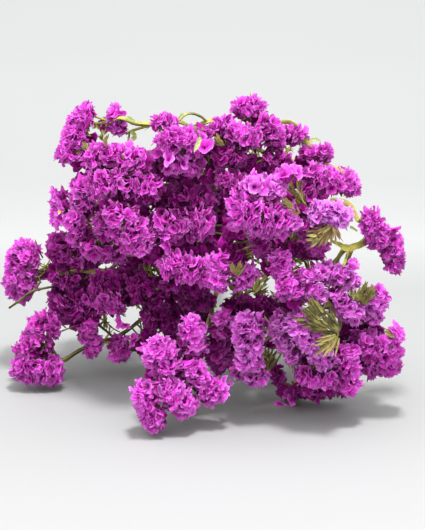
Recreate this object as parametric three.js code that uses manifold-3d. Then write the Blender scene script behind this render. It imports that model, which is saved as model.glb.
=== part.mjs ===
// Dried statice (Limonium sinuatum): a tied bunch of seven cut stems, lying down.
// The stems rest on their cut ends at the back (+Y), pass through a twine tie and
// fan out, with many forks, to the flower heads at the front (-Y). Each head is a
// cluster of short, dense spikes of papery calyxes, drawn here as rounded lumps.
// Millimetres, +Z up, origin on the floor under the middle of the bunch.
import * as THREE from 'three';
import { ConvexGeometry } from 'three/addons/geometries/ConvexGeometry.js';
import { mergeVertices } from 'three/addons/utils/BufferGeometryUtils.js';
import Module from 'manifold-3d';

// ---- driving dimensions (mm) ----
const TRUNK_RADIUS = 2.2; // cut stem with its wings folded in
const BRANCH_RADIUS = 1.6;
const STALK_RADIUS = 1.2; // stalk under a head
const TWIG_RADIUS = 1.1;
const GAP = 0.45; // clear space between neighbouring pieces
const CALYX_REACH = 1.0; // a spike's lump ends where its calyx rims end, as a share of its radius
const TWINE_TURNS = 3;
const TWINE_RADIUS = 0.9;
const TIE_INNER_RADIUS = 8.0;
const TIE_CENTRE = [14.5,57.4,45.0];
const BUNDLE_DIRECTION = [0, 1, -0.29]; // from the heads towards the cut ends
const KNOT_RADIUS = 2.4;
const TAIL_LENGTH = 26;

// Flower heads: each spike is [one end, the other end, radius] of its lump.
const HEADS = {
  flower_head_01: [[[-74.1,-86.1,189.6], [-86.7,-96.1,161.9], 11.3], [[-58.8,-88.3,192.0], [-55.9,-88.3,178.5], 8.6]],
  flower_head_02: [[[-63.1,-129.6,169.1], [-35.8,-129.6,164.6], 11.5], [[-61.0,-137.4,153.4], [-30.5,-137.4,151.5], 11.4]],
  flower_head_03: [[[-23.5,-109.6,190.3], [-15.7,-109.6,189.6], 7.8]],
  flower_head_04: [[[-16.5,-133.1,180.3], [-2.5,-133.1,179.6], 10.7], [[-15.4,-129.7,165.9], [-0.7,-129.7,164.6], 9.6]],
  flower_head_05: [[[-11.8,-69.4,120.0], [-19.5,-78.8,123.3], 10.7], [[-17.7,-99.2,126.6], [-16.3,-89.5,132.0], 11.2], [[-4.2,-87.0,111.3], [-20.4,-89.8,109.4], 11.2]],
  flower_head_06: [[[16.6,-114.5,185.4], [23.0,-114.5,182.1], 9.0], [[26.8,-124.5,183.3], [34.5,-124.5,182.0], 9.6]],
  flower_head_07: [[[30.2,-104.6,198.4], [38.7,-104.6,199.8], 9.7]],
  flower_head_08: [[[-122.0,-69.6,83.1], [-125.7,-69.6,63.1], 14.1]],
  flower_head_09: [[[-94.4,-74.6,92.1], [-80.8,-74.6,81.8], 13.3], [[-101.1,-83.8,70.3], [-85.1,-83.8,69.5], 7.6]],
  flower_head_10: [[[-94.5,-89.6,134.2], [-94.5,-89.6,116.6], 8.1]],
  flower_head_11: [[[-77.3,-104.6,141.6], [-76.4,-104.6,129.2], 9.3], [[-80.8,-109.6,121.0], [-77.7,-109.6,112.0], 10.0]],
  flower_head_12: [[[-73.2,-35.7,45.5], [-66.2,-49.5,54.0], 11.3], [[-60.0,-66.6,48.9], [-53.2,-59.2,58.5], 10.4], [[-83.9,-51.0,60.8], [-82.2,-41.1,74.7], 11.4]],
  flower_head_13: [[[-61.2,-121.6,124.1], [-61.4,-121.6,117.3], 8.5], [[-68.8,-122.9,104.6], [-49.0,-122.9,101.8], 8.6]],
  flower_head_14: [[[-64.2,-64.8,102.3], [-54.3,-77.1,109.9], 10.0], [[-51.8,-55.7,102.2], [-57.1,-55.9,91.6], 10.7], [[-56.9,-89.2,99.5], [-48.6,-93.1,111.8], 11.7]],
  flower_head_15: [[[-46.9,-147.8,134.6], [-37.0,-147.8,120.0], 12.0]],
  flower_head_16: [[[-100.7,-96.4,43.0], [-109.8,-96.4,22.9], 13.2], [[-116.8,-109.2,16.3], [-101.6,-109.2,10.9], 11.7]],
  flower_head_17: [[[-104.0,-75.3,55.3], [-79.5,-75.3,53.8], 12.7], [[-88.8,-77.9,39.8], [-79.8,-77.9,33.7], 12.7]],
  flower_head_18: [[[-75.6,-98.8,36.5], [-71.1,-98.8,23.9], 11.1], [[-55.6,-95.5,22.6], [-55.8,-95.5,15.0], 9.1]],
  flower_head_19: [[[-62.7,-102.5,74.4], [-45.7,-102.5,74.4], 12.2], [[-63.5,-114.7,64.2], [-48.8,-114.7,65.6], 10.1]],
  flower_head_20: [[[-31.5,-119.6,56.8], [-1.2,-119.6,56.8], 13.4], [[-34.3,-121.1,77.4], [-19.0,-121.1,73.2], 13.3]],
  flower_head_21: [[[-17.3,-135.3,85.6], [2.3,-135.3,82.1], 8.5], [[-4.2,-133.7,73.2], [5.7,-133.7,70.4], 9.2]],
  flower_head_22: [[[-23.2,-163.7,47.9], [-15.7,-163.7,36.1], 12.8], [[-33.5,-181.3,28.1], [-27.4,-181.3,10.7], 10.2], [[-15.8,-178.5,28.4], [-7.7,-178.5,19.4], 10.8], [[-0.7,-171.3,39.2], [10.2,-171.3,23.2], 9.0]],
  flower_head_23: [[[-13.5,-149.6,104.0], [4.4,-149.6,100.6], 10.2]],
  flower_head_24: [[[-2.7,-158.3,61.7], [-1.5,-158.3,49.3], 10.3]],
  flower_head_25: [[[12.1,-147.9,48.5], [16.7,-147.9,36.6], 9.8], [[16.6,-152.6,66.3], [16.6,-152.6,60.8], 8.4]],
  flower_head_26: [[[15.9,-163.4,110.3], [13.4,-163.4,93.1], 8.8], [[28.3,-164.5,99.0], [34.5,-164.5,102.3], 8.2]],
  flower_head_27: [[[25.6,-114.6,62.1], [47.9,-114.6,62.1], 9.4]],
  flower_head_28: [[[32.9,-166.5,67.3], [33.8,-166.5,46.9], 11.5], [[28.2,-162.8,33.8], [41.2,-162.8,30.3], 7.1]],
  flower_head_29: [[[64.8,-176.8,73.4], [81.0,-176.8,51.1], 10.7], [[51.3,-170.7,67.9], [62.5,-170.7,50.1], 8.9]],
  flower_head_30: [[[76.1,-135.5,7.5], [103.0,-135.5,9.0], 8.1], [[59.2,-131.3,5.9], [69.3,-131.3,7.4], 6.8], [[49.3,-128.2,21.0], [54.8,-128.2,15.2], 6.7]],
  flower_head_31: [[[68.5,-115.5,46.9], [70.0,-99.9,43.1], 10.7], [[80.0,-102.1,19.7], [75.7,-93.1,28.4], 10.2], [[69.3,-78.4,23.9], [66.3,-76.8,40.0], 11.7]],
  flower_head_32: [[[69.3,-173.9,36.2], [85.2,-173.9,34.8], 8.3], [[95.1,-167.1,49.2], [97.7,-167.1,28.6], 9.6]],
  flower_head_33: [[[100.9,-138.6,56.9], [115.4,-138.6,54.0], 9.2]],
  flower_head_34: [[[114.6,-155.6,87.8], [112.6,-155.6,74.3], 10.2], [[88.0,-162.4,84.6], [99.0,-162.4,76.6], 9.5]],
  flower_head_35: [[[110.9,-155.6,51.6], [126.6,-155.6,48.1], 11.0], [[113.6,-149.6,33.7], [126.6,-149.6,35.2], 9.2]],
  flower_head_36: [[[54.5,-129.6,107.8], [77.3,-129.6,106.4], 8.5]],
  flower_head_37: [[[52.3,-169.6,113.7], [54.4,-169.6,103.9], 8.1], [[56.0,-176.6,97.8], [62.2,-176.6,97.8], 8.7], [[72.7,-174.6,102.3], [75.5,-174.6,91.2], 8.1]],
  flower_head_38: [[[72.6,-86.1,104.1], [78.4,-76.3,99.3], 10.3], [[72.7,-60.3,94.7], [66.2,-52.3,101.3], 11.7], [[71.5,-66.2,111.4], [64.6,-73.4,106.7], 11.0]],
  flower_head_39: [[[77.4,-157.5,141.1], [89.9,-157.5,139.2], 9.3], [[70.5,-154.9,128.9], [75.1,-154.9,119.0], 8.8]],
  flower_head_40: [[[76.4,-124.8,156.1], [87.5,-124.8,152.2], 10.3], [[71.4,-134.4,148.0], [76.6,-134.4,144.1], 7.0]],
  flower_head_41: [[[81.4,-160.7,103.1], [97.3,-160.7,97.8], 8.8]],
  flower_head_42: [[[110.4,-134.6,129.5], [116.0,-134.6,117.4], 11.0], [[125.9,-129.6,114.6], [131.1,-129.6,99.5], 9.1]],
  flower_head_43: [[[-20.3,-123.8,141.2], [5.6,-123.8,139.9], 11.7], [[-19.9,-136.1,124.7], [2.5,-136.1,126.7], 12.9]],
  flower_head_44: [[[5.1,-121.0,183.5], [7.6,-121.0,171.1], 6.4], [[16.5,-124.8,168.2], [26.7,-124.8,167.6], 9.0]],
  flower_head_45: [[[18.4,-134.6,156.0], [26.7,-134.6,153.4], 8.3]],
  flower_head_46: [[[39.5,-144.6,117.1], [42.1,-144.6,111.1], 7.7]],
  flower_head_47: [[[41.2,-72.1,124.3], [28.5,-80.6,124.8], 10.6], [[47.5,-96.4,113.4], [43.1,-88.0,120.6], 11.4], [[31.3,-62.2,113.8], [45.1,-64.3,110.7], 11.0]],
  flower_head_48: [[[36.8,-165.7,160.0], [47.3,-165.7,158.1], 10.4], [[33.3,-173.3,144.0], [48.6,-173.3,139.6], 12.2], [[24.4,-160.4,146.6], [26.3,-160.4,135.6], 7.4], [[56.4,-167.3,144.0], [59.6,-167.3,135.7], 7.4], [[53.2,-162.5,169.1], [60.6,-162.5,169.7], 4.9]],
  flower_head_49: [[[46.2,-114.4,187.3], [51.5,-114.4,177.5], 9.0], [[48.8,-119.6,166.8], [57.3,-119.6,164.1], 7.7]],
  flower_head_50: [[[63.7,-105.4,181.9], [69.0,-105.4,179.9], 9.1], [[74.0,-109.1,167.9], [83.8,-109.1,168.6], 7.8]],
  flower_head_51: [[[97.4,-104.6,147.0], [102.8,-104.6,142.9], 9.3]],
};

// Stems: each has tubes [radius, points], the first from the cut end through the
// tie to the first fork, then the branches, stalks and twigs.
const STEMS = {
  stem_1: [
    [TRUNK_RADIUS, [[13.5,191.4,14.6], [13.7,172.4,19.6], [13.9,153.9,24.7], [14.0,136.0,29.7], [14.2,118.5,34.8], [14.2,101.3,39.9], [14.3,84.7,44.5], [14.5,68.5,47.3], [14.5,58.8,50.1], [14.5,49.2,52.9], [14.2,38.5,57.8], [13.8,26.9,63.0], [13.4,14.9,69.4], [12.8,3.1,77.4], [12.0,-8.4,86.9], [10.9,-19.7,97.8], [9.6,-31.0,110.1], [8.1,-42.2,123.8]]],
    [BRANCH_RADIUS, [[8.1,-42.2,123.8], [8.2,-49.0,132.3], [10.1,-56.3,142.0], [13.9,-64.2,152.7], [19.6,-72.5,164.5]]],
    [STALK_RADIUS, [[19.6,-72.5,164.5], [22.1,-75.7,169.2], [12.8,-80.6,182.3], [6.8,-86.6,183.6], [-3.1,-90.6,181.0], [-12.3,-92.6,184.8], [-27.5,-94.6,183.9], [-41.3,-94.6,184.5], [-50.7,-94.4,187.8]]],
    [BRANCH_RADIUS, [[19.6,-72.5,164.5], [24.4,-81.3,171.7], [29.7,-95.9,176.3]]],
    [STALK_RADIUS, [[29.7,-95.9,176.3], [27.2,-106.2,179.2]]],
    [STALK_RADIUS, [[29.7,-95.9,176.3], [32.2,-101.9,182.2], [33.2,-102.4,188.6]]],
    [BRANCH_RADIUS, [[8.1,-42.2,123.8], [2.9,-52.5,128.8], [-10.4,-67.7,124.5]]],
    [STALK_RADIUS, [[-10.4,-67.7,124.5], [-11.3,-71.3,123.1]]],
    [BRANCH_RADIUS, [[-10.4,-67.7,124.5], [-16.0,-74.6,123.8], [-20.5,-82.8,128.0], [-23.8,-92.4,137.2], [-25.9,-103.2,151.4]]],
    [STALK_RADIUS, [[-25.9,-103.2,151.4], [-28.9,-109.6,157.9], [-36.4,-117.7,161.6]]],
    [STALK_RADIUS, [[-25.9,-103.2,151.4], [-24.6,-110.3,160.0], [-18.3,-120.3,168.8]]],
    [TWIG_RADIUS, [[6.8,-86.6,183.6], [3.5,-89.6,187.5], [-2.4,-93.6,190.7], [-7.6,-96.6,190.3], [-13.4,-102.0,187.3]]],
    [TWIG_RADIUS, [[-27.5,-94.6,183.9], [-42.2,-92.6,179.4], [-47.0,-90.6,176.3]]],
  ],
  stem_2: [
    [TRUNK_RADIUS, [[3.5,184.4,10.6], [5.4,163.3,16.8], [7.0,143.0,22.8], [8.2,123.4,28.7], [8.7,104.7,34.5], [9.0,86.4,40.0], [9.9,67.7,44.8], [9.9,58.1,47.5], [9.9,48.5,50.3], [7.9,37.8,54.3], [3.0,26.6,58.5], [-5.1,15.3,63.4], [-16.7,4.2,69.2]]],
    [BRANCH_RADIUS, [[-16.7,4.2,69.2], [-23.6,-3.4,73.0], [-29.4,-12.2,77.1], [-34.2,-22.3,81.5], [-38.0,-33.4,86.1], [-40.8,-45.8,91.0], [-42.5,-59.4,96.1], [-43.1,-74.2,101.5], [-42.8,-90.1,107.2], [-41.4,-107.2,113.1]]],
    [STALK_RADIUS, [[-41.4,-107.2,113.1], [-40.8,-118.0,117.0], [-41.1,-130.4,122.0], [-41.5,-135.1,124.1]]],
    [STALK_RADIUS, [[-41.4,-107.2,113.1], [-45.7,-114.6,116.0], [-53.4,-117.1,117.4]]],
    [BRANCH_RADIUS, [[-16.7,4.2,69.2], [-24.8,-4.5,72.5], [-34.2,-16.4,74.9]]],
    [STALK_RADIUS, [[-34.2,-16.4,74.9], [-40.7,-24.2,74.4], [-48.4,-31.8,70.5], [-57.3,-39.2,63.3], [-60.2,-41.3,60.2]]],
    [BRANCH_RADIUS, [[-34.2,-16.4,74.9], [-40.8,-27.7,79.1], [-45.9,-41.8,88.7]]],
    [STALK_RADIUS, [[-45.9,-41.8,88.7], [-48.2,-50.4,95.5], [-53.6,-62.8,86.9], [-59.9,-74.6,77.4], [-68.1,-77.8,76.7]]],
    [BRANCH_RADIUS, [[-45.9,-41.8,88.7], [-49.6,-50.0,96.1], [-56.6,-58.6,105.5]]],
    [STALK_RADIUS, [[-56.6,-58.6,105.5], [-56.5,-62.5,105.1]]],
    [BRANCH_RADIUS, [[-56.6,-58.6,105.5], [-64.3,-66.7,113.0], [-74.7,-78.0,119.7]]],
    [STALK_RADIUS, [[-74.7,-78.0,119.7], [-81.8,-83.6,122.6], [-86.7,-85.8,123.8]]],
    [STALK_RADIUS, [[-74.7,-78.0,119.7], [-78.6,-88.0,124.9], [-77.5,-94.8,128.6]]],
    [TWIG_RADIUS, [[-70.1,-78.6,76.5], [-82.9,-78.6,69.1], [-99.4,-76.6,64.8], [-115.1,-80.6,62.4], [-124.3,-81.6,56.1], [-132.1,-82.6,50.5]]],
    [TWIG_RADIUS, [[-115.1,-80.6,62.4], [-113.5,-77.6,64.5]]],
  ],
  stem_3: [
    [TRUNK_RADIUS, [[-2.5,189.4,2.4], [0.8,170.4,8.3], [3.5,151.9,14.1], [5.7,133.8,19.6], [7.1,116.1,24.8], [7.8,98.8,29.6], [8.3,82.0,34.3], [9.9,66.2,39.7], [9.9,56.6,42.5], [9.9,47.0,45.2], [8.0,33.6,48.4], [5.2,20.0,51.0], [0.6,5.6,52.9], [-6.3,-9.8,54.0], [-15.4,-26.1,54.5]]],
    [BRANCH_RADIUS, [[-15.4,-26.1,54.5], [-19.6,-35.8,55.2], [-21.8,-46.6,57.0], [-22.1,-58.7,59.8], [-20.5,-71.9,63.6], [-17.0,-86.2,68.4], [-11.6,-101.8,74.3]]],
    [STALK_RADIUS, [[-11.6,-101.8,74.3], [-13.3,-108.3,75.1]]],
    [STALK_RADIUS, [[-11.6,-101.8,74.3], [-8.1,-115.2,78.7], [-7.0,-126.5,81.5]]],
    [BRANCH_RADIUS, [[-15.4,-26.1,54.5], [-22.6,-36.2,53.2], [-33.1,-46.9,48.8]]],
    [STALK_RADIUS, [[-33.1,-46.9,48.8], [-38.2,-51.5,46.4], [-35.9,-60.9,45.0], [-34.0,-70.6,43.1], [-43.6,-78.6,37.0], [-58.3,-83.6,28.4], [-66.8,-84.6,25.8], [-81.4,-87.6,21.6], [-96.5,-98.3,18.8]]],
    [STALK_RADIUS, [[-33.1,-46.9,48.8], [-39.6,-54.1,47.0], [-44.9,-63.1,48.4], [-49.2,-74.0,53.0], [-52.3,-86.6,60.7], [-53.3,-92.9,65.5]]],
    [TWIG_RADIUS, [[-66.8,-84.6,25.8], [-68.3,-88.1,27.1]]],
    [TWIG_RADIUS, [[-58.3,-83.6,28.4], [-66.7,-80.7,34.4]]],
  ],
  stem_4: [
    [TRUNK_RADIUS, [[11.0,188.4,2.4], [11.8,169.3,7.4], [12.4,150.7,12.1], [13.1,132.6,16.8], [13.8,114.9,21.4], [14.3,97.5,25.9], [14.5,80.8,30.7], [14.5,65.5,37.1], [14.5,55.9,39.9], [14.5,46.3,42.7], [14.3,34.5,45.1], [14.5,22.1,48.8], [14.8,9.1,52.7], [15.2,-4.4,56.3], [15.6,-18.5,59.7], [16.2,-33.2,63.2], [16.8,-48.5,66.8], [17.5,-64.4,70.3]]],
    [BRANCH_RADIUS, [[17.5,-64.4,70.3], [18.6,-73.3,71.0], [21.5,-84.1,69.5]]],
    [STALK_RADIUS, [[21.5,-84.1,69.5], [23.6,-90.9,68.1], [20.6,-97.1,75.0], [16.9,-104.6,81.5], [13.5,-122.6,77.7], [10.1,-132.6,70.8], [8.0,-136.0,61.5], [5.5,-138.6,51.9], [0.3,-142.6,41.5], [-3.5,-151.1,36.4], [-5.1,-155.2,34.3]]],
    [STALK_RADIUS, [[21.5,-84.1,69.5], [24.9,-92.7,67.5], [31.8,-104.7,63.8]]],
    [BRANCH_RADIUS, [[17.5,-64.4,70.3], [17.6,-74.8,73.0], [17.2,-86.0,76.7], [16.2,-97.9,81.4], [14.7,-110.6,87.0], [12.6,-124.0,93.6]]],
    [STALK_RADIUS, [[12.6,-124.0,93.6], [7.4,-134.9,98.1], [3.5,-138.9,99.1]]],
    [STALK_RADIUS, [[12.6,-124.0,93.6], [13.3,-134.8,97.7], [18.9,-147.4,100.0], [25.3,-156.3,100.2]]],
    [TWIG_RADIUS, [[5.5,-138.6,51.9], [1.3,-147.8,53.9]]],
    [TWIG_RADIUS, [[10.1,-132.6,70.8], [12.7,-140.5,55.9]]],
  ],
  stem_5: [
    [TRUNK_RADIUS, [[25.5,183.4,2.4], [23.5,162.4,9.3], [21.9,142.0,15.8], [20.8,122.2,21.9], [20.3,103.1,27.7], [20.0,84.6,33.4], [19.1,66.2,39.7], [19.1,56.6,42.5], [19.1,47.0,45.2], [20.9,35.0,47.8], [22.5,22.5,49.7], [25.3,9.4,50.5], [29.8,-4.3,50.2], [35.8,-18.6,48.7], [43.1,-33.5,46.1], [51.8,-48.9,42.5]]],
    [BRANCH_RADIUS, [[51.8,-48.9,42.5], [53.4,-60.7,40.3], [47.3,-76.7,38.1]]],
    [BRANCH_RADIUS, [[47.3,-76.7,38.1], [58.0,-83.8,23.8]]],
    [STALK_RADIUS, [[58.0,-83.8,23.8], [63.8,-86.8,17.8], [67.1,-95.5,13.4], [67.7,-109.9,10.4], [66.4,-124.4,9.4]]],
    [STALK_RADIUS, [[58.0,-83.8,23.8], [61.5,-85.4,23.0]]],
    [BRANCH_RADIUS, [[47.3,-76.7,38.1], [43.9,-86.3,38.0], [43.3,-97.8,39.8], [45.6,-111.0,43.3], [50.7,-125.9,48.6]]],
    [STALK_RADIUS, [[50.7,-125.9,48.6], [51.6,-136.4,51.7], [46.5,-149.0,53.5], [40.7,-156.6,53.6]]],
    [BRANCH_RADIUS, [[50.7,-125.9,48.6], [57.7,-137.5,51.2], [70.0,-150.5,50.1]]],
    [STALK_RADIUS, [[70.0,-150.5,50.1], [74.9,-160.6,52.7], [74.2,-165.6,56.5]]],
    [STALK_RADIUS, [[70.0,-150.5,50.1], [76.2,-159.1,46.1], [78.3,-166.4,40.4]]],
    [BRANCH_RADIUS, [[51.8,-48.9,42.5], [57.4,-57.9,41.3], [64.1,-67.4,41.8], [71.9,-77.3,43.9], [81.0,-87.7,47.7], [91.2,-98.5,53.1]]],
    [STALK_RADIUS, [[91.2,-98.5,53.1], [97.3,-106.2,57.4], [102.2,-115.6,62.4], [105.9,-126.7,68.0], [108.4,-139.4,74.3], [108.9,-145.4,77.3]]],
    [BRANCH_RADIUS, [[91.2,-98.5,53.1], [97.2,-107.6,53.8], [102.0,-121.1,48.1]]],
    [STALK_RADIUS, [[102.0,-121.1,48.1], [105.2,-129.3,44.1], [110.8,-138.4,40.7], [113.4,-141.8,39.7]]],
    [STALK_RADIUS, [[102.0,-121.1,48.1], [105.0,-130.3,50.6]]],
  ],
  stem_6: [
    [TRUNK_RADIUS, [[25.0,181.4,9.6], [23.1,160.9,16.4], [21.7,141.1,22.9], [20.7,122.0,29.2], [20.4,103.6,35.2], [20.2,85.7,40.5], [19.1,67.7,44.8], [19.1,58.1,47.5], [19.1,48.5,50.3], [20.8,36.4,54.9], [22.8,23.5,58.8], [26.1,10.2,63.1], [31.2,-3.3,68.1], [38.0,-17.0,73.6], [46.4,-31.0,79.6], [56.3,-45.4,86.0]]],
    [BRANCH_RADIUS, [[56.3,-45.4,86.0], [61.9,-54.5,94.5], [65.2,-62.3,111.5]]],
    [STALK_RADIUS, [[65.2,-62.3,111.5], [66.4,-65.7,109.8]]],
    [BRANCH_RADIUS, [[65.2,-62.3,111.5], [68.7,-70.8,121.5], [76.6,-88.4,127.2]]],
    [STALK_RADIUS, [[76.6,-88.4,127.2], [78.4,-92.4,127.8], [83.6,-100.6,131.6], [90.7,-108.6,135.8], [97.6,-112.6,134.8], [101.9,-116.6,133.2], [106.0,-123.6,125.7], [106.4,-132.6,129.5]]],
    [STALK_RADIUS, [[76.6,-88.4,127.2], [80.1,-99.2,131.0], [81.3,-110.8,139.4], [80.7,-117.3,146.1]]],
    [BRANCH_RADIUS, [[56.3,-45.4,86.0], [61.2,-57.2,86.8], [63.3,-74.1,81.2]]],
    [STALK_RADIUS, [[63.3,-74.1,81.2], [63.6,-83.3,77.1], [76.5,-88.9,76.7], [89.6,-94.6,78.2], [91.8,-104.6,89.3], [96.3,-110.6,99.0], [101.0,-114.6,105.2], [111.3,-124.5,113.7]]],
    [BRANCH_RADIUS, [[63.3,-74.1,81.2], [63.0,-83.6,79.2], [61.6,-94.4,81.0], [59.0,-106.4,86.6], [55.3,-119.6,96.2]]],
    [STALK_RADIUS, [[55.3,-119.6,96.2], [53.7,-129.1,101.3], [54.0,-141.2,103.4], [56.0,-155.9,102.4], [57.3,-161.8,101.0]]],
    [STALK_RADIUS, [[55.3,-119.6,96.2], [60.3,-123.2,101.0]]],
    [TWIG_RADIUS, [[101.0,-114.6,105.2], [94.2,-120.8,108.5], [88.3,-128.6,113.6], [85.8,-136.8,120.0], [84.0,-146.4,128.0], [83.0,-151.4,132.1]]],
    [TWIG_RADIUS, [[101.0,-114.6,105.2], [97.2,-128.6,99.2], [93.4,-142.4,99.0], [91.0,-151.1,99.3]]],
  ],
  stem_7: [
    [TRUNK_RADIUS, [[15.5,187.4,8.4], [15.4,168.5,13.6], [15.3,150.1,18.7], [15.2,132.3,23.7], [15.0,115.0,28.5], [14.8,98.1,33.3], [14.7,81.9,37.9], [14.5,67.0,42.2], [14.5,57.4,45.0], [14.5,47.8,47.8], [14.6,33.5,52.6], [16.7,20.6,61.3], [20.1,8.5,73.2], [24.6,-3.3,88.1]]],
    [BRANCH_RADIUS, [[24.6,-3.3,88.1], [26.9,-10.9,95.7], [29.0,-19.8,102.3], [30.8,-30.1,107.9], [32.5,-41.8,112.5], [33.9,-54.8,116.1], [35.1,-69.3,118.7], [36.0,-85.1,120.3], [36.8,-102.3,120.8], [37.3,-120.9,120.4]]],
    [STALK_RADIUS, [[37.3,-120.9,120.4], [37.8,-131.8,122.2], [38.8,-142.7,128.5], [40.4,-153.3,139.4], [41.7,-160.1,149.5]]],
    [STALK_RADIUS, [[37.3,-120.9,120.4], [38.2,-130.8,118.8], [39.5,-136.3,116.9]]],
    [BRANCH_RADIUS, [[24.6,-3.3,88.1], [26.9,-12.1,96.7], [28.6,-23.7,105.2], [29.8,-38.1,113.7]]],
    [BRANCH_RADIUS, [[29.8,-38.1,113.7], [26.6,-49.2,116.9], [15.6,-62.6,115.8]]],
    [STALK_RADIUS, [[15.6,-62.6,115.8], [17.1,-70.2,116.2], [23.8,-73.0,117.8]]],
    [BRANCH_RADIUS, [[15.6,-62.6,115.8], [9.4,-74.0,118.3], [8.8,-90.5,130.1]]],
    [STALK_RADIUS, [[8.8,-90.5,130.1], [7.6,-99.0,135.1], [0.5,-111.8,137.2]]],
    [BRANCH_RADIUS, [[8.8,-90.5,130.1], [10.7,-98.2,138.8], [14.3,-105.4,151.0]]],
    [STALK_RADIUS, [[14.3,-105.4,151.0], [14.4,-111.4,162.1], [11.2,-115.5,168.8]]],
    [STALK_RADIUS, [[14.3,-105.4,151.0], [18.0,-114.6,156.5], [20.8,-125.8,154.6]]],
    [BRANCH_RADIUS, [[29.8,-38.1,113.7], [31.4,-46.1,119.0], [35.0,-53.5,126.0], [40.7,-60.5,134.7], [48.6,-66.9,145.2]]],
    [STALK_RADIUS, [[48.6,-66.9,145.2], [55.3,-71.5,153.9], [64.6,-83.0,156.1], [74.1,-94.6,157.5], [82.2,-100.6,158.9], [92.1,-102.6,155.1]]],
    [BRANCH_RADIUS, [[48.6,-66.9,145.2], [49.8,-73.3,154.3], [41.0,-83.9,165.6]]],
    [STALK_RADIUS, [[41.0,-83.9,165.6], [37.5,-87.2,168.8], [43.1,-94.6,181.2], [52.8,-98.6,185.4], [56.9,-99.5,185.8]]],
    [STALK_RADIUS, [[41.0,-83.9,165.6], [38.3,-90.4,170.3], [40.9,-100.1,174.7], [45.1,-106.7,176.9]]],
  ],
};

const wasm = await Module();
wasm.setup();

const vec = (p) => new THREE.Vector3(...p);

function solid(geometry) {
  const g = geometry.clone();
  for (const name of Object.keys(g.attributes)) if (name !== 'position') g.deleteAttribute(name);
  const merged = mergeVertices(g, 1e-4);
  return new wasm.Manifold(
    new wasm.Mesh({
      numProp: 3,
      vertProperties: new Float32Array(merged.attributes.position.array),
      triVerts: new Uint32Array(merged.index.array),
    }),
  );
}

function geometryOf(manifold) {
  const m = manifold.getMesh();
  const g = new THREE.BufferGeometry();
  const p = new Float32Array(m.numVert * 3);
  for (let i = 0; i < m.numVert; i++) for (let k = 0; k < 3; k++) p[i * 3 + k] = m.vertProperties[i * m.numProp + k];
  g.setAttribute('position', new THREE.BufferAttribute(p, 3));
  g.setIndex(new THREE.BufferAttribute(new Uint32Array(m.triVerts), 1));
  return g;
}

// The one big body of a cut solid, without the crumbs a cut can leave beside it.
function main(manifold) {
  const bodies = manifold.decompose();
  if (bodies.length === 1) return bodies[0];
  return bodies.sort((a, b) => b.volume() - a.volume())[0];
}

// A spike's lump: a convex, many-sided capsule round the spike's axis.
function lump([p0, p1, r]) {
  const a = vec(p0);
  const b = vec(p1);
  const axis = b.clone().sub(a);
  if (axis.length() < 1e-3) axis.set(0, 0, 1);
  axis.normalize();
  const side = new THREE.Vector3(0, 0, 1).cross(axis);
  if (side.length() < 0.1) side.set(1, 0, 0).cross(axis);
  side.normalize();
  const up = axis.clone().cross(side);
  const R = r * CALYX_REACH;
  const points = [];
  const ring = (centre, along, radius, n, turn) => {
    for (let i = 0; i < n; i++) {
      const t = ((i + turn) / n) * Math.PI * 2;
      points.push(
        centre.clone().addScaledVector(axis, along).addScaledVector(side, Math.cos(t) * radius).addScaledVector(up, Math.sin(t) * radius),
      );
    }
  };
  points.push(a.clone().addScaledVector(axis, -R), b.clone().addScaledVector(axis, R));
  ring(a, -R * 0.68, R * 0.76, 4, 0);
  ring(a, 0, R * 1.04, 7, 0);
  ring(b, 0, R * 1.04, 7, 0.5);
  ring(b, R * 0.68, R * 0.76, 4, 0.5);
  return solid(new ConvexGeometry(points));
}

// Closest points of two axes, for the plane that parts two lumps.
function closest(p1, q1, p2, q2) {
  const d1 = q1.clone().sub(p1);
  const d2 = q2.clone().sub(p2);
  const r = p1.clone().sub(p2);
  const a = d1.dot(d1);
  const e = d2.dot(d2);
  const f = d2.dot(r);
  const c = d1.dot(r);
  const b = d1.dot(d2);
  const clamp = (x) => Math.min(1, Math.max(0, x));
  const den = a * e - b * b;
  let s = den > 1e-9 ? clamp((b * f - c * e) / den) : 0;
  let t = (b * s + f) / e;
  if (t < 0) {
    t = 0;
    s = clamp(-c / a);
  } else if (t > 1) {
    t = 1;
    s = clamp((b - c) / a);
  }
  return [p1.clone().addScaledVector(d1, s), p2.clone().addScaledVector(d2, t)];
}

// A tube of constant radius along a smooth curve, with flat ends.
function tube(radius, points, sides) {
  const p = points.map(vec);
  // reach back into the piece that it grows from
  const back = p[0].clone().sub(p[1]).normalize();
  if (radius < TRUNK_RADIUS) p[0].addScaledVector(back, 1.2);
  const curve = new THREE.CatmullRomCurve3(p, false, 'centripetal');
  const shape = new THREE.Shape();
  for (let i = 0; i < sides; i++) {
    const t = ((i + 0.5) / sides) * Math.PI * 2;
    if (i === 0) shape.moveTo(Math.cos(t) * radius, Math.sin(t) * radius);
    else shape.lineTo(Math.cos(t) * radius, Math.sin(t) * radius);
  }
  shape.closePath();
  return solid(new THREE.ExtrudeGeometry(shape, { steps: Math.max(1, p.length - 1), extrudePath: curve, bevelEnabled: false, curveSegments: 1 }));
}

function stemSolid(tubes, extra) {
  let s = null;
  for (const [radius, points] of tubes) {
    const t = tube(radius + extra, points, radius >= TRUNK_RADIUS ? 6 : radius > STALK_RADIUS ? 5 : 4);
    s = s ? s.add(t) : t;
  }
  return main(s).simplify(0.1);
}

const group = new THREE.Group();
group.name = 'dried_statice_bunch';

function place(name, manifold, color, roughness) {
  const mesh = new THREE.Mesh(geometryOf(manifold), new THREE.MeshStandardMaterial({ color, roughness, metalness: 0 }));
  mesh.name = name;
  group.add(mesh);
}

// ---- stems ----
const cutters = [];
for (const [name, tubes] of Object.entries(STEMS)) {
  place(name, stemSolid(tubes, 0), 0x6f6f3c, 0.85);
  cutters.push(stemSolid(tubes, GAP));
}

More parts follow.
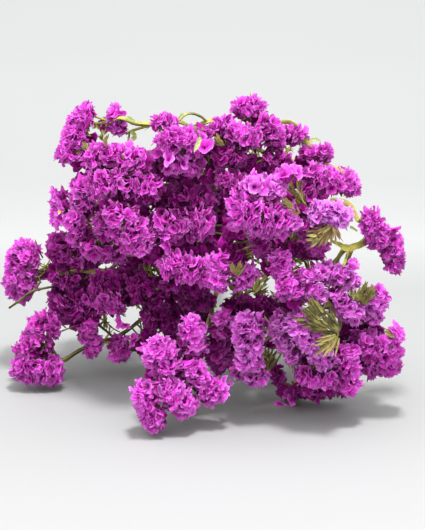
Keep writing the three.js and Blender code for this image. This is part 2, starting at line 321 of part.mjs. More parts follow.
// ---- flower heads ----
const spikes = [];
for (const [head, list] of Object.entries(HEADS)) {
  for (const s of list) spikes.push({ head, a: vec(s[0]), b: vec(s[1]), r: s[2] * CALYX_REACH, body: lump(s) });
}
for (let i = 0; i < spikes.length; i++) {
  for (let j = i + 1; j < spikes.length; j++) {
    const p = spikes[i];
    const q = spikes[j];
    if (p.head === q.head) continue;
    const [A, B] = closest(p.a, p.b, q.a, q.b);
    const n = A.clone().sub(B);
    const d = n.length();
    if (d > (p.r + q.r) * 1.06 + GAP) continue;
    n.divideScalar(d);
    const c = n.dot(B) + (d * q.r) / (p.r + q.r);
    p.body = p.body.trimByPlane([n.x, n.y, n.z], c + GAP / 2);
    q.body = q.body.trimByPlane([-n.x, -n.y, -n.z], -(c - GAP / 2));
  }
}
for (const head of Object.keys(HEADS)) {
  let body = null;
  let x = 0;
  for (const s of spikes.filter((q) => q.head === head)) {
    body = body ? body.add(s.body) : s.body;
    x = s.a.x;
  }
  body = body.trimByPlane([0, 0, 1], 0);
  for (const cutter of cutters) body = body.subtract(cutter);
  place(head, main(body).simplify(0.12), x > 60 ? 0xc04cc4 : 0xba2fb0, 0.8);
}

// ---- twine tie: a few turns side by side, a knot and two loose tails ----
const along = vec(BUNDLE_DIRECTION).normalize();
const outline = [];
const width = TWINE_TURNS * 2 * TWINE_RADIUS;
outline.push(new THREE.Vector2(TIE_INNER_RADIUS, -width / 2));
for (let k = 0; k < TWINE_TURNS; k++) {
  const mid = -width / 2 + TWINE_RADIUS * (2 * k + 1);
  for (const t of [-0.7, 0.7]) {
    outline.push(new THREE.Vector2(TIE_INNER_RADIUS + TWINE_RADIUS * (1 + Math.cos(t)), mid + Math.sin(t) * TWINE_RADIUS));
  }
}
outline.push(new THREE.Vector2(TIE_INNER_RADIUS, width / 2));
outline.push(outline[0].clone());
const turns = new THREE.LatheGeometry(outline, 14);
const toBundle = new THREE.Quaternion().setFromUnitVectors(new THREE.Vector3(0, 1, 0), along);
const settle = new THREE.Matrix4().compose(vec(TIE_CENTRE), toBundle, new THREE.Vector3(1, 1, 1));
turns.applyMatrix4(settle);
let tie = solid(turns);
if (tie.volume() < 0) throw new Error('the twine turns face inwards');
const up = new THREE.Vector3(0.35, 0, 1).projectOnPlane(along).normalize();
const knotAt = vec(TIE_CENTRE).addScaledVector(up, TIE_INNER_RADIUS + 2 * TWINE_RADIUS + KNOT_RADIUS * 0.45);
const knot = new THREE.IcosahedronGeometry(KNOT_RADIUS, 0);
knot.translate(knotAt.x, knotAt.y, knotAt.z);
tie = tie.add(solid(knot));
for (const s of [-1, 1]) {
  const side = up.clone().cross(along).multiplyScalar(s);
  const p = [];
  for (let i = 0; i <= 5; i++) {
    const t = (i / 5) * TAIL_LENGTH;
    p.push(
      knotAt.clone().addScaledVector(side, 0.5 + t * 0.62).addScaledVector(up, 0.4 + t * 0.35 - t * t * 0.032).addScaledVector(along, s * t * 0.16 + t * 0.12).toArray(),
    );
  }
  tie = tie.add(tube(TWINE_RADIUS, p, 5));
}
place('twine_tie', main(tie), 0xb59a6a, 0.95);

export default group;
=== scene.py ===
import math

import bpy
import numpy as np
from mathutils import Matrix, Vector


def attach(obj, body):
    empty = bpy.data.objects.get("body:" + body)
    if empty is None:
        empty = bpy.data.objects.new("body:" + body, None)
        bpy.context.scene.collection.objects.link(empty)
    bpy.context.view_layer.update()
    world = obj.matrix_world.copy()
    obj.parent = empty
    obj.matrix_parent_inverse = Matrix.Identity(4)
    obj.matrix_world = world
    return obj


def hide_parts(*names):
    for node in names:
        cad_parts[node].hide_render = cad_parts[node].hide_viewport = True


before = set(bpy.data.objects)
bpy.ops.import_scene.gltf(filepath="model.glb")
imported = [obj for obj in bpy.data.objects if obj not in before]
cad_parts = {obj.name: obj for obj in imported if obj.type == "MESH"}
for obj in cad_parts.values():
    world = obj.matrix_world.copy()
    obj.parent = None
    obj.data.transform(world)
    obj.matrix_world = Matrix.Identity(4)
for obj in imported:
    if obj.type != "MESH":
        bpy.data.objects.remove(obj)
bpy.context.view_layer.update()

MM = 0.001

# ---------------------------------------------------------------- tables (mm, the row's frame)
# spike: head node, one end, the other end, radius, the way its flowers face, violet share, painted light and shade
# (above zero paints the head's flowers lighter as lit, below zero darker as shaded), flowers' openness
SPIKES = {
    "flower_head_01": [([-76.28, -86.07, 188.85], [-86.65, -96.07, 165.33], 9.97, [-0.761, -0.406, 0.507], 0.07, 0.57, 1.00), ([-54.85, -88.32, 188.62], [-53.09, -88.32, 178.51], 7.29, [-0.39, -0.488, 0.781], 0.07, 0.57, 1.00)],
    "flower_head_02": [([-61.78, -129.63, 171.09], [-34.48, -129.63, 167.18], 10.82, [-0.101, -0.504, 0.858], 0.03, 0.29, 1.00), ([-61.0, -137.43, 153.42], [-30.52, -137.43, 151.46], 11.43, [0.0, -0.976, -0.217], 0.03, 0.29, 1.00), ([-61.81, -132.63, 160.71], [-33.84, -132.63, 158.09], 8.28, [0.0, -0.894, 0.447], 0.03, 0.29, 1.00)],
    "flower_head_03": [([-22.86, -109.63, 188.94], [-15.75, -109.63, 188.29], 6.47, [-0.104, -0.777, 0.621], 0.03, 0.29, 1.00)],
    "flower_head_04": [([-16.47, -133.14, 180.27], [-2.51, -133.14, 179.63], 10.74, [0.0, -0.905, 0.426], 0.07, 0.52, 1.00), ([-15.37, -129.71, 165.89], [-0.71, -129.71, 164.58], 9.57, [0.111, -0.889, -0.444], 0.03, 0.29, 1.00)],
    "flower_head_05": [([-11.77, -69.38, 120.01], [-19.52, -78.8, 123.31], 10.66, [-0.672, 0.647, 0.36], 0.00, -0.41, 1.00), ([-17.75, -99.17, 126.64], [-16.31, -89.55, 131.99], 11.17, [-0.508, -0.373, 0.776], 0.00, -0.41, 1.00), ([-4.16, -86.98, 111.32], [-20.35, -89.84, 109.44], 11.19, [-0.975, -0.212, 0.073], 0.00, -0.41, 1.00)],
    "flower_head_06": [([16.58, -114.46, 185.36], [23.04, -114.46, 182.08], 9.03, [-0.204, -0.764, 0.612], 0.07, 0.52, 1.00), ([26.77, -124.45, 183.34], [34.45, -124.45, 182.03], 9.56, [0.105, -0.843, 0.527], 0.03, 0.29, 1.00)],
    "flower_head_07": [([30.25, -104.63, 197.13], [38.01, -104.63, 199.1], 8.43, [0.0, -0.507, 0.862], 0.07, 0.52, 1.00)],
    "flower_head_08": [([-121.97, -69.63, 83.15], [-125.71, -69.63, 63.1], 14.10, [-0.503, -0.503, 0.704], 0.03, 0.29, 1.00)],
    "flower_head_09": [([-94.38, -74.63, 92.06], [-80.78, -74.63, 81.81], 13.26, [-0.303, -0.505, 0.808], 0.00, -0.68, 1.00), ([-98.96, -83.83, 71.64], [-85.09, -83.83, 70.9], 6.95, [-0.127, -0.762, -0.635], 0.00, -0.68, 1.00)],
    "flower_head_10": [([-93.29, -89.63, 131.38], [-95.17, -89.63, 117.33], 7.10, [-0.927, -0.361, 0.103], 0.07, 0.57, 1.00)],
    "flower_head_11": [([-77.29, -104.63, 141.58], [-76.36, -104.63, 129.22], 9.29, [-0.539, -0.647, 0.539], 0.03, 0.29, 1.00), ([-80.77, -109.63, 120.97], [-77.75, -109.63, 111.97], 9.97, [-0.702, -0.702, 0.117], 0.03, 0.29, 1.00)],
    "flower_head_12": [([-73.24, -35.67, 45.47], [-66.17, -49.52, 54.02], 11.27, [-0.713, 0.607, -0.351], 0.00, -0.41, 1.00), ([-59.97, -66.64, 48.93], [-53.17, -59.22, 58.49], 10.38, [-0.619, -0.329, -0.714], 0.00, -0.41, 1.00), ([-83.89, -50.96, 60.82], [-82.16, -41.08, 74.68], 11.44, [-0.84, 0.508, 0.191], 0.00, -0.41, 1.00)],
    "flower_head_13": [([-61.17, -121.61, 124.08], [-61.35, -121.61, 117.29], 8.51, [-0.236, -0.943, 0.236], 0.00, -0.20, 1.00), ([-68.78, -122.9, 104.62], [-49.03, -122.9, 101.84], 8.55, [0.0, -0.707, -0.707], 0.00, -0.20, 1.00)],
    "flower_head_14": [([-64.21, -64.83, 102.29], [-54.25, -77.07, 109.94], 10.03, [-0.68, 0.507, 0.53], 0.00, -0.41, 1.00), ([-51.84, -55.68, 102.21], [-57.07, -55.91, 91.6], 10.70, [-0.461, 0.886, 0.049], 0.00, -0.41, 1.00), ([-56.87, -89.21, 99.54], [-48.58, -93.1, 111.8], 11.67, [-0.834, -0.431, 0.346], 0.00, -0.41, 1.00)],
    "flower_head_15": [([-46.87, -147.81, 134.57], [-36.98, -147.81, 119.99], 12.04, [0.223, -0.949, 0.223], 0.03, 0.29, 1.00)],
    "flower_head_16": [([-106.97, -96.41, 40.79], [-113.92, -96.41, 24.4], 13.86, [-0.625, -0.469, 0.625], 0.00, -0.20, 1.00), ([-119.49, -109.24, 15.47], [-100.99, -109.24, 12.48], 11.03, [0.116, -0.986, -0.116], 0.03, 0.29, 1.00)],
    "flower_head_17": [([-95.64, -75.33, 55.37], [-80.16, -75.33, 54.62], 11.99, [-0.768, -0.549, 0.329], 0.00, -0.20, 1.00), ([-87.22, -77.85, 46.54], [-78.99, -77.85, 39.02], 10.58, [0.384, -0.768, 0.512], 0.00, -0.68, 1.00)],
    "flower_head_18": [([-75.65, -98.83, 38.01], [-71.87, -98.83, 25.38], 7.61, [0.267, -0.802, -0.535], 0.00, -0.20, 1.00), ([-54.71, -95.53, 26.3], [-54.86, -95.53, 19.55], 8.02, [0.0, -0.591, -0.806], 0.00, -0.20, 1.00)],
    "flower_head_19": [([-62.66, -102.51, 74.37], [-45.7, -102.51, 74.37], 12.24, [0.0, -0.894, 0.447], 0.00, -1.22, 1.00), ([-62.57, -114.75, 65.75], [-50.44, -114.75, 66.46], 8.75, [0.0, -0.905, -0.426], 0.00, -0.20, 1.00)],
    "flower_head_20": [([-26.79, -119.65, 58.23], [-1.29, -119.65, 56.8], 12.75, [0.0, -0.97, -0.243], 0.00, -1.62, 1.00), ([-34.34, -121.11, 77.42], [-18.96, -121.11, 73.15], 13.32, [0.0, -0.814, -0.581], 0.00, -1.62, 1.00)],
    "flower_head_21": [([-17.3, -135.28, 85.58], [2.3, -135.28, 82.13], 8.49, [0.0, -0.814, -0.581], 0.00, -1.22, 1.00), ([-4.25, -133.7, 73.21], [5.65, -133.7, 70.4], 9.20, [0.0, -0.814, -0.581], 0.00, -1.62, 1.00)],
    "flower_head_22": [([-23.23, -163.72, 47.87], [-15.65, -163.72, 36.09], 12.85, [-0.348, -0.497, 0.795], 0.10, 0.57, 1.00), ([-33.53, -181.35, 28.08], [-27.45, -181.35, 10.75], 10.15, [-0.767, -0.603, -0.219], 0.10, 0.57, 1.00), ([-15.85, -178.52, 28.36], [-7.66, -178.52, 19.37], 10.81, [0.444, -0.889, -0.111], 0.10, 0.57, 1.00), ([-0.71, -171.27, 39.21], [10.16, -171.27, 23.21], 8.95, [0.436, -0.873, 0.218], 0.10, 0.57, 1.00)],
    "flower_head_23": [([-13.46, -149.62, 103.97], [4.39, -149.62, 100.61], 10.21, [0.104, -0.777, 0.621], 0.03, 0.52, 1.00)],
    "flower_head_24": [([-2.7, -158.34, 61.72], [-1.48, -158.34, 49.33], 10.29, [0.0, -0.949, 0.316], 0.10, 0.57, 1.00)],
    "flower_head_25": [([12.15, -147.89, 48.52], [16.73, -147.89, 36.58], 9.81, [0.12, -0.963, 0.241], 0.00, -0.20, 1.00), ([16.58, -152.63, 66.31], [16.6, -152.63, 60.79], 8.39, [0.0, -0.979, 0.206], 0.03, 0.29, 1.00)],
    "flower_head_26": [([15.78, -163.4, 110.42], [13.29, -163.4, 96.54], 7.51, [0.0, -0.894, 0.447], 0.03, 0.52, 1.00), ([28.28, -164.48, 99.01], [34.52, -164.48, 102.32], 8.16, [0.108, -0.97, 0.216], 0.03, 0.52, 1.00)],
    "flower_head_27": [([25.63, -114.63, 62.12], [47.87, -114.63, 62.12], 9.44, [0.0, -0.894, 0.447], 0.00, -1.62, 1.00)],
    "flower_head_28": [([32.94, -166.49, 67.3], [33.75, -166.49, 46.9], 11.46, [-0.469, -0.625, 0.625], 0.30, 0.69, 1.00), ([28.2, -162.84, 33.77], [41.2, -162.84, 30.27], 7.10, [-0.108, -0.647, -0.755], 0.30, 0.57, 1.00)],
    "flower_head_29": [([64.77, -176.8, 73.4], [81.05, -176.8, 51.12], 10.67, [-0.484, -0.645, -0.591], 0.42, 0.75, 1.00), ([51.32, -170.71, 67.86], [62.48, -170.71, 50.06], 8.86, [-0.566, -0.793, -0.226], 0.40, 0.11, 1.00)],
    "flower_head_30": [([75.93, -135.53, 8.31], [97.35, -135.53, 10.5], 7.39, [0.107, -0.588, -0.802], 0.00, -1.22, 1.00), ([59.2, -131.32, 5.95], [69.27, -131.32, 7.41], 6.75, [0.0, -0.53, -0.848], 0.00, -1.22, 1.00), ([49.29, -128.23, 21.02], [54.77, -128.23, 15.18], 6.75, [-0.105, -0.843, -0.527], 0.00, -1.22, 1.00)],
    "flower_head_31": [([68.47, -115.54, 46.89], [70.02, -99.87, 43.07], 10.74, [0.506, 0.029, -0.862], 0.00, -0.41, 1.00), ([80.02, -102.11, 19.75], [75.69, -93.09, 28.45], 10.18, [0.434, 0.236, -0.87], 0.00, -0.41, 1.00), ([69.28, -78.42, 23.85], [66.26, -76.83, 40.05], 11.74, [0.145, 0.79, -0.596], 0.00, -0.41, 1.00)],
    "flower_head_32": [([69.32, -173.88, 36.16], [85.2, -173.88, 34.79], 8.27, [-0.106, -0.9, -0.423], 0.00, 0.40, 1.00), ([95.15, -167.1, 49.22], [97.73, -167.1, 28.61], 9.61, [0.551, -0.827, 0.11], 0.00, 0.40, 1.00)],
    "flower_head_33": [([100.87, -138.6, 56.85], [115.42, -138.6, 54.04], 9.21, [0.229, -0.688, -0.688], 0.00, -1.22, 1.00)],
    "flower_head_34": [([116.06, -155.64, 84.46], [113.93, -155.64, 73.59], 8.93, [0.539, -0.539, 0.647], 0.30, 0.69, 1.00), ([87.97, -162.45, 84.63], [98.97, -162.45, 76.57], 9.51, [0.115, -0.808, -0.577], 0.30, 0.57, 1.00)],
    "flower_head_35": [([108.98, -155.64, 51.58], [123.98, -155.64, 48.11], 10.98, [-0.106, -0.9, 0.423], 0.03, 0.29, 1.00), ([113.59, -149.63, 33.74], [126.63, -149.63, 35.16], 9.17, [0.662, -0.606, -0.441], 0.03, 0.29, 1.00)],
    "flower_head_36": [([54.46, -129.63, 107.75], [77.3, -129.63, 106.39], 8.48, [0.0, -0.759, -0.651], 0.00, -1.22, 1.00)],
    "flower_head_37": [([52.35, -169.63, 113.73], [54.37, -169.63, 103.92], 8.08, [-0.104, -0.777, 0.621], 0.03, 0.52, 1.00), ([55.97, -176.63, 97.77], [62.16, -176.63, 97.77], 8.67, [0.0, -0.995, 0.105], 0.03, 0.52, 1.00), ([72.73, -174.63, 102.32], [75.49, -174.63, 91.16], 8.07, [0.422, -0.738, 0.527], 0.30, 0.57, 1.00)],
    "flower_head_38": [([72.6, -86.11, 104.13], [78.45, -76.27, 99.28], 10.32, [0.342, 0.919, 0.198], 0.00, -0.41, 1.00), ([72.67, -60.32, 94.73], [66.24, -52.34, 101.29], 11.70, [0.092, 0.996, 0.004], 0.00, -0.41, 1.00), ([71.55, -66.16, 111.4], [64.57, -73.4, 106.73], 11.04, [-0.039, 0.921, 0.389], 0.00, -0.41, 1.00)],
    "flower_head_39": [([77.38, -157.49, 141.13], [89.86, -157.49, 139.2], 9.35, [0.099, -0.445, 0.89], 0.62, 1.15, 1.00), ([70.48, -154.88, 128.9], [75.13, -154.88, 119.02], 8.81, [-0.329, -0.768, -0.549], 0.00, -0.20, 1.00)],
    "flower_head_40": [([76.43, -124.82, 156.14], [87.49, -124.82, 152.16], 10.31, [0.316, -0.789, 0.526], 0.03, 0.29, 1.00), ([71.43, -134.44, 148.05], [76.64, -134.44, 144.09], 7.03, [0.0, -0.976, 0.217], 0.00, -0.68, 1.00)],
    "flower_head_41": [([81.37, -160.65, 103.12], [97.31, -160.65, 97.8], 8.83, [0.309, -0.619, 0.722], 0.32, 0.86, 1.00)],
    "flower_head_42": [([113.01, -134.63, 128.84], [117.33, -134.63, 117.43], 9.00, [-0.204, -0.612, 0.764], 0.03, 0.29, 1.00), ([125.86, -129.63, 114.56], [131.09, -129.63, 99.54], 9.13, [0.688, -0.688, 0.229], 0.03, 0.29, 1.00)],
    "flower_head_43": [([-20.3, -123.84, 141.23], [5.6, -123.84, 139.9], 11.67, [0.0, -0.707, 0.707], 0.00, -0.68, 1.00), ([-19.89, -136.1, 124.65], [2.51, -136.1, 126.65], 12.85, [0.0, -0.995, -0.103], 0.00, -0.20, 1.00)],
    "flower_head_44": [([5.08, -120.98, 183.48], [7.61, -120.98, 171.11], 6.41, [0.105, -0.843, 0.527], 0.07, 0.52, 1.00), ([16.49, -124.8, 168.24], [26.72, -124.8, 167.59], 8.97, [0.0, -0.894, -0.447], 0.00, -0.68, 1.00)],
    "flower_head_45": [([18.41, -134.64, 155.98], [26.7, -134.64, 153.36], 8.28, [-0.217, -0.812, 0.542], 0.00, -0.68, 1.00)],
    "flower_head_46": [([39.5, -144.63, 117.11], [42.13, -144.63, 111.09], 7.67, [0.0, -0.894, -0.447], 0.00, -0.68, 1.00)],
    "flower_head_47": [([41.21, -72.12, 124.32], [28.53, -80.61, 124.77], 10.64, [-0.315, 0.622, 0.717], 0.00, -0.41, 1.00), ([47.49, -96.42, 113.44], [43.13, -88.03, 120.57], 11.41, [0.295, -0.859, 0.419], 0.00, -0.41, 1.00), ([31.33, -62.25, 113.78], [45.06, -64.31, 110.69], 11.05, [-0.128, 0.992, -0.022], 0.00, -0.41, 1.00)],
    "flower_head_48": [([36.84, -165.7, 159.96], [47.29, -165.7, 158.06], 10.41, [0.204, -0.612, 0.764], 0.30, 0.69, 1.00), ([33.34, -173.32, 144.05], [48.64, -173.32, 139.61], 12.22, [0.0, -0.979, -0.206], 0.10, 0.52, 1.00), ([24.41, -160.44, 146.57], [26.34, -160.44, 135.6], 7.45, [-0.733, -0.68, 0.0], 0.10, 0.52, 1.00), ([56.35, -167.25, 144.0], [59.58, -167.25, 135.71], 7.39, [0.542, -0.812, -0.217], 0.10, 0.52, 1.00), ([53.19, -162.54, 169.1], [60.55, -162.54, 169.73], 4.90, [0.0, -0.507, 0.862], 0.20, 1.15, 1.00)],
    "flower_head_49": [([46.2, -114.42, 187.31], [51.5, -114.42, 177.47], 9.03, [0.309, -0.722, 0.619], 0.03, 0.29, 1.00), ([48.83, -119.63, 166.79], [57.27, -119.63, 164.14], 7.74, [0.108, -0.755, 0.647], 0.00, -0.68, 1.00)],
    "flower_head_50": [([62.97, -105.41, 180.14], [68.22, -105.41, 178.81], 7.83, [0.484, -0.591, 0.645], 0.03, 0.29, 1.00), ([73.99, -109.08, 167.91], [83.75, -109.08, 168.58], 7.83, [0.539, -0.539, 0.647], 0.03, 0.29, 1.00)],
    "flower_head_51": [([97.33, -104.63, 148.39], [102.09, -104.63, 144.31], 8.92, [0.768, -0.549, 0.329], 0.03, 0.29, 1.00)],
}
# where each head meets its stalk
ROOTS = {
    "flower_head_01": ([-58.54, -87.05, 182.75], [-0.662, 0.621, -0.42]),
    "flower_head_02": ([-48.69, -128.06, 162.88], [-0.764, -0.641, 0.074]),
    "flower_head_03": ([-19.38, -107.88, 188.41], [-0.702, -0.7, 0.127]),
    "flower_head_04": ([-9.31, -130.51, 176.02], [0.584, -0.664, 0.466]),
    "flower_head_05": ([-13.27, -78.53, 120.16], [-0.24, -0.901, -0.361]),
    "flower_head_06": ([21.4, -113.6, 181.9], [-0.592, -0.756, 0.278]),
    "flower_head_07": ([34.45, -103.15, 196.59], [0.156, -0.088, 0.984]),
    "flower_head_08": ([-121.25, -66.4, 72.26], [-0.803, 0.487, 0.345]),
    "flower_head_09": ([-92.23, -80.55, 72.49], [-0.726, 0.012, -0.688]),
    "flower_head_10": ([-92.44, -88.4, 125.16], [-0.889, -0.403, 0.217]),
    "flower_head_11": ([-76.24, -102.6, 132.82], [0.139, -0.871, 0.472]),
    "flower_head_12": ([-67.31, -46.35, 52.69], [-0.618, -0.44, -0.652]),
    "flower_head_13": ([-60.48, -119.35, 118.71], [-0.939, -0.299, 0.171]),
    "flower_head_14": ([-56.22, -72.75, 103.87], [0.024, -0.993, -0.115]),
    "flower_head_15": ([-42.29, -144.3, 128.02], [-0.08, -0.915, 0.395]),
    "flower_head_16": ([-103.79, -94.68, 30.21], [-0.524, 0.259, 0.812]),
    "flower_head_17": ([-89.32, -72.18, 51.93], [-0.745, 0.29, 0.601]),
    "flower_head_18": ([-71.43, -95.43, 29.94], [-0.374, -0.865, 0.335]),
    "flower_head_19": ([-54.42, -100.97, 71.63], [-0.114, -0.792, 0.599]),
    "flower_head_20": ([-24.98, -117.02, 72.36], [-0.806, -0.556, -0.2]),
    "flower_head_21": ([-6.47, -132.62, 83.05], [0.09, -0.966, 0.241]),
    "flower_head_22": ([-12.61, -174.18, 24.78], [-0.334, -0.842, -0.423]),
    "flower_head_23": ([-4.53, -146.85, 100.99], [-0.698, -0.697, 0.168]),
    "flower_head_24": ([-2.09, -155.25, 55.53], [-0.408, -0.892, 0.194]),
    "flower_head_25": ([14.44, -145.75, 45.92], [0.152, -0.462, -0.874]),
    "flower_head_26": ([29.3, -161.92, 100.32], [0.584, -0.812, 0.02]),
    "flower_head_27": ([36.75, -111.94, 61.23], [0.541, -0.794, -0.276]),
    "flower_head_28": ([35.5, -163.55, 53.81], [-0.603, -0.798, 0.02]),
    "flower_head_29": ([72.9, -175.49, 64.05], [-0.107, -0.791, 0.602]),
    "flower_head_30": ([65.84, -129.93, 9.06], [-0.094, -0.993, -0.068]),
    "flower_head_31": ([75.02, -97.62, 29.11], [0.606, -0.655, 0.452]),
    "flower_head_32": ([79.6, -170.8, 37.05], [0.226, -0.772, -0.594]),
    "flower_head_33": ([107.57, -137.17, 57.74], [0.256, -0.668, 0.699]),
    "flower_head_34": ([109.68, -153.89, 81.39], [0.08, -0.896, 0.437]),
    "flower_head_35": ([118.83, -148.54, 37.82], [0.607, -0.765, -0.215]),
    "flower_head_36": ([65.88, -127.16, 106.45], [0.639, -0.454, 0.621]),
    "flower_head_37": ([59.8, -173.35, 98.3], [0.209, -0.952, -0.223]),
    "flower_head_38": ([68.79, -72.68, 106.4], [0.294, -0.859, -0.419]),
    "flower_head_39": ([82.19, -156.0, 135.93], [-0.141, -0.763, 0.631]),
    "flower_head_40": ([80.12, -123.35, 152.23], [-0.066, -0.697, 0.714]),
    "flower_head_41": ([89.05, -158.17, 99.58], [-0.266, -0.963, 0.036]),
    "flower_head_42": ([113.97, -131.26, 120.38], [0.273, -0.681, 0.68]),
    "flower_head_43": ([-7.84, -122.66, 136.68], [-0.606, -0.795, -0.036]),
    "flower_head_44": ([8.08, -119.59, 175.44], [-0.374, -0.483, 0.792]),
    "flower_head_45": ([22.56, -132.5, 153.41], [0.246, -0.955, -0.166]),
    "flower_head_46": ([40.82, -142.45, 114.83], [0.205, -0.927, -0.315]),
    "flower_head_47": ([36.81, -78.28, 120.87], [0.904, -0.37, 0.214]),
    "flower_head_48": ([42.45, -163.8, 154.84], [0.112, -0.558, 0.822]),
    "flower_head_49": ([48.88, -112.86, 178.89], [0.51, -0.818, 0.267]),
    "flower_head_50": ([76.46, -106.92, 168.36], [0.558, -0.262, -0.788]),
    "flower_head_51": ([98.32, -102.57, 144.4], [0.246, 0.007, -0.969]),
}
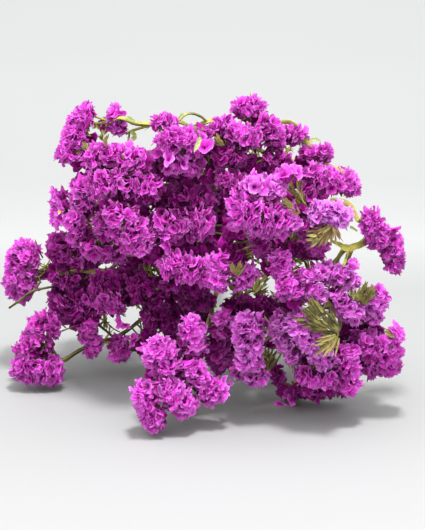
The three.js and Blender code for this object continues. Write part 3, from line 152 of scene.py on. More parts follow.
# stem node: tubes of (kind, level, core radius, points from the root outwards); the core radius is not read as a size,
# and a zero there paints that tube dark as painted shade
STEMS = {
    "stem_1": [
        ("trunk", 0, 2.30, [[13.46, 191.37, 14.6], [13.68, 172.36, 19.61], [13.85, 153.93, 24.69], [14.0, 136.0, 29.74], [14.15, 118.48, 34.78], [14.25, 101.34, 39.91], [14.34, 84.65, 44.53], [14.46, 68.45, 47.31], [14.46, 58.85, 50.09], [14.46, 49.24, 52.88], [14.19, 38.5, 57.78], [13.76, 26.92, 63.01], [13.35, 14.94, 69.4], [12.81, 3.11, 77.4], [11.97, -8.38, 86.93], [10.87, -19.71, 97.85], [9.58, -30.98, 110.13], [8.09, -42.18, 123.79]]),
        ("branch", 1, 1.55, [[8.09, -42.18, 123.79], [8.15, -49.01, 132.35], [10.09, -56.33, 141.99], [13.92, -64.15, 152.72], [19.63, -72.47, 164.52]]),
        ("chain", 2, 1.30, [[19.63, -72.47, 164.52], [22.15, -75.71, 169.2], [12.81, -80.63, 182.34], [6.8, -86.63, 183.57], [-3.13, -90.63, 181.02], [-12.34, -92.63, 184.8], [-27.46, -94.63, 183.87], [-41.3, -94.63, 184.54], [-50.45, -94.63, 187.88], [-58.54, -87.05, 182.75]]),
        ("branch", 2, 1.35, [[19.63, -72.47, 164.52], [24.41, -81.26, 171.69], [29.67, -95.91, 176.31]]),
        ("stalk", 3, 1.15, [[29.67, -95.91, 176.31], [28.8, -104.15, 178.43], [21.4, -113.6, 181.9]]),
        ("stalk", 3, 1.15, [[29.67, -95.91, 176.31], [32.16, -101.86, 182.17], [34.45, -103.15, 196.59]]),
        ("branch", 1, 1.55, [[8.09, -42.18, 123.79], [2.94, -52.53, 128.82], [-10.38, -67.67, 124.51]]),
        ("stalk", 2, 1.15, [[-10.38, -67.67, 124.51], [-13.27, -78.53, 120.16]]),
        ("branch", 2, 1.35, [[-10.38, -67.67, 124.51], [-16.04, -74.61, 123.77], [-20.52, -82.85, 128.01], [-23.81, -92.39, 137.21], [-25.93, -103.22, 151.39]]),
        ("stalk", 3, 1.15, [[-25.93, -103.22, 151.39], [-28.93, -109.56, 157.87], [-36.52, -117.84, 161.7], [-48.69, -128.06, 162.88]]),
        ("stalk", 3, 1.15, [[-25.93, -103.22, 151.39], [-24.62, -110.31, 160.02], [-19.08, -119.4, 168.23], [-9.31, -130.51, 176.02]]),
        ("twig", 4, 1.10, [[6.8, -86.63, 183.57], [3.51, -89.63, 187.54], [-2.38, -93.63, 190.68], [-7.59, -96.63, 190.28], [-12.11, -100.63, 187.1], [-19.38, -107.88, 188.41]]),
        ("twig", 4, 1.10, [[-27.46, -94.63, 183.87], [-42.17, -92.63, 179.43], [-47.0, -90.63, 176.3]]),
    ],
    "stem_2": [
        ("trunk", 0, 2.30, [[3.46, 184.37, 10.6], [5.42, 163.34, 16.8], [7.02, 142.96, 22.81], [8.16, 123.37, 28.71], [8.71, 104.66, 34.52], [9.02, 86.39, 40.01], [9.87, 67.71, 44.76], [9.87, 58.11, 47.55], [9.87, 48.5, 50.33], [7.92, 37.75, 54.32], [3.03, 26.56, 58.52], [-5.12, 15.33, 63.41], [-16.69, 4.21, 69.18]]),
        ("branch", 1, 1.55, [[-16.69, 4.21, 69.18], [-23.57, -3.43, 73.02], [-29.42, -12.25, 77.13], [-34.23, -22.26, 81.49], [-38.01, -33.45, 86.11], [-40.76, -45.83, 90.99], [-42.47, -59.4, 96.13], [-43.15, -74.15, 101.53], [-42.79, -90.09, 107.19], [-41.4, -107.22, 113.11]]),
        ("stalk", 2, 1.15, [[-41.4, -107.22, 113.11], [-40.78, -118.03, 117.05], [-41.08, -130.39, 122.02], [-42.29, -144.3, 128.02]]),
        ("stalk", 2, 1.15, [[-41.4, -107.22, 113.11], [-45.7, -114.64, 116.01], [-60.48, -119.35, 118.71]]),
        ("branch", 1, 1.55, [[-16.69, 4.21, 69.18], [-24.83, -4.52, 72.5], [-34.2, -16.38, 74.92]]),
        ("stalk", 2, 1.15, [[-34.2, -16.38, 74.92], [-40.71, -24.22, 74.41], [-48.39, -31.82, 70.53], [-57.26, -39.2, 63.29], [-67.31, -46.35, 52.69]]),
        ("branch", 2, 1.35, [[-34.2, -16.38, 74.92], [-40.81, -27.7, 79.09], [-45.86, -41.81, 88.68]]),
        ("chain", 3, 1.30, [[-45.86, -41.81, 88.68], [-48.23, -50.4, 95.51], [-53.58, -62.8, 86.94], [-59.91, -74.63, 77.39], [-70.09, -78.63, 76.5], [-78.95, -80.63, 77.16], [-87.3, -80.63, 77.16], [-92.23, -80.55, 72.49]]),
        ("branch", 3, 1.20, [[-45.86, -41.81, 88.68], [-49.64, -49.98, 96.06], [-56.57, -58.56, 105.52]]),
        ("stalk", 4, 1.15, [[-56.57, -58.56, 105.52], [-56.22, -72.75, 103.87]]),
        ("branch", 4, 1.15, [[-56.57, -58.56, 105.52], [-64.27, -66.71, 113.01], [-74.65, -78.02, 119.74]]),
        ("stalk", 5, 1.15, [[-74.65, -78.02, 119.74], [-81.79, -83.57, 122.56], [-92.44, -88.4, 125.16]]),
        ("stalk", 5, 1.15, [[-74.65, -78.02, 119.74], [-78.57, -88.04, 124.93], [-76.24, -102.6, 132.82]]),
        ("twig", 4, 0.00, [[-70.09, -78.63, 76.5], [-82.88, -78.63, 69.14], [-99.37, -76.63, 64.76], [-115.07, -80.63, 62.43], [-124.31, -81.63, 56.11], [-132.14, -82.63, 50.52]]),
        ("twig", 4, 0.00, [[-115.07, -80.63, 62.43], [-110.98, -72.63, 67.85], [-121.25, -66.4, 72.26]]),
    ],
    "stem_3": [
        ("trunk", 0, 2.30, [[-2.54, 189.37, 2.4], [0.75, 170.38, 8.32], [3.53, 151.86, 14.05], [5.72, 133.8, 19.57], [7.14, 116.13, 24.79], [7.79, 98.8, 29.59], [8.33, 82.03, 34.32], [9.87, 66.24, 39.67], [9.87, 56.63, 42.45], [9.87, 47.03, 45.24], [7.96, 33.59, 48.44], [5.23, 19.95, 51.03], [0.62, 5.56, 52.92], [-6.31, -9.81, 54.05], [-15.42, -26.07, 54.46]]),
        ("branch", 1, 1.55, [[-15.42, -26.07, 54.46], [-19.57, -35.76, 55.19], [-21.8, -46.63, 56.96], [-22.12, -58.66, 59.75], [-20.54, -71.87, 63.56], [-17.04, -86.24, 68.4], [-11.63, -101.78, 74.26]]),
        ("stalk", 2, 1.15, [[-11.63, -101.78, 74.26], [-13.56, -109.14, 75.19], [-24.98, -117.02, 72.36]]),
        ("stalk", 2, 1.15, [[-11.63, -101.78, 74.26], [-8.1, -115.16, 78.7], [-6.47, -132.62, 83.05]]),
        ("branch", 1, 1.55, [[-15.42, -26.07, 54.46], [-22.58, -36.16, 53.16], [-33.14, -46.93, 48.81]]),
        ("chain", 2, 0.00, [[-33.14, -46.93, 48.81], [-38.25, -51.55, 46.35], [-35.85, -60.88, 44.98], [-34.01, -70.63, 43.14], [-43.62, -78.63, 37.04], [-58.31, -83.63, 28.39], [-66.76, -84.63, 25.75], [-81.41, -87.63, 21.65], [-95.79, -98.63, 17.81], [-103.79, -94.68, 30.21]]),
        ("stalk", 2, 1.15, [[-33.14, -46.93, 48.81], [-39.57, -54.14, 47.04], [-44.92, -63.15, 48.44], [-49.17, -73.96, 53.01], [-52.34, -86.57, 60.74], [-54.42, -100.97, 71.63]]),
        ("twig", 4, 0.00, [[-66.76, -84.63, 25.75], [-71.43, -95.43, 29.94]]),
        ("twig", 4, 0.00, [[-58.31, -83.63, 28.39], [-72.57, -78.63, 38.55], [-80.79, -75.5, 45.04], [-89.32, -72.18, 51.93]]),
    ],
    "stem_4": [
        ("trunk", 0, 2.30, [[10.96, 188.37, 2.4], [11.75, 169.31, 7.36], [12.44, 150.74, 12.13], [13.12, 132.63, 16.81], [13.81, 114.9, 21.4], [14.3, 97.53, 25.89], [14.47, 80.85, 30.74], [14.46, 65.5, 37.12], [14.46, 55.89, 39.91], [14.46, 46.29, 42.69], [14.26, 34.48, 45.07], [14.48, 22.1, 48.78], [14.83, 9.14, 52.67], [15.21, -4.41, 56.27], [15.63, -18.54, 59.74], [16.15, -33.25, 63.23], [16.75, -48.54, 66.76], [17.46, -64.42, 70.31]]),
        ("branch", 1, 1.55, [[17.46, -64.42, 70.31], [18.64, -73.28, 71.0], [21.48, -84.15, 69.55]]),
        ("chain", 2, 1.30, [[21.48, -84.15, 69.55], [23.58, -90.94, 68.11], [20.58, -97.08, 74.97], [16.89, -104.63, 81.52], [13.45, -122.63, 77.74], [10.13, -132.63, 70.75], [7.95, -136.01, 61.55], [5.52, -138.63, 51.92], [0.26, -142.63, 41.49], [-3.47, -151.11, 36.38], [-8.04, -162.64, 30.58], [-12.61, -174.18, 24.78]]),
        ("stalk", 2, 1.15, [[21.48, -84.15, 69.55], [24.87, -92.69, 67.47], [29.95, -101.96, 64.7], [36.75, -111.94, 61.23]]),
        ("branch", 1, 1.55, [[17.46, -64.42, 70.31], [17.62, -74.82, 73.03], [17.21, -85.98, 76.73], [16.23, -97.91, 81.39], [14.69, -110.6, 87.02], [12.58, -124.05, 93.62]]),
        ("stalk", 2, 1.15, [[12.58, -124.05, 93.62], [7.41, -134.93, 98.12], [-4.53, -146.85, 100.99]]),
        ("stalk", 2, 1.15, [[12.58, -124.05, 93.62], [13.31, -134.82, 97.72], [18.88, -147.44, 99.96], [29.3, -161.92, 100.32]]),
        ("twig", 4, 1.10, [[5.52, -138.63, 51.92], [-2.09, -155.25, 55.53]]),
        ("twig", 4, 1.10, [[10.13, -132.63, 70.75], [12.28, -139.19, 58.34], [14.44, -145.75, 45.92]]),
    ],
    "stem_5": [
        ("trunk", 0, 2.30, [[25.46, 183.37, 2.4], [23.51, 162.38, 9.29], [21.91, 141.97, 15.8], [20.8, 122.19, 21.92], [20.3, 103.1, 27.69], [20.03, 84.58, 33.41], [19.05, 66.24, 39.67], [19.05, 56.63, 42.45], [19.05, 47.03, 45.24], [20.9, 35.04, 47.8], [22.52, 22.49, 49.67], [25.27, 9.37, 50.5], [29.75, -4.34, 50.16], [35.77, -18.62, 48.7], [43.13, -33.48, 46.15], [51.82, -48.91, 42.52]]),
        ("branch", 1, 1.55, [[51.82, -48.91, 42.52], [53.44, -60.71, 40.28], [47.33, -76.67, 38.14]]),
        ("branch", 2, 1.35, [[47.33, -76.67, 38.14], [57.95, -83.77, 23.79]]),
        ("stalk", 3, 1.15, [[57.95, -83.77, 23.79], [63.79, -86.81, 17.81], [67.05, -95.51, 13.36], [67.74, -109.89, 10.44], [65.84, -129.93, 9.06]]),
        ("stalk", 3, 1.15, [[57.95, -83.77, 23.79], [65.5, -87.33, 22.01], [75.02, -97.62, 29.11]]),
        ("branch", 2, 1.35, [[47.33, -76.67, 38.14], [43.9, -86.34, 38.03], [43.31, -97.77, 39.75], [45.56, -110.96, 43.29], [50.66, -125.92, 48.65]]),
        ("stalk", 3, 1.15, [[50.66, -125.92, 48.65], [51.58, -136.41, 51.73], [46.53, -148.96, 53.45], [35.5, -163.55, 53.81]]),
        ("branch", 3, 1.20, [[50.66, -125.92, 48.65], [57.74, -137.52, 51.16], [70.01, -150.54, 50.06]]),
        ("stalk", 4, 1.15, [[70.01, -150.54, 50.06], [74.91, -160.64, 52.74], [72.9, -175.49, 64.05]]),
        ("stalk", 4, 1.15, [[70.01, -150.54, 50.06], [76.18, -159.09, 46.06], [79.6, -170.8, 37.05]]),
        ("branch", 1, 1.55, [[51.82, -48.91, 42.52], [57.35, -57.91, 41.3], [64.05, -67.37, 41.75], [71.93, -77.29, 43.87], [80.97, -87.67, 47.67], [91.19, -98.51, 53.13]]),
        ("stalk", 2, 1.15, [[91.19, -98.51, 53.13], [97.3, -106.23, 57.4], [102.21, -115.62, 62.36], [105.9, -126.7, 68.01], [108.39, -139.45, 74.35], [109.68, -153.89, 81.39]]),
        ("branch", 2, 1.35, [[91.19, -98.51, 53.13], [97.2, -107.56, 53.8], [101.97, -121.14, 48.1]]),
        ("stalk", 3, 1.15, [[101.97, -121.14, 48.1], [105.19, -129.29, 44.09], [110.8, -138.42, 40.66], [118.83, -148.54, 37.82]]),
        ("stalk", 3, 1.15, [[101.97, -121.14, 48.1], [104.24, -128.47, 48.64], [107.57, -137.17, 57.74]]),
    ],
    "stem_6": [
        ("trunk", 0, 2.30, [[24.96, 181.37, 9.6], [23.15, 160.91, 16.41], [21.67, 141.08, 22.94], [20.72, 121.96, 29.21], [20.41, 103.59, 35.16], [20.23, 85.69, 40.52], [19.05, 67.71, 44.76], [19.05, 58.11, 47.55], [19.05, 48.5, 50.33], [20.76, 36.39, 54.87], [22.83, 23.5, 58.78], [26.15, 10.2, 63.07], [31.23, -3.29, 68.08], [38.04, -17.02, 73.62], [46.39, -31.04, 79.57], [56.26, -45.37, 85.96]]),
        ("branch", 1, 1.55, [[56.26, -45.37, 85.96], [61.9, -54.53, 94.54], [65.23, -62.28, 111.47]]),
        ("stalk", 2, 1.15, [[65.23, -62.28, 111.47], [68.79, -72.68, 106.4]]),
        ("branch", 2, 1.35, [[65.23, -62.28, 111.47], [68.69, -70.84, 121.53], [76.56, -88.36, 127.17]]),
        ("chain", 3, 1.30, [[76.56, -88.36, 127.17], [78.39, -92.36, 127.79], [83.57, -100.63, 131.58], [90.73, -108.63, 135.8], [97.63, -112.63, 134.84], [101.88, -116.63, 133.22], [105.97, -123.63, 125.69], [106.42, -132.63, 129.51]]),
        ("stalk", 3, 1.15, [[76.56, -88.36, 127.17], [80.12, -99.16, 131.03], [81.31, -110.82, 139.38], [80.12, -123.35, 152.23]]),
        ("branch", 1, 1.55, [[56.26, -45.37, 85.96], [61.21, -57.2, 86.85], [63.28, -74.14, 81.24]]),
        ("chain", 2, 1.30, [[63.28, -74.14, 81.24], [63.57, -83.28, 77.09], [76.46, -88.9, 76.67], [89.59, -94.63, 78.18], [91.79, -104.63, 89.35], [96.31, -110.63, 99.03], [101.04, -114.63, 105.16], [110.51, -122.63, 111.76], [113.97, -131.26, 120.38]]),
        ("branch", 2, 1.35, [[63.28, -74.14, 81.24], [62.99, -83.62, 79.16], [61.57, -94.36, 80.96], [59.01, -106.37, 86.63], [55.31, -119.65, 96.17]]),
        ("stalk", 3, 1.15, [[55.31, -119.65, 96.17], [53.73, -129.08, 101.31], [53.95, -141.18, 103.38], [55.97, -155.93, 102.38], [59.8, -173.35, 98.3]]),
        ("stalk", 3, 1.15, [[55.31, -119.65, 96.17], [65.88, -127.16, 106.45]]),
        ("twig", 4, 1.10, [[101.04, -114.63, 105.16], [94.24, -120.79, 108.5], [88.27, -128.63, 113.58], [85.75, -136.76, 120.0], [83.97, -146.38, 127.97], [82.19, -156.0, 135.93]]),
        ("twig", 4, 1.10, [[101.04, -114.63, 105.16], [97.2, -128.63, 99.21], [93.39, -142.43, 99.0], [89.05, -158.17, 99.58]]),
    ],
    "stem_7": [
        ("trunk", 0, 2.30, [[15.46, 187.37, 8.4], [15.38, 168.51, 13.63], [15.32, 150.11, 18.73], [15.2, 132.28, 23.69], [15.01, 114.97, 28.53], [14.81, 98.09, 33.28], [14.65, 81.86, 37.89], [14.46, 66.97, 42.21], [14.46, 57.37, 45.0], [14.46, 47.77, 47.79], [14.56, 33.46, 52.57], [16.71, 20.58, 61.3], [20.13, 8.51, 73.24], [24.56, -3.35, 88.08]]),
        ("branch", 1, 1.55, [[24.56, -3.35, 88.08], [26.88, -10.88, 95.7], [28.98, -19.79, 102.32], [30.84, -30.08, 107.92], [32.48, -41.76, 112.52], [33.89, -54.82, 116.11], [35.08, -69.26, 118.7], [36.03, -85.08, 120.28], [36.76, -102.29, 120.84], [37.26, -120.88, 120.41]]),
        ("stalk", 2, 1.15, [[37.26, -120.88, 120.41], [37.75, -131.84, 122.15], [38.78, -142.65, 128.48], [40.35, -153.3, 139.37], [42.45, -163.8, 154.84]]),
        ("stalk", 2, 1.15, [[37.26, -120.88, 120.41], [38.24, -130.78, 118.79], [40.82, -142.45, 114.83]]),
        ("branch", 1, 1.55, [[24.56, -3.35, 88.08], [26.87, -12.07, 96.7], [28.63, -23.66, 105.24], [29.83, -38.11, 113.71]]),
        ("branch", 2, 1.35, [[29.83, -38.11, 113.71], [26.55, -49.24, 116.87], [15.59, -62.58, 115.75]]),
        ("stalk", 3, 1.15, [[15.59, -62.58, 115.75], [17.09, -70.21, 116.2], [36.81, -78.28, 120.87]]),
        ("branch", 3, 1.20, [[15.59, -62.58, 115.75], [9.35, -73.99, 118.34], [8.81, -90.5, 130.11]]),
        ("stalk", 4, 1.15, [[8.81, -90.5, 130.11], [7.56, -99.02, 135.08], [2.01, -109.74, 137.27], [-7.84, -122.66, 136.68]]),
        ("branch", 4, 1.15, [[8.81, -90.5, 130.11], [10.67, -98.22, 138.75], [14.33, -105.45, 151.04]]),
        ("stalk", 5, 1.15, [[14.33, -105.45, 151.04], [14.37, -111.45, 162.11], [8.08, -119.59, 175.44]]),
        ("stalk", 5, 1.15, [[14.33, -105.45, 151.04], [17.96, -114.64, 156.52], [22.56, -132.5, 153.41]]),
        ("branch", 2, 1.35, [[29.83, -38.11, 113.71], [31.35, -46.09, 118.95], [34.99, -53.54, 125.96], [40.74, -60.48, 134.72], [48.59, -66.9, 145.25]]),
        ("chain", 3, 1.30, [[48.59, -66.9, 145.25], [55.32, -71.55, 153.86], [64.6, -83.0, 156.14], [74.05, -94.63, 157.51], [82.18, -100.63, 158.95], [88.68, -102.63, 156.72], [96.05, -102.63, 153.33], [98.32, -102.57, 144.4]]),
        ("branch", 3, 1.20, [[48.59, -66.9, 145.25], [49.82, -73.32, 154.35], [41.0, -83.93, 165.63]]),
        ("chain", 4, 1.30, [[41.0, -83.93, 165.63], [37.49, -87.16, 168.76], [43.14, -94.63, 181.19], [52.78, -98.63, 185.36], [62.48, -100.63, 186.44], [69.21, -103.51, 178.6], [76.46, -106.92, 168.36]]),
        ("stalk", 4, 1.15, [[41.0, -83.93, 165.63], [38.29, -90.44, 170.3], [40.92, -100.08, 174.72], [48.88, -112.86, 178.89]]),
    ],
}
# places on the stems with leaflets: point and direction
LEAFY = {
    "stem_1": [[11.8, -9.7, 88.2, -0.07, -0.72, 0.69], [11.5, -13.7, 92, -0.07, -0.72, 0.69], [11.1, -17.6, 95.8, -0.07, -0.72, 0.69], [10.7, -21.5, 99.8, -0.08, -0.67, 0.73], [10.2, -25.2, 103.8, -0.08, -0.67, 0.73], [9.8, -28.9, 107.8, -0.08, -0.67, 0.73], [9.4, -32.5, 112, -0.08, -0.63, 0.77], [8.9, -36, 116.2, -0.08, -0.63, 0.77], [8.5, -39.4, 120.4, -0.08, -0.63, 0.77], [8.1, -43.4, 125.4, 0.01, -0.62, 0.78], [8.1, -46.9, 129.7, 0.01, -0.62, 0.78], [8.5, -50.2, 134, 0.16, -0.6, 0.79], [9.3, -53.5, 138.3, 0.16, -0.6, 0.79], [10.3, -56.8, 142.6, 0.26, -0.57, 0.78], [11.8, -59.9, 146.9, 0.28, -0.57, 0.78], [13.4, -63, 151.1, 0.28, -0.57, 0.78], [15.2, -66, 155.4, 0.37, -0.54, 0.76], [17.2, -69, 159.5, 0.37, -0.54, 0.76], [19.2, -71.9, 163.7, 0.37, -0.54, 0.76], [20.4, -73.9, 165.7, 0.39, -0.71, 0.58], [22.5, -77.8, 168.9, 0.39, -0.71, 0.58], [24.6, -81.9, 171.9, 0.34, -0.88, 0.33], [26.4, -86.8, 173.5, 0.32, -0.9, 0.28], [28.2, -91.8, 175, 0.32, -0.9, 0.28], [29.5, -97.8, 176.8, -0.1, -0.96, 0.25], [28.9, -103.1, 178.2, -0.1, -0.96, 0.25], [26.2, -107.5, 179.7, -0.59, -0.76, 0.28], [22.9, -111.7, 181.2, -0.59, -0.76, 0.28], [30.2, -97.3, 177.7, 0.29, -0.68, 0.67], [31.8, -101, 181.4, 0.29, -0.68, 0.67], [32.8, -102.2, 186.4, 0.16, -0.09, 0.98], [33.7, -102.7, 191.8, 0.16, -0.09, 0.98], [7.3, -43.8, 124.6, -0.41, -0.82, 0.4], [5, -48.3, 126.8, -0.41, -0.82, 0.4], [2.7, -52.8, 128.7, -0.6, -0.8, -0.03], [-0.9, -56.9, 127.6, -0.65, -0.73, -0.21], [-4.4, -60.9, 126.4, -0.65, -0.73, -0.21], [-8, -64.9, 125.3, -0.65, -0.73, -0.21], [-10.9, -69.5, 123.8, -0.24, -0.9, -0.36], [-12.2, -74.4, 121.8, -0.24, -0.9, -0.36], [-11.6, -69.2, 124.3, -0.63, -0.77, -0.08], [-15.1, -73.5, 123.9, -0.63, -0.77, -0.08], [-17.8, -77.8, 125.4, -0.44, -0.8, 0.41], [-20.2, -82.2, 127.7, -0.42, -0.79, 0.44], [-21.7, -86.1, 131.2, -0.24, -0.7, 0.67], [-23, -90, 134.9, -0.24, -0.7, 0.67], [-24.1, -93.6, 138.8, -0.12, -0.6, 0.79], [-24.7, -96.9, 143.2, -0.12, -0.6, 0.79], [-25.4, -100.3, 147.5, -0.12, -0.6, 0.79], [-26.6, -104.5, 152.7, -0.31, -0.66, 0.68], [-28.3, -108.2, 156.5, -0.31, -0.66, 0.68], [-31.1, -112, 159, -0.64, -0.7, 0.32], [-34.7, -115.8, 160.8, -0.64, -0.7, 0.32], [-38.5, -119.5, 161.9, -0.76, -0.64, 0.07], [-42.7, -123, 162.3, -0.76, -0.64, 0.07], [-46.9, -126.6, 162.7, -0.76, -0.64, 0.07], [-25.7, -104.5, 152.9, 0.12, -0.63, 0.77], [-25.1, -107.9, 157.1, 0.12, -0.63, 0.77], [-23.9, -111.5, 161.1, 0.41, -0.68, 0.61], [-21.6, -115.2, 164.5, 0.41, -0.68, 0.61], [-19.4, -118.9, 167.8, 0.44, -0.68, 0.59], [-16.3, -122.6, 170.5, 0.58, -0.66, 0.47]],
    "stem_2": [[-30.1, -13.7, 77.7, -0.4, -0.84, 0.37], [-32.3, -18.3, 79.8, -0.4, -0.84, 0.37], [-34.5, -22.9, 81.8, -0.31, -0.88, 0.36], [-36.1, -27.8, 83.8, -0.3, -0.88, 0.36], [-37.7, -32.6, 85.8, -0.3, -0.88, 0.36], [-38.9, -37.6, 87.7, -0.2, -0.91, 0.36], [-40, -42.6, 89.7, -0.2, -0.91, 0.36], [-41, -47.7, 91.7, -0.12, -0.93, 0.35], [-41.6, -52.8, 93.6, -0.12, -0.93, 0.35], [-42.3, -57.9, 95.6, -0.12, -0.93, 0.35], [-42.6, -63, 97.5, -0.04, -0.94, 0.34], [-42.9, -68.2, 99.3, -0.04, -0.94, 0.34], [-43.1, -73.3, 101.2, -0.04, -0.94, 0.34], [-43.1, -78.5, 103.1, 0.02, -0.94, 0.33], [-42.9, -83.7, 104.9, 0.02, -0.94, 0.33], [-42.8, -88.9, 106.8, 0.02, -0.94, 0.33], [-42.5, -94.1, 108.6, 0.08, -0.94, 0.33], [-42, -99.2, 110.4, 0.08, -0.94, 0.33], [-41.6, -104.4, 112.1, 0.08, -0.94, 0.33], [-41.3, -109.1, 113.8, 0.05, -0.94, 0.34], [-41, -114.3, 115.7, 0.05, -0.94, 0.34], [-40.8, -119.4, 117.6, -0.02, -0.93, 0.37], [-40.9, -124.5, 119.7, -0.02, -0.93, 0.37], [-42.3, -108.9, 113.8, -0.47, -0.82, 0.32], [-45, -113.4, 115.5, -0.47, -0.82, 0.32], [-49.4, -115.8, 116.7, -0.94, -0.3, 0.17], [-54.6, -117.5, 117.6, -0.94, -0.3, 0.17], [-59.7, -119.1, 118.6, -0.94, -0.3, 0.17], [-31.9, -13.5, 74.3, -0.61, -0.77, 0.16], [-35.5, -17.9, 74.8, -0.64, -0.77, -0.05], [-39, -22.1, 74.5, -0.64, -0.77, -0.05], [-42.6, -26.1, 73.5, -0.67, -0.66, -0.34], [-49.9, -33.1, 69.3, -0.65, -0.54, -0.53], [-53.5, -36.1, 66.4, -0.65, -0.54, -0.53], [-57.1, -39, 63.5, -0.64, -0.51, -0.57], [-60.5, -41.5, 59.9, -0.62, -0.44, -0.65], [-63.9, -43.9, 56.3, -0.62, -0.44, -0.65], [-67.3, -46.3, 52.7, -0.62, -0.44, -0.65], [-35.2, -18, 75.5, -0.48, -0.82, 0.3], [-37.8, -22.6, 77.2, -0.48, -0.82, 0.3], [-40.4, -27.1, 78.9, -0.46, -0.82, 0.33], [-42.2, -31.5, 81.6, -0.28, -0.79, 0.54], [-43.7, -35.8, 84.6, -0.28, -0.79, 0.54], [-45.3, -40.2, 87.6, -0.28, -0.79, 0.54], [-46.5, -43.2, 89.9, -0.32, -0.7, 0.63], [-48.3, -47.1, 93.4, -0.32, -0.7, 0.63], [-50.3, -50.8, 96.9, -0.48, -0.59, 0.65], [-52.9, -54, 100.5, -0.48, -0.59, 0.65], [-55.5, -57.3, 104.1, -0.48, -0.59, 0.65], [-56.5, -60.5, 105.3, 0.02, -0.99, -0.12], [-56.4, -66, 104.7, 0.02, -0.99, -0.12], [-56.3, -71.5, 104, 0.02, -0.99, -0.12], [-57.7, -59.8, 106.6, -0.57, -0.6, 0.56], [-60.9, -63.1, 109.7, -0.57, -0.6, 0.56], [-64, -66.4, 112.7, -0.59, -0.62, 0.52], [-67.4, -70.1, 115, -0.62, -0.67, 0.4], [-70.8, -73.8, 117.2, -0.62, -0.67, 0.4], [-74.2, -77.5, 119.4, -0.62, -0.67, 0.4], [-76.2, -79.2, 120.3, -0.75, -0.59, 0.3], [-80.3, -82.4, 122, -0.75, -0.59, 0.3], [-84.9, -85, 123.3, -0.89, -0.4, 0.22], [-89.8, -87.2, 124.5, -0.89, -0.4, 0.22], [-75.3, -79.7, 120.6, -0.33, -0.84, 0.43], [-77.1, -84.3, 123, -0.33, -0.84, 0.43], [-78.4, -89, 125.4, 0.14, -0.87, 0.47]],
    "stem_3": [[-7, -11, 54.1, -0.49, -0.87, 0.02], [-9.7, -15.8, 54.2, -0.49, -0.87, 0.02], [-12.4, -20.6, 54.3, -0.49, -0.87, 0.02], [-15, -25.4, 54.4, -0.49, -0.87, 0.02], [-16.2, -27.9, 54.6, -0.39, -0.92, 0.07], [-18.4, -32.9, 55, -0.39, -0.92, 0.07], [-20.1, -38.1, 55.6, -0.2, -0.97, 0.16], [-21.1, -43.4, 56.4, -0.2, -0.97, 0.16], [-21.9, -48.8, 57.5, -0.03, -0.97, 0.23], [-22, -54.1, 58.7, -0.03, -0.97, 0.23], [-22, -59.5, 60, 0.1, -0.96, 0.27], [-21.4, -64.7, 61.5, 0.11, -0.95, 0.28], [-20.8, -70, 63, 0.11, -0.95, 0.28], [-19.8, -75.1, 64.6, 0.22, -0.92, 0.31], [-18.5, -80.2, 66.4, 0.22, -0.92, 0.31], [-17.3, -85.3, 68.1, 0.22, -0.92, 0.31], [-15.7, -90.2, 69.9, 0.31, -0.89, 0.34], [-14, -95.1, 71.7, 0.31, -0.89, 0.34], [-12.3, -100, 73.6, 0.31, -0.89, 0.34], [-12.1, -103.7, 74.5, -0.25, -0.96, 0.12], [-13.5, -109, 75.2, -0.52, -0.85, -0.01], [-17.9, -112.1, 74.1, -0.81, -0.56, -0.2], [-22.3, -115.2, 73, -0.81, -0.56, -0.2], [-11.1, -103.6, 74.9, 0.24, -0.92, 0.31], [-9.8, -108.7, 76.6, 0.24, -0.92, 0.31], [-8.5, -113.7, 78.2, 0.24, -0.92, 0.31], [-7.7, -119, 79.7, 0.09, -0.97, 0.24], [-7.2, -124.3, 81, 0.09, -0.97, 0.24], [-6.7, -129.6, 82.3, 0.09, -0.97, 0.24], [-16.6, -27.7, 54.3, -0.58, -0.81, -0.1], [-19.7, -32.2, 53.7, -0.58, -0.81, -0.1], [-23, -36.5, 53, -0.65, -0.72, -0.24], [-26.7, -40.3, 51.5, -0.67, -0.69, -0.28], [-30.4, -44.1, 50, -0.67, -0.69, -0.28], [-34.4, -48.4, 48.4, -0.65, -0.73, -0.18], [-38.1, -52.4, 47.5, -0.65, -0.73, -0.18], [-41.2, -56.8, 47.5, -0.51, -0.85, 0.13], [-44, -61.5, 48.2, -0.51, -0.85, 0.13], [-46.1, -66.3, 49.8, -0.34, -0.87, 0.37], [-48, -71, 51.8, -0.34, -0.87, 0.37], [-49.6, -75.7, 54.1, -0.21, -0.83, 0.51], [-50.8, -80.3, 56.9, -0.21, -0.83, 0.51], [-51.9, -84.9, 59.7, -0.21, -0.83, 0.51], [-52.7, -89.3, 62.8, -0.11, -0.79, 0.6], [-53.4, -93.7, 66.1, -0.11, -0.79, 0.6], [-54, -98.1, 69.4, -0.11, -0.79, 0.6]],
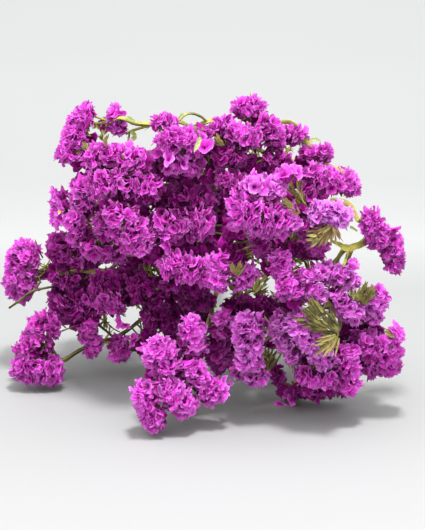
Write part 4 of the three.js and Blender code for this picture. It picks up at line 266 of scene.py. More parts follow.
    "stem_4": [[15.5, -14.7, 58.8, 0.03, -0.97, 0.24], [15.7, -20, 60.1, 0.03, -0.97, 0.23], [15.9, -25.4, 61.4, 0.03, -0.97, 0.23], [16.1, -30.7, 62.6, 0.03, -0.97, 0.23], [16.3, -36.1, 63.9, 0.04, -0.97, 0.22], [16.5, -41.4, 65.1, 0.04, -0.97, 0.22], [16.7, -46.8, 66.4, 0.04, -0.97, 0.22], [16.9, -52.1, 67.6, 0.04, -0.97, 0.22], [17.2, -57.5, 68.8, 0.04, -0.97, 0.22], [17.4, -62.9, 70, 0.04, -0.97, 0.22], [17.7, -66.4, 70.5, 0.13, -0.99, 0.08], [18.4, -71.8, 70.9, 0.13, -0.99, 0.08], [19.7, -77.2, 70.5, 0.25, -0.96, -0.13], [21, -82.4, 69.8, 0.25, -0.96, -0.13], [26.5, -95.7, 66.6, 0.46, -0.85, -0.25], [29.1, -100.4, 65.2, 0.46, -0.85, -0.25], [31.9, -104.9, 63.7, 0.54, -0.79, -0.28], [34.9, -109.2, 62.2, 0.54, -0.79, -0.28], [17.5, -66.4, 70.8, 0.01, -0.97, 0.25], [17.6, -71.7, 72.2, 0.01, -0.97, 0.25], [17.5, -77, 73.7, -0.03, -0.95, 0.31], [17.3, -82.2, 75.5, -0.03, -0.95, 0.31], [17.1, -87.4, 77.3, -0.08, -0.93, 0.36], [16.7, -92.5, 79.3, -0.08, -0.93, 0.36], [16.3, -97.6, 81.3, -0.09, -0.92, 0.38], [15.7, -102.6, 83.5, -0.11, -0.91, 0.4], [15.1, -107.6, 85.7, -0.11, -0.91, 0.4], [14.4, -112.5, 88, -0.14, -0.89, 0.44], [13.6, -117.4, 90.4, -0.14, -0.89, 0.44], [12.9, -122.3, 92.8, -0.14, -0.89, 0.44], [11.8, -125.7, 94.3, -0.4, -0.85, 0.35], [9.6, -130.4, 96.2, -0.4, -0.85, 0.35], [7.3, -135, 98.1, -0.58, -0.77, 0.25], [3.5, -138.9, 99.1, -0.7, -0.7, 0.17], [12.7, -125.9, 94.3, 0.06, -0.93, 0.36], [13.1, -131, 96.3, 0.06, -0.93, 0.36], [13.9, -136.1, 98, 0.4, -0.9, 0.16], [16.1, -141.1, 98.8, 0.4, -0.9, 0.16], [18.3, -146.1, 99.7, 0.4, -0.9, 0.16]],
    "stem_5": [[33.4, -12.9, 49.3, 0.39, -0.92, -0.09], [35.5, -17.9, 48.8, 0.39, -0.91, -0.1], [42.7, -32.6, 46.3, 0.44, -0.89, -0.15], [45.3, -37.3, 45.3, 0.48, -0.85, -0.2], [50.6, -46.7, 43, 0.48, -0.85, -0.2], [52.1, -50.9, 42.2, 0.13, -0.97, -0.18], [52.8, -56.2, 41.1, 0.13, -0.97, -0.18], [53.1, -61.5, 40.2, -0.33, -0.94, -0.13], [51.2, -66.6, 39.5, -0.35, -0.93, -0.12], [49.2, -71.7, 38.8, -0.35, -0.93, -0.12], [48.4, -77.4, 36.6, 0.55, -0.37, -0.75], [51.5, -79.4, 32.5, 0.55, -0.37, -0.75], [54.5, -81.5, 28.4, 0.55, -0.37, -0.75], [57.6, -83.5, 24.3, 0.55, -0.37, -0.75], [59.3, -84.5, 22.4, 0.66, -0.34, -0.67], [62.9, -86.3, 18.7, 0.66, -0.34, -0.67], [65.1, -90.3, 16, 0.32, -0.84, -0.43], [59.7, -84.6, 23.4, 0.88, -0.42, -0.21], [64.6, -86.9, 22.2, 0.88, -0.42, -0.21], [68.2, -90.3, 24, 0.61, -0.65, 0.45], [71.5, -93.9, 26.5, 0.61, -0.65, 0.45], [74.9, -97.5, 29, 0.61, -0.65, 0.45], [46.7, -78.6, 38.1, -0.33, -0.94, -0.01], [43.7, -99.8, 40.3, 0.16, -0.95, 0.26], [64.7, -144.9, 50.5, 0.68, -0.73, -0.06], [68.5, -148.9, 50.2, 0.68, -0.73, -0.06], [70.9, -152.3, 50.5, 0.42, -0.88, 0.23], [73.2, -157.1, 51.8, 0.42, -0.88, 0.23], [71.1, -152.1, 49.4, 0.55, -0.76, -0.35], [74.1, -156.2, 47.4, 0.55, -0.76, -0.35], [76.6, -160.4, 45, 0.23, -0.77, -0.59], [77.8, -164.7, 41.8, 0.23, -0.77, -0.59], [52.9, -50.6, 42.3, 0.52, -0.85, -0.11], [55.7, -55.3, 41.7, 0.52, -0.85, -0.11], [58.7, -59.8, 41.4, 0.58, -0.82, 0.04], [61.9, -64.3, 41.6, 0.58, -0.82, 0.04], [65.1, -68.7, 42, 0.61, -0.77, 0.17], [68.5, -73, 42.9, 0.61, -0.77, 0.17], [78.8, -85.2, 46.8, 0.63, -0.73, 0.27], [95.5, -103.9, 56.1, 0.57, -0.72, 0.4], [98.3, -108.1, 58.4, 0.42, -0.8, 0.42], [100.6, -112.5, 60.7, 0.42, -0.8, 0.42], [102.7, -117, 63, 0.28, -0.85, 0.44], [107.7, -136, 72.7, 0.17, -0.88, 0.44], [108.5, -140.9, 75.1, 0.08, -0.9, 0.44], [109, -145.8, 77.5, 0.08, -0.9, 0.44], [95.3, -104.7, 53.6, 0.55, -0.83, 0.06], [97.9, -109.4, 53, 0.31, -0.88, -0.37], [99.5, -114.2, 51, 0.31, -0.88, -0.37], [101.2, -119.1, 49, 0.31, -0.88, -0.37], [102.6, -122.8, 47.3, 0.33, -0.85, -0.42], [104.5, -127.5, 45, 0.33, -0.85, -0.42], [109.6, -136.5, 41.4, 0.5, -0.81, -0.3], [112.7, -140.8, 40, 0.61, -0.77, -0.21], [102.6, -123, 48.2, 0.3, -0.95, 0.07], [104.2, -128.3, 48.6, 0.3, -0.89, 0.34], [105.6, -132, 52.3, 0.26, -0.67, 0.7], [107, -135.7, 56.2, 0.26, -0.67, 0.7]],
    "stem_6": [[35.4, -11.7, 71.5, 0.42, -0.84, 0.34], [37.7, -16.3, 73.3, 0.42, -0.84, 0.34], [40.3, -20.8, 75.2, 0.48, -0.81, 0.34], [42.9, -25.2, 77.1, 0.48, -0.81, 0.34], [45.6, -29.7, 79, 0.48, -0.81, 0.34], [48.4, -34, 80.9, 0.53, -0.77, 0.34], [51.3, -38.2, 82.8, 0.53, -0.77, 0.34], [54.3, -42.5, 84.7, 0.53, -0.77, 0.34], [57.1, -46.7, 87.2, 0.41, -0.67, 0.62], [59.3, -50.4, 90.6, 0.41, -0.67, 0.62], [61.6, -54, 94.1, 0.39, -0.64, 0.66], [62.7, -56.5, 98.8, 0.18, -0.41, 0.9], [63.7, -58.7, 103.7, 0.18, -0.41, 0.9], [64.7, -61, 108.6, 0.18, -0.41, 0.9], [67.4, -68.7, 108.3, 0.29, -0.86, -0.42], [67.1, -67, 117, 0.25, -0.63, 0.74], [68.5, -70.4, 121, 0.28, -0.68, 0.67], [80.2, -100, 131.6, 0.08, -0.81, 0.58], [80.7, -104.4, 134.8, 0.08, -0.81, 0.58], [81.1, -108.9, 138, 0.08, -0.81, 0.58], [81.1, -113, 141.6, -0.07, -0.7, 0.71], [80.7, -116.8, 145.5, -0.07, -0.7, 0.71], [57, -47.2, 86.1, 0.39, -0.92, 0.07], [59.1, -52.3, 86.5, 0.39, -0.92, 0.07], [61.2, -57.3, 86.8, 0.24, -0.96, -0.15], [61.9, -62.5, 85.1, 0.12, -0.94, -0.31], [62.6, -86.8, 79.7, -0.13, -0.98, 0.16], [61.9, -92.2, 80.6, -0.13, -0.98, 0.16], [60.9, -97.3, 82.3, -0.19, -0.89, 0.42], [59.9, -102.2, 84.7, -0.19, -0.89, 0.42], [58.8, -107, 87.1, -0.22, -0.8, 0.55], [57.6, -111.3, 90.2, -0.22, -0.79, 0.57], [56.4, -115.7, 93.3, -0.22, -0.79, 0.57], [55, -121.4, 97.1, -0.15, -0.87, 0.47], [54.2, -126.2, 99.7, -0.15, -0.87, 0.47], [53.8, -131.2, 101.7, 0.02, -0.99, 0.17], [57.6, -163.5, 100.6, 0.21, -0.95, -0.22], [58.8, -168.7, 99.4, 0.21, -0.95, -0.22], [56.6, -120.6, 97.4, 0.64, -0.45, 0.62], [63.6, -125.6, 104.2, 0.64, -0.45, 0.62]],
    "stem_7": [[27.3, -12.5, 96.9, 0.19, -0.79, 0.59], [28.3, -16.8, 100.1, 0.19, -0.79, 0.59], [29.3, -21.3, 103.1, 0.16, -0.87, 0.47], [30.1, -26.1, 105.7, 0.16, -0.87, 0.47], [31, -30.9, 108.2, 0.13, -0.92, 0.37], [31.7, -36, 110.2, 0.13, -0.92, 0.36], [32.4, -41, 112.2, 0.13, -0.93, 0.35], [33, -46.3, 113.8, 0.1, -0.96, 0.26], [33.5, -51.6, 115.2, 0.1, -0.96, 0.26], [34.1, -56.9, 116.5, 0.08, -0.98, 0.18], [34.5, -62.3, 117.4, 0.08, -0.98, 0.18], [34.9, -67.7, 118.4, 0.08, -0.98, 0.18], [35.3, -73.1, 119.1, 0.06, -0.99, 0.1], [35.6, -78.6, 119.6, 0.06, -0.99, 0.1], [36, -84, 120.2, 0.06, -0.99, 0.1], [36.2, -89.5, 120.4, 0.04, -1, 0.03], [36.5, -95, 120.6, 0.04, -1, 0.03], [36.7, -100.5, 120.8, 0.04, -1, 0.03], [36.9, -106, 120.8, 0.03, -1, -0.02], [37, -111.5, 120.6, 0.03, -1, -0.02], [37.2, -117, 120.5, 0.03, -1, -0.02], [37.3, -122.9, 120.7, 0.04, -0.99, 0.16], [37.6, -128.3, 121.6, 0.04, -0.99, 0.16], [37.9, -133.5, 123.1, 0.08, -0.86, 0.5], [38.4, -138.2, 125.9, 0.08, -0.86, 0.5], [38.8, -142.9, 128.7, 0.1, -0.76, 0.65], [39.4, -146.7, 132.6, 0.1, -0.7, 0.71], [40.5, -154.1, 140.6, 0.11, -0.56, 0.82], [41.1, -157.2, 145.1, 0.11, -0.56, 0.82], [41.7, -160.3, 149.7, 0.11, -0.56, 0.82], [37.5, -122.8, 120.1, 0.1, -0.98, -0.16], [38, -128.2, 119.2, 0.1, -0.98, -0.16], [38.8, -133.5, 117.9, 0.2, -0.93, -0.31], [26.9, -12.5, 97, 0.14, -0.78, 0.61], [27.6, -16.9, 100.2, 0.12, -0.8, 0.59], [28.3, -21.3, 103.5, 0.12, -0.8, 0.59], [28.8, -25.8, 106.5, 0.07, -0.86, 0.5], [29.2, -30.6, 109.3, 0.07, -0.86, 0.5], [29.6, -35.3, 112.1, 0.07, -0.86, 0.5], [29.3, -40, 114.2, -0.27, -0.93, 0.26], [27.8, -45.1, 115.7, -0.27, -0.93, 0.26], [25.9, -50, 116.8, -0.63, -0.77, -0.06], [22.4, -54.2, 116.5, -0.63, -0.77, -0.06], [19, -58.5, 116.1, -0.63, -0.77, -0.06], [16, -64.5, 115.9, 0.19, -0.98, 0.06], [17, -69.9, 116.2, 0.5, -0.86, 0.13], [21.8, -72.1, 117.3, 0.9, -0.37, 0.21], [26.8, -74.2, 118.5, 0.9, -0.37, 0.21], [31.7, -76.2, 119.7, 0.9, -0.37, 0.21], [36.7, -78.2, 120.8, 0.9, -0.37, 0.21], [14.6, -64.3, 116.1, -0.47, -0.86, 0.2], [12.1, -69, 117.2, -0.47, -0.86, 0.2], [9.5, -73.8, 118.3, -0.32, -0.88, 0.35], [9.2, -78.3, 121.4, -0.03, -0.81, 0.58], [9.1, -82.7, 124.6, -0.03, -0.81, 0.58], [8.9, -87.2, 127.8, -0.03, -0.81, 0.58], [8.6, -92.2, 131.1, -0.13, -0.86, 0.5], [7.9, -96.9, 133.9, -0.13, -0.86, 0.5], [6.2, -101.7, 135.6, -0.45, -0.87, 0.18], [3.7, -106.5, 136.6, -0.45, -0.87, 0.18], [0.9, -111.2, 137.2, -0.61, -0.79, -0.04], [-2.4, -115.5, 137, -0.61, -0.79, -0.04], [-5.7, -119.9, 136.8, -0.61, -0.79, -0.04], [9.1, -91.8, 131.6, 0.16, -0.66, 0.74], [10, -95.4, 135.6, 0.16, -0.66, 0.74], [11, -98.8, 139.8, 0.25, -0.49, 0.83], [12.4, -101.5, 144.4, 0.25, -0.49, 0.83], [13.7, -104.2, 149, 0.25, -0.49, 0.83], [14.3, -106.4, 152.8, 0, -0.48, 0.88], [14.4, -109, 157.6, 0, -0.48, 0.88], [14.2, -111.6, 162.4, -0.27, -0.49, 0.83], [12.2, -114.3, 166.8, -0.37, -0.48, 0.79], [10.1, -117, 171.1, -0.37, -0.48, 0.79], [15, -107.1, 152, 0.32, -0.81, 0.49], [16.7, -111.6, 154.7, 0.32, -0.81, 0.49], [18.4, -116.3, 156.2, 0.25, -0.95, -0.17], [19.7, -121.5, 155.3, 0.25, -0.95, -0.17], [21.1, -126.8, 154.4, 0.25, -0.95, -0.17], [30.1, -39.8, 114.8, 0.16, -0.83, 0.54], [31, -44.3, 117.8, 0.16, -0.83, 0.54], [32.5, -48.4, 121.1, 0.34, -0.69, 0.65], [34.3, -52.2, 124.7, 0.34, -0.69, 0.65], [36.6, -55.5, 128.4, 0.46, -0.55, 0.7], [39.1, -58.5, 132.2, 0.46, -0.55, 0.7], [41.8, -61.3, 136.1, 0.54, -0.44, 0.72], [44.7, -63.7, 140.1, 0.54, -0.44, 0.72], [47.7, -66.1, 144, 0.54, -0.44, 0.72], [48.8, -68, 146.9, 0.11, -0.57, 0.81], [49.4, -71.2, 151.3, 0.11, -0.57, 0.81], [48.9, -74.4, 155.5, -0.49, -0.6, 0.63], [38.6, -89.7, 169.8, -0.31, -0.77, 0.55], [39.4, -94.4, 172.1, 0.24, -0.88, 0.4], [40.7, -99.3, 174.4, 0.26, -0.88, 0.4], [43.3, -103.9, 176, 0.51, -0.82, 0.27], [46.1, -108.4, 177.4, 0.51, -0.82, 0.27]],
}
# side twigs: from, to
SPRAYS = {
    "stem_1": [([33.7, -102.7, 191.8], [35.7, -94.6, 199.2]), ([33.7, -102.7, 191.8], [36.6, -89.6, 194.2]), ([26.4, -86.8, 173.5], [34.2, -79.6, 187.6]), ([24.6, -81.9, 171.9], [35.7, -74.6, 184.5]), ([-56.6, -88.9, 184], [-61.4, -74.6, 182.5]), ([15.2, -66, 155.4], [13.6, -59.6, 162.6]), ([-25.4, -100.3, 147.5], [-27.4, -89.6, 157]), ([8.5, -50.2, 134], [5.2, -49.6, 137.4]), ([-8, -64.9, 125.3], [-24.2, -54.6, 141.5]), ([7.3, -43.8, 124.6], [-1.3, -39.6, 129.8]), ([-0.9, -56.9, 127.6], [-8.1, -54.6, 135.8]), ([9.3, -53.5, 138.3], [3.8, -54.6, 137.2]), ([-21.7, -86.1, 131.2], [-16.4, -79.6, 142.1]), ([-23.9, -111.5, 161.1], [-29.1, -110.2, 167]), ([8.5, -50.2, 134], [-5.1, -44.9, 142.3]), ([-8, -64.9, 125.3], [-23.6, -52, 111.8]), ([-56.6, -88.9, 184], [-77.2, -73.5, 187.8]), ([-56.6, -88.9, 184], [-69, -66.6, 177.1]), ([-46.9, -126.6, 162.7], [-65.4, -111.6, 158.2]), ([10.3, -56.8, 142.6], [19.6, -41.6, 149.6]), ([10.3, -56.8, 142.6], [2.2, -51.9, 149.4]), ([19.2, -71.9, 163.7], [29, -68.4, 160.9]), ([-11.6, -69.2, 124.3], [-21.7, -56.5, 119.4]), ([15.3, -79.3, 178.8], [6.7, -80.6, 171.8]), ([2.7, -52.8, 128.7], [9, -59.3, 130.9]), ([13.4, -63, 151.1], [24.7, -47.4, 155.2]), ([-24.7, -96.9, 143.2], [-31.4, -106.9, 133.7]), ([21.4, -76.1, 170.2], [34.4, -65.6, 173.3]), ([-21.9, -93.9, 184.2], [-23.8, -85.4, 165.6]), ([15.2, -66, 155.4], [11.3, -79.7, 150.3]), ([9.8, -28.9, 107.8], [8.3, -45.6, 93.5]), ([-21.9, -93.9, 184.2], [-23.3, -75.7, 170.9]), ([28.2, -91.8, 175], [28.7, -97.6, 160.7]), ([-21.7, -86.1, 131.2], [-23.3, -71.5, 145.7]), ([-12.2, -74.4, 121.8], [-6.1, -85.8, 123.1]), ([-16.3, -122.6, 170.5], [-8.4, -116.4, 164.3]), ([10.3, -56.8, 142.6], [21.8, -60.2, 137.6]), ([-28.3, -108.2, 156.5], [-28.3, -101.3, 160.6]), ([-44.6, -91.6, 177.9], [-52.6, -81.6, 159.8]), ([-24.7, -96.9, 143.2], [-17.7, -76.4, 156.5])],
    "stem_2": [([-80.3, -82.4, 122], [-80.1, -69.6, 141.7]), ([-60.9, -63.1, 109.7], [-71.9, -44.6, 116.3]), ([-70.8, -73.8, 117.2], [-65.6, -74.6, 124.5]), ([-42.8, -88.9, 106.8], [-37, -84.6, 118]), ([-42.9, -68.2, 99.3], [-36.7, -64.6, 113.8]), ([-43.1, -78.5, 103.1], [-34.8, -74.6, 118.1]), ([-42.6, -63, 97.5], [-36.5, -54.6, 113.9]), ([-88.3, -80.6, 76.2], [-92, -44.6, 91]), ([-55.5, -57.3, 104.1], [-87.8, -44.6, 89.5]), ([-64, -66.4, 112.7], [-83.2, -59.6, 96.3]), ([-117.4, -68.7, 70.6], [-114.6, -49.6, 86.6]), ([-40, -42.6, 89.7], [-20.7, -49.6, 84.3]), ([-41.6, -104.4, 112.1], [-26, -109.6, 100.1]), ([-42, -99.2, 110.4], [-28.9, -104.6, 98.5]), ([-41.6, -52.8, 93.6], [-29, -59.6, 80]), ([-49.9, -33.1, 69.3], [-42.8, -44.6, 69.9]), ([-49.9, -33.1, 69.3], [-45.2, -39.6, 72.8]), ([-53.5, -36.1, 66.4], [-46.1, -49.6, 70]), ([-117.4, -68.7, 70.6], [-106, -49.6, 67.7]), ([-117.4, -68.7, 70.6], [-110.3, -44.6, 66.8]), ([-113, -71.4, 68.7], [-104.5, -59.6, 74.7]), ([-117.4, -68.7, 70.6], [-115.1, -54.6, 76.1]), ([-54.5, -64.4, 85.6], [-57.9, -54.6, 72.4]), ([-91.8, -77.6, 66.8], [-94.9, -69.6, 74.3]), ([-117.4, -68.7, 70.6], [-115.7, -44.6, 57.6]), ([-67.3, -46.3, 52.7], [-69.3, -44.6, 24.2]), ([-67.3, -46.3, 52.7], [-67.7, -54.6, 28]), ([-67.3, -46.3, 52.7], [-80.5, -44.6, 21.1]), ([-42.9, -68.2, 99.3], [-25.1, -71.2, 88.9]), ([-76.9, -98.5, 130.6], [-71.6, -95.5, 140.9]), ([-41.6, -52.8, 93.6], [-12.4, -55.8, 90]), ([-52.9, -54, 100.5], [-75.3, -49.2, 92.5]), ([-91.8, -77.6, 66.8], [-91, -54, 77.5]), ([-54.6, -117.5, 117.6], [-50.5, -119.2, 140.1]), ([-67.4, -70.1, 115], [-87.1, -49.8, 112.1]), ([-41, -47.7, 91.7], [-35.5, -52.5, 77]), ([-41.3, -109.1, 113.8], [-29.1, -106.6, 116.3]), ([-67.4, -70.1, 115], [-72.3, -65, 114.8]), ([-42.9, -68.2, 99.3], [-47.6, -66.9, 105.8]), ([-74.2, -77.5, 119.4], [-65.4, -84, 115.8]), ([-57.7, -59.8, 106.6], [-69.1, -53.9, 101.6]), ([-60.9, -63.1, 109.7], [-73.9, -60.4, 96.5]), ([-76.9, -98.5, 130.6], [-58.2, -88.5, 145.2]), ([-75.3, -79.7, 120.6], [-75.9, -84.7, 116.4]), ([-67.3, -46.3, 52.7], [-83.2, -42.1, 50.3]), ([-67.3, -46.3, 52.7], [-56.4, -45.7, 32.5]), ([-67.3, -46.3, 52.7], [-75.6, -48.7, 34.3]), ([-40.8, -119.4, 117.6], [-32.1, -119.4, 113.7]), ([-76.9, -98.5, 130.6], [-70.2, -102, 118.1]), ([-42.8, -88.9, 106.8], [-48.6, -96, 90.4]), ([-117.4, -68.7, 70.6], [-101.7, -56.3, 86.5]), ([-60.9, -63.1, 109.7], [-51.5, -51.2, 132.7]), ([-42.3, -108.9, 113.8], [-48.2, -102.4, 126]), ([-49.4, -115.8, 116.7], [-51.3, -110.3, 110.8])],
    "stem_3": [([-15.7, -90.2, 69.9], [-29.7, -89.6, 85.2]), ([-22.3, -115.2, 73], [-32.7, -99.6, 84.9]), ([-22.3, -115.2, 73], [-35.4, -99.6, 85.6]), ([-14, -95.1, 71.7], [-28.9, -94.6, 83.9]), ([-12.3, -100, 73.6], [-27.3, -99.6, 84.9]), ([-89.2, -72.2, 51.9], [-85.2, -54.6, 48.8]), ([-81.1, -75.4, 45.3], [-82.1, -59.6, 39.1]), ([-76.9, -77, 42], [-81.3, -64.6, 26.4]), ([-35.6, -62.3, 44.7], [-29, -59.6, 26.8]), ([-22.3, -115.2, 73], [-15.9, -109.6, 38.5]), ([-17.3, -85.3, 68.1], [-23.3, -90.6, 51.6]), ([-17.3, -85.3, 68.1], [-25.3, -87.6, 71.6]), ([-52.3, -81.6, 32], [-46.5, -83.8, 20.3]), ([-89.2, -72.2, 51.9], [-109.9, -63, 37.9]), ([-21.9, -48.8, 57.5], [-26.6, -48.2, 55.9]), ([-30.4, -44.1, 50], [-21.7, -51.4, 38.2]), ([-12.3, -100, 73.6], [2, -100.4, 56.8]), ([-8.5, -113.7, 78.2], [-2.1, -111.9, 92.1]), ([-43.2, -78.3, 37.3], [-25.6, -89.9, 21]), ([-34.6, -67.6, 43.7], [-26.6, -64, 39.4]), ([-51.9, -84.9, 59.7], [-42.5, -85.9, 59.7]), ([-11.1, -103.6, 74.9], [-4.1, -97.9, 84.8]), ([-36.8, -57, 45.5], [-32.3, -58.6, 55.2]), ([-7.2, -124.3, 81], [-0.7, -119.9, 87]), ([-81.1, -75.4, 45.3], [-76, -64.6, 47.5]), ([-38.2, -51.7, 46.3], [-35.8, -51.8, 34.1])],
    "stem_4": [([15.7, -102.6, 83.5], [21.7, -94.6, 99]), ([16.3, -97.6, 81.3], [21.1, -89.6, 99.6]), ([13.6, -117.4, 90.4], [5.5, -109.6, 103.6]), ([29.1, -100.4, 65.2], [46.1, -89.6, 65.6]), ([29.1, -100.4, 65.2], [44.7, -89.6, 64.8]), ([31.9, -104.9, 63.7], [33.9, -104.6, 70.8]), ([19.7, -77.2, 70.5], [28.3, -71.5, 57.2]), ([16.7, -46.8, 66.4], [4, -48.3, 55.1]), ([34.9, -109.2, 62.2], [36.8, -104.6, 54.7]), ([16.7, -46.8, 66.4], [10.2, -42.5, 79.4]), ([29.1, -100.4, 65.2], [16.9, -106.7, 53.5]), ([11.8, -125.7, 94.3], [10.1, -118, 111.6]), ([24.2, -90.9, 67.9], [30.6, -87.6, 60.2]), ([17.3, -82.2, 75.5], [24.5, -76.6, 91.5]), ([3.5, -138.9, 99.1], [-6.2, -124.8, 108])],
    "stem_5": [([65.1, -68.7, 42], [55.3, -74.6, 55.9]), ([65.1, -68.7, 42], [57.4, -74.6, 54.4]), ([58.7, -59.8, 41.4], [56.8, -59.6, 48.3]), ([58.7, -59.8, 41.4], [55.1, -64.6, 52.3]), ([75.4, -81.2, 45.3], [98.3, -59.6, 55.1]), ([51.2, -66.6, 39.5], [42.2, -64.6, 53.9]), ([95.5, -103.9, 56.1], [107, -89.6, 63.4]), ([61.9, -64.3, 41.6], [70.5, -59.6, 46]), ([78.8, -85.2, 46.8], [79.4, -84.6, 49.8]), ([78.8, -85.2, 46.8], [94.4, -79.6, 29.9]), ([99.5, -114.2, 51], [96.9, -109.6, 37.8]), ([99.5, -114.2, 51], [95.6, -109.6, 38.5]), ([43.5, -94.5, 39.3], [22.7, -94.6, 30.4]), ([55.7, -55.3, 41.7], [75.9, -42.3, 40.4]), ([52.9, -50.6, 42.3], [60.9, -42.4, 35.8]), ([43.7, -99.8, 40.3], [37.5, -99.1, 44.5]), ([43.7, -99.8, 40.3], [52.7, -95.2, 50]), ([47, -115.3, 44.8], [29.3, -122.6, 36.7]), ([74.9, -97.5, 29], [103.2, -99.2, 26.8]), ([45.5, -110.3, 43.1], [54, -105.6, 53]), ([49.2, -71.7, 38.8], [23.7, -63.8, 35.3]), ([64.6, -86.9, 22.2], [81.3, -72.4, 15.2]), ([74.9, -97.5, 29], [92.1, -112.6, 19.6]), ([65.1, -68.7, 42], [77.7, -55.5, 54.1]), ([58.7, -59.8, 41.4], [57.4, -57.2, 35]), ([43.7, -99.8, 40.3], [29.4, -100.5, 40.3]), ([46.7, -78.6, 38.1], [51.9, -83.5, 49.6])],
    "stem_6": [([80.7, -116.8, 145.5], [65.3, -109.6, 149.7]), ([68.5, -70.4, 121], [60.2, -64.6, 127.5]), ([67.1, -67, 117], [72.5, -59.6, 121.2]), ([80.7, -116.8, 145.5], [65.9, -109.6, 150.3]), ([74.9, -84.7, 126], [86.2, -84.6, 107.4]), ([45.6, -29.7, 79], [31.1, -39.6, 82.7]), ([45.6, -29.7, 79], [28.2, -39.6, 82.7]), ([51.3, -38.2, 82.8], [34.5, -49.6, 79]), ([51.3, -38.2, 82.8], [36, -49.6, 78.3]), ([56.4, -115.7, 93.3], [36.2, -109.6, 95.2]), ([61.9, -62.5, 85.1], [49.4, -59.6, 65.7]), ([57.6, -111.3, 90.2], [45.9, -104.6, 90.8]), ([60.9, -97.3, 82.3], [46.4, -94.6, 81.8]), ([63.1, -81.5, 79.6], [55.4, -80.9, 87.6]), ([67.1, -67, 117], [87.4, -55.6, 120.2]), ([67.4, -68.7, 108.3], [58.3, -85.6, 101.6]), ([76.4, -88.9, 76.7], [74.4, -95, 91.3]), ([74.9, -84.7, 126], [61.7, -92, 114.4]), ([86.4, -93.2, 77.8], [96.5, -87.1, 67.5]), ([57, -47.2, 86.1], [63.2, -43.8, 78.2]), ([76.4, -88.9, 76.7], [75.2, -89.4, 67.2]), ([76.4, -88.9, 76.7], [75.6, -88.4, 84]), ([58.8, -107, 87.1], [67.8, -111.5, 79.4]), ([71.3, -86.7, 76.8], [66.7, -92.4, 74.3]), ([70.6, -75.1, 122.9], [71.4, -67.2, 135.9]), ([63.6, -125.6, 104.2], [59.3, -121.1, 124.7]), ([80.2, -100, 131.6], [80.8, -109.6, 122.1]), ([63.6, -125.6, 104.2], [71.4, -122, 120.9]), ([56.4, -115.7, 93.3], [49.4, -114.6, 97.2]), ([61.9, -62.5, 85.1], [67.2, -62.7, 83.5]), ([63.1, -72.9, 81.7], [46.9, -74.4, 85.3]), ([63.6, -125.6, 104.2], [66, -112.8, 117.6]), ([58.8, -107, 87.1], [73, -101.3, 102.7]), ([104, -117.1, 107.2], [115.7, -96.8, 111.7]), ([71.3, -86.7, 76.8], [73.9, -76.5, 72.9]), ([63.5, -81, 78.1], [63.7, -78.6, 67]), ([63.1, -72.9, 81.7], [73.7, -70.1, 81.8]), ([70.6, -75.1, 122.9], [82, -68.6, 127.6]), ([93.4, -110.2, 135.4], [90.1, -114.8, 122.6]), ([60.1, -123.1, 100.8], [59.8, -113.7, 108.8]), ([65.7, -63.5, 112.9], [82.6, -42.2, 122.4]), ([62.5, -67.7, 83.4], [74.3, -60.4, 67.2]), ([56.6, -120.6, 97.4], [51, -112.4, 110]), ([57.1, -46.7, 87.2], [72.6, -41.3, 84.1])],
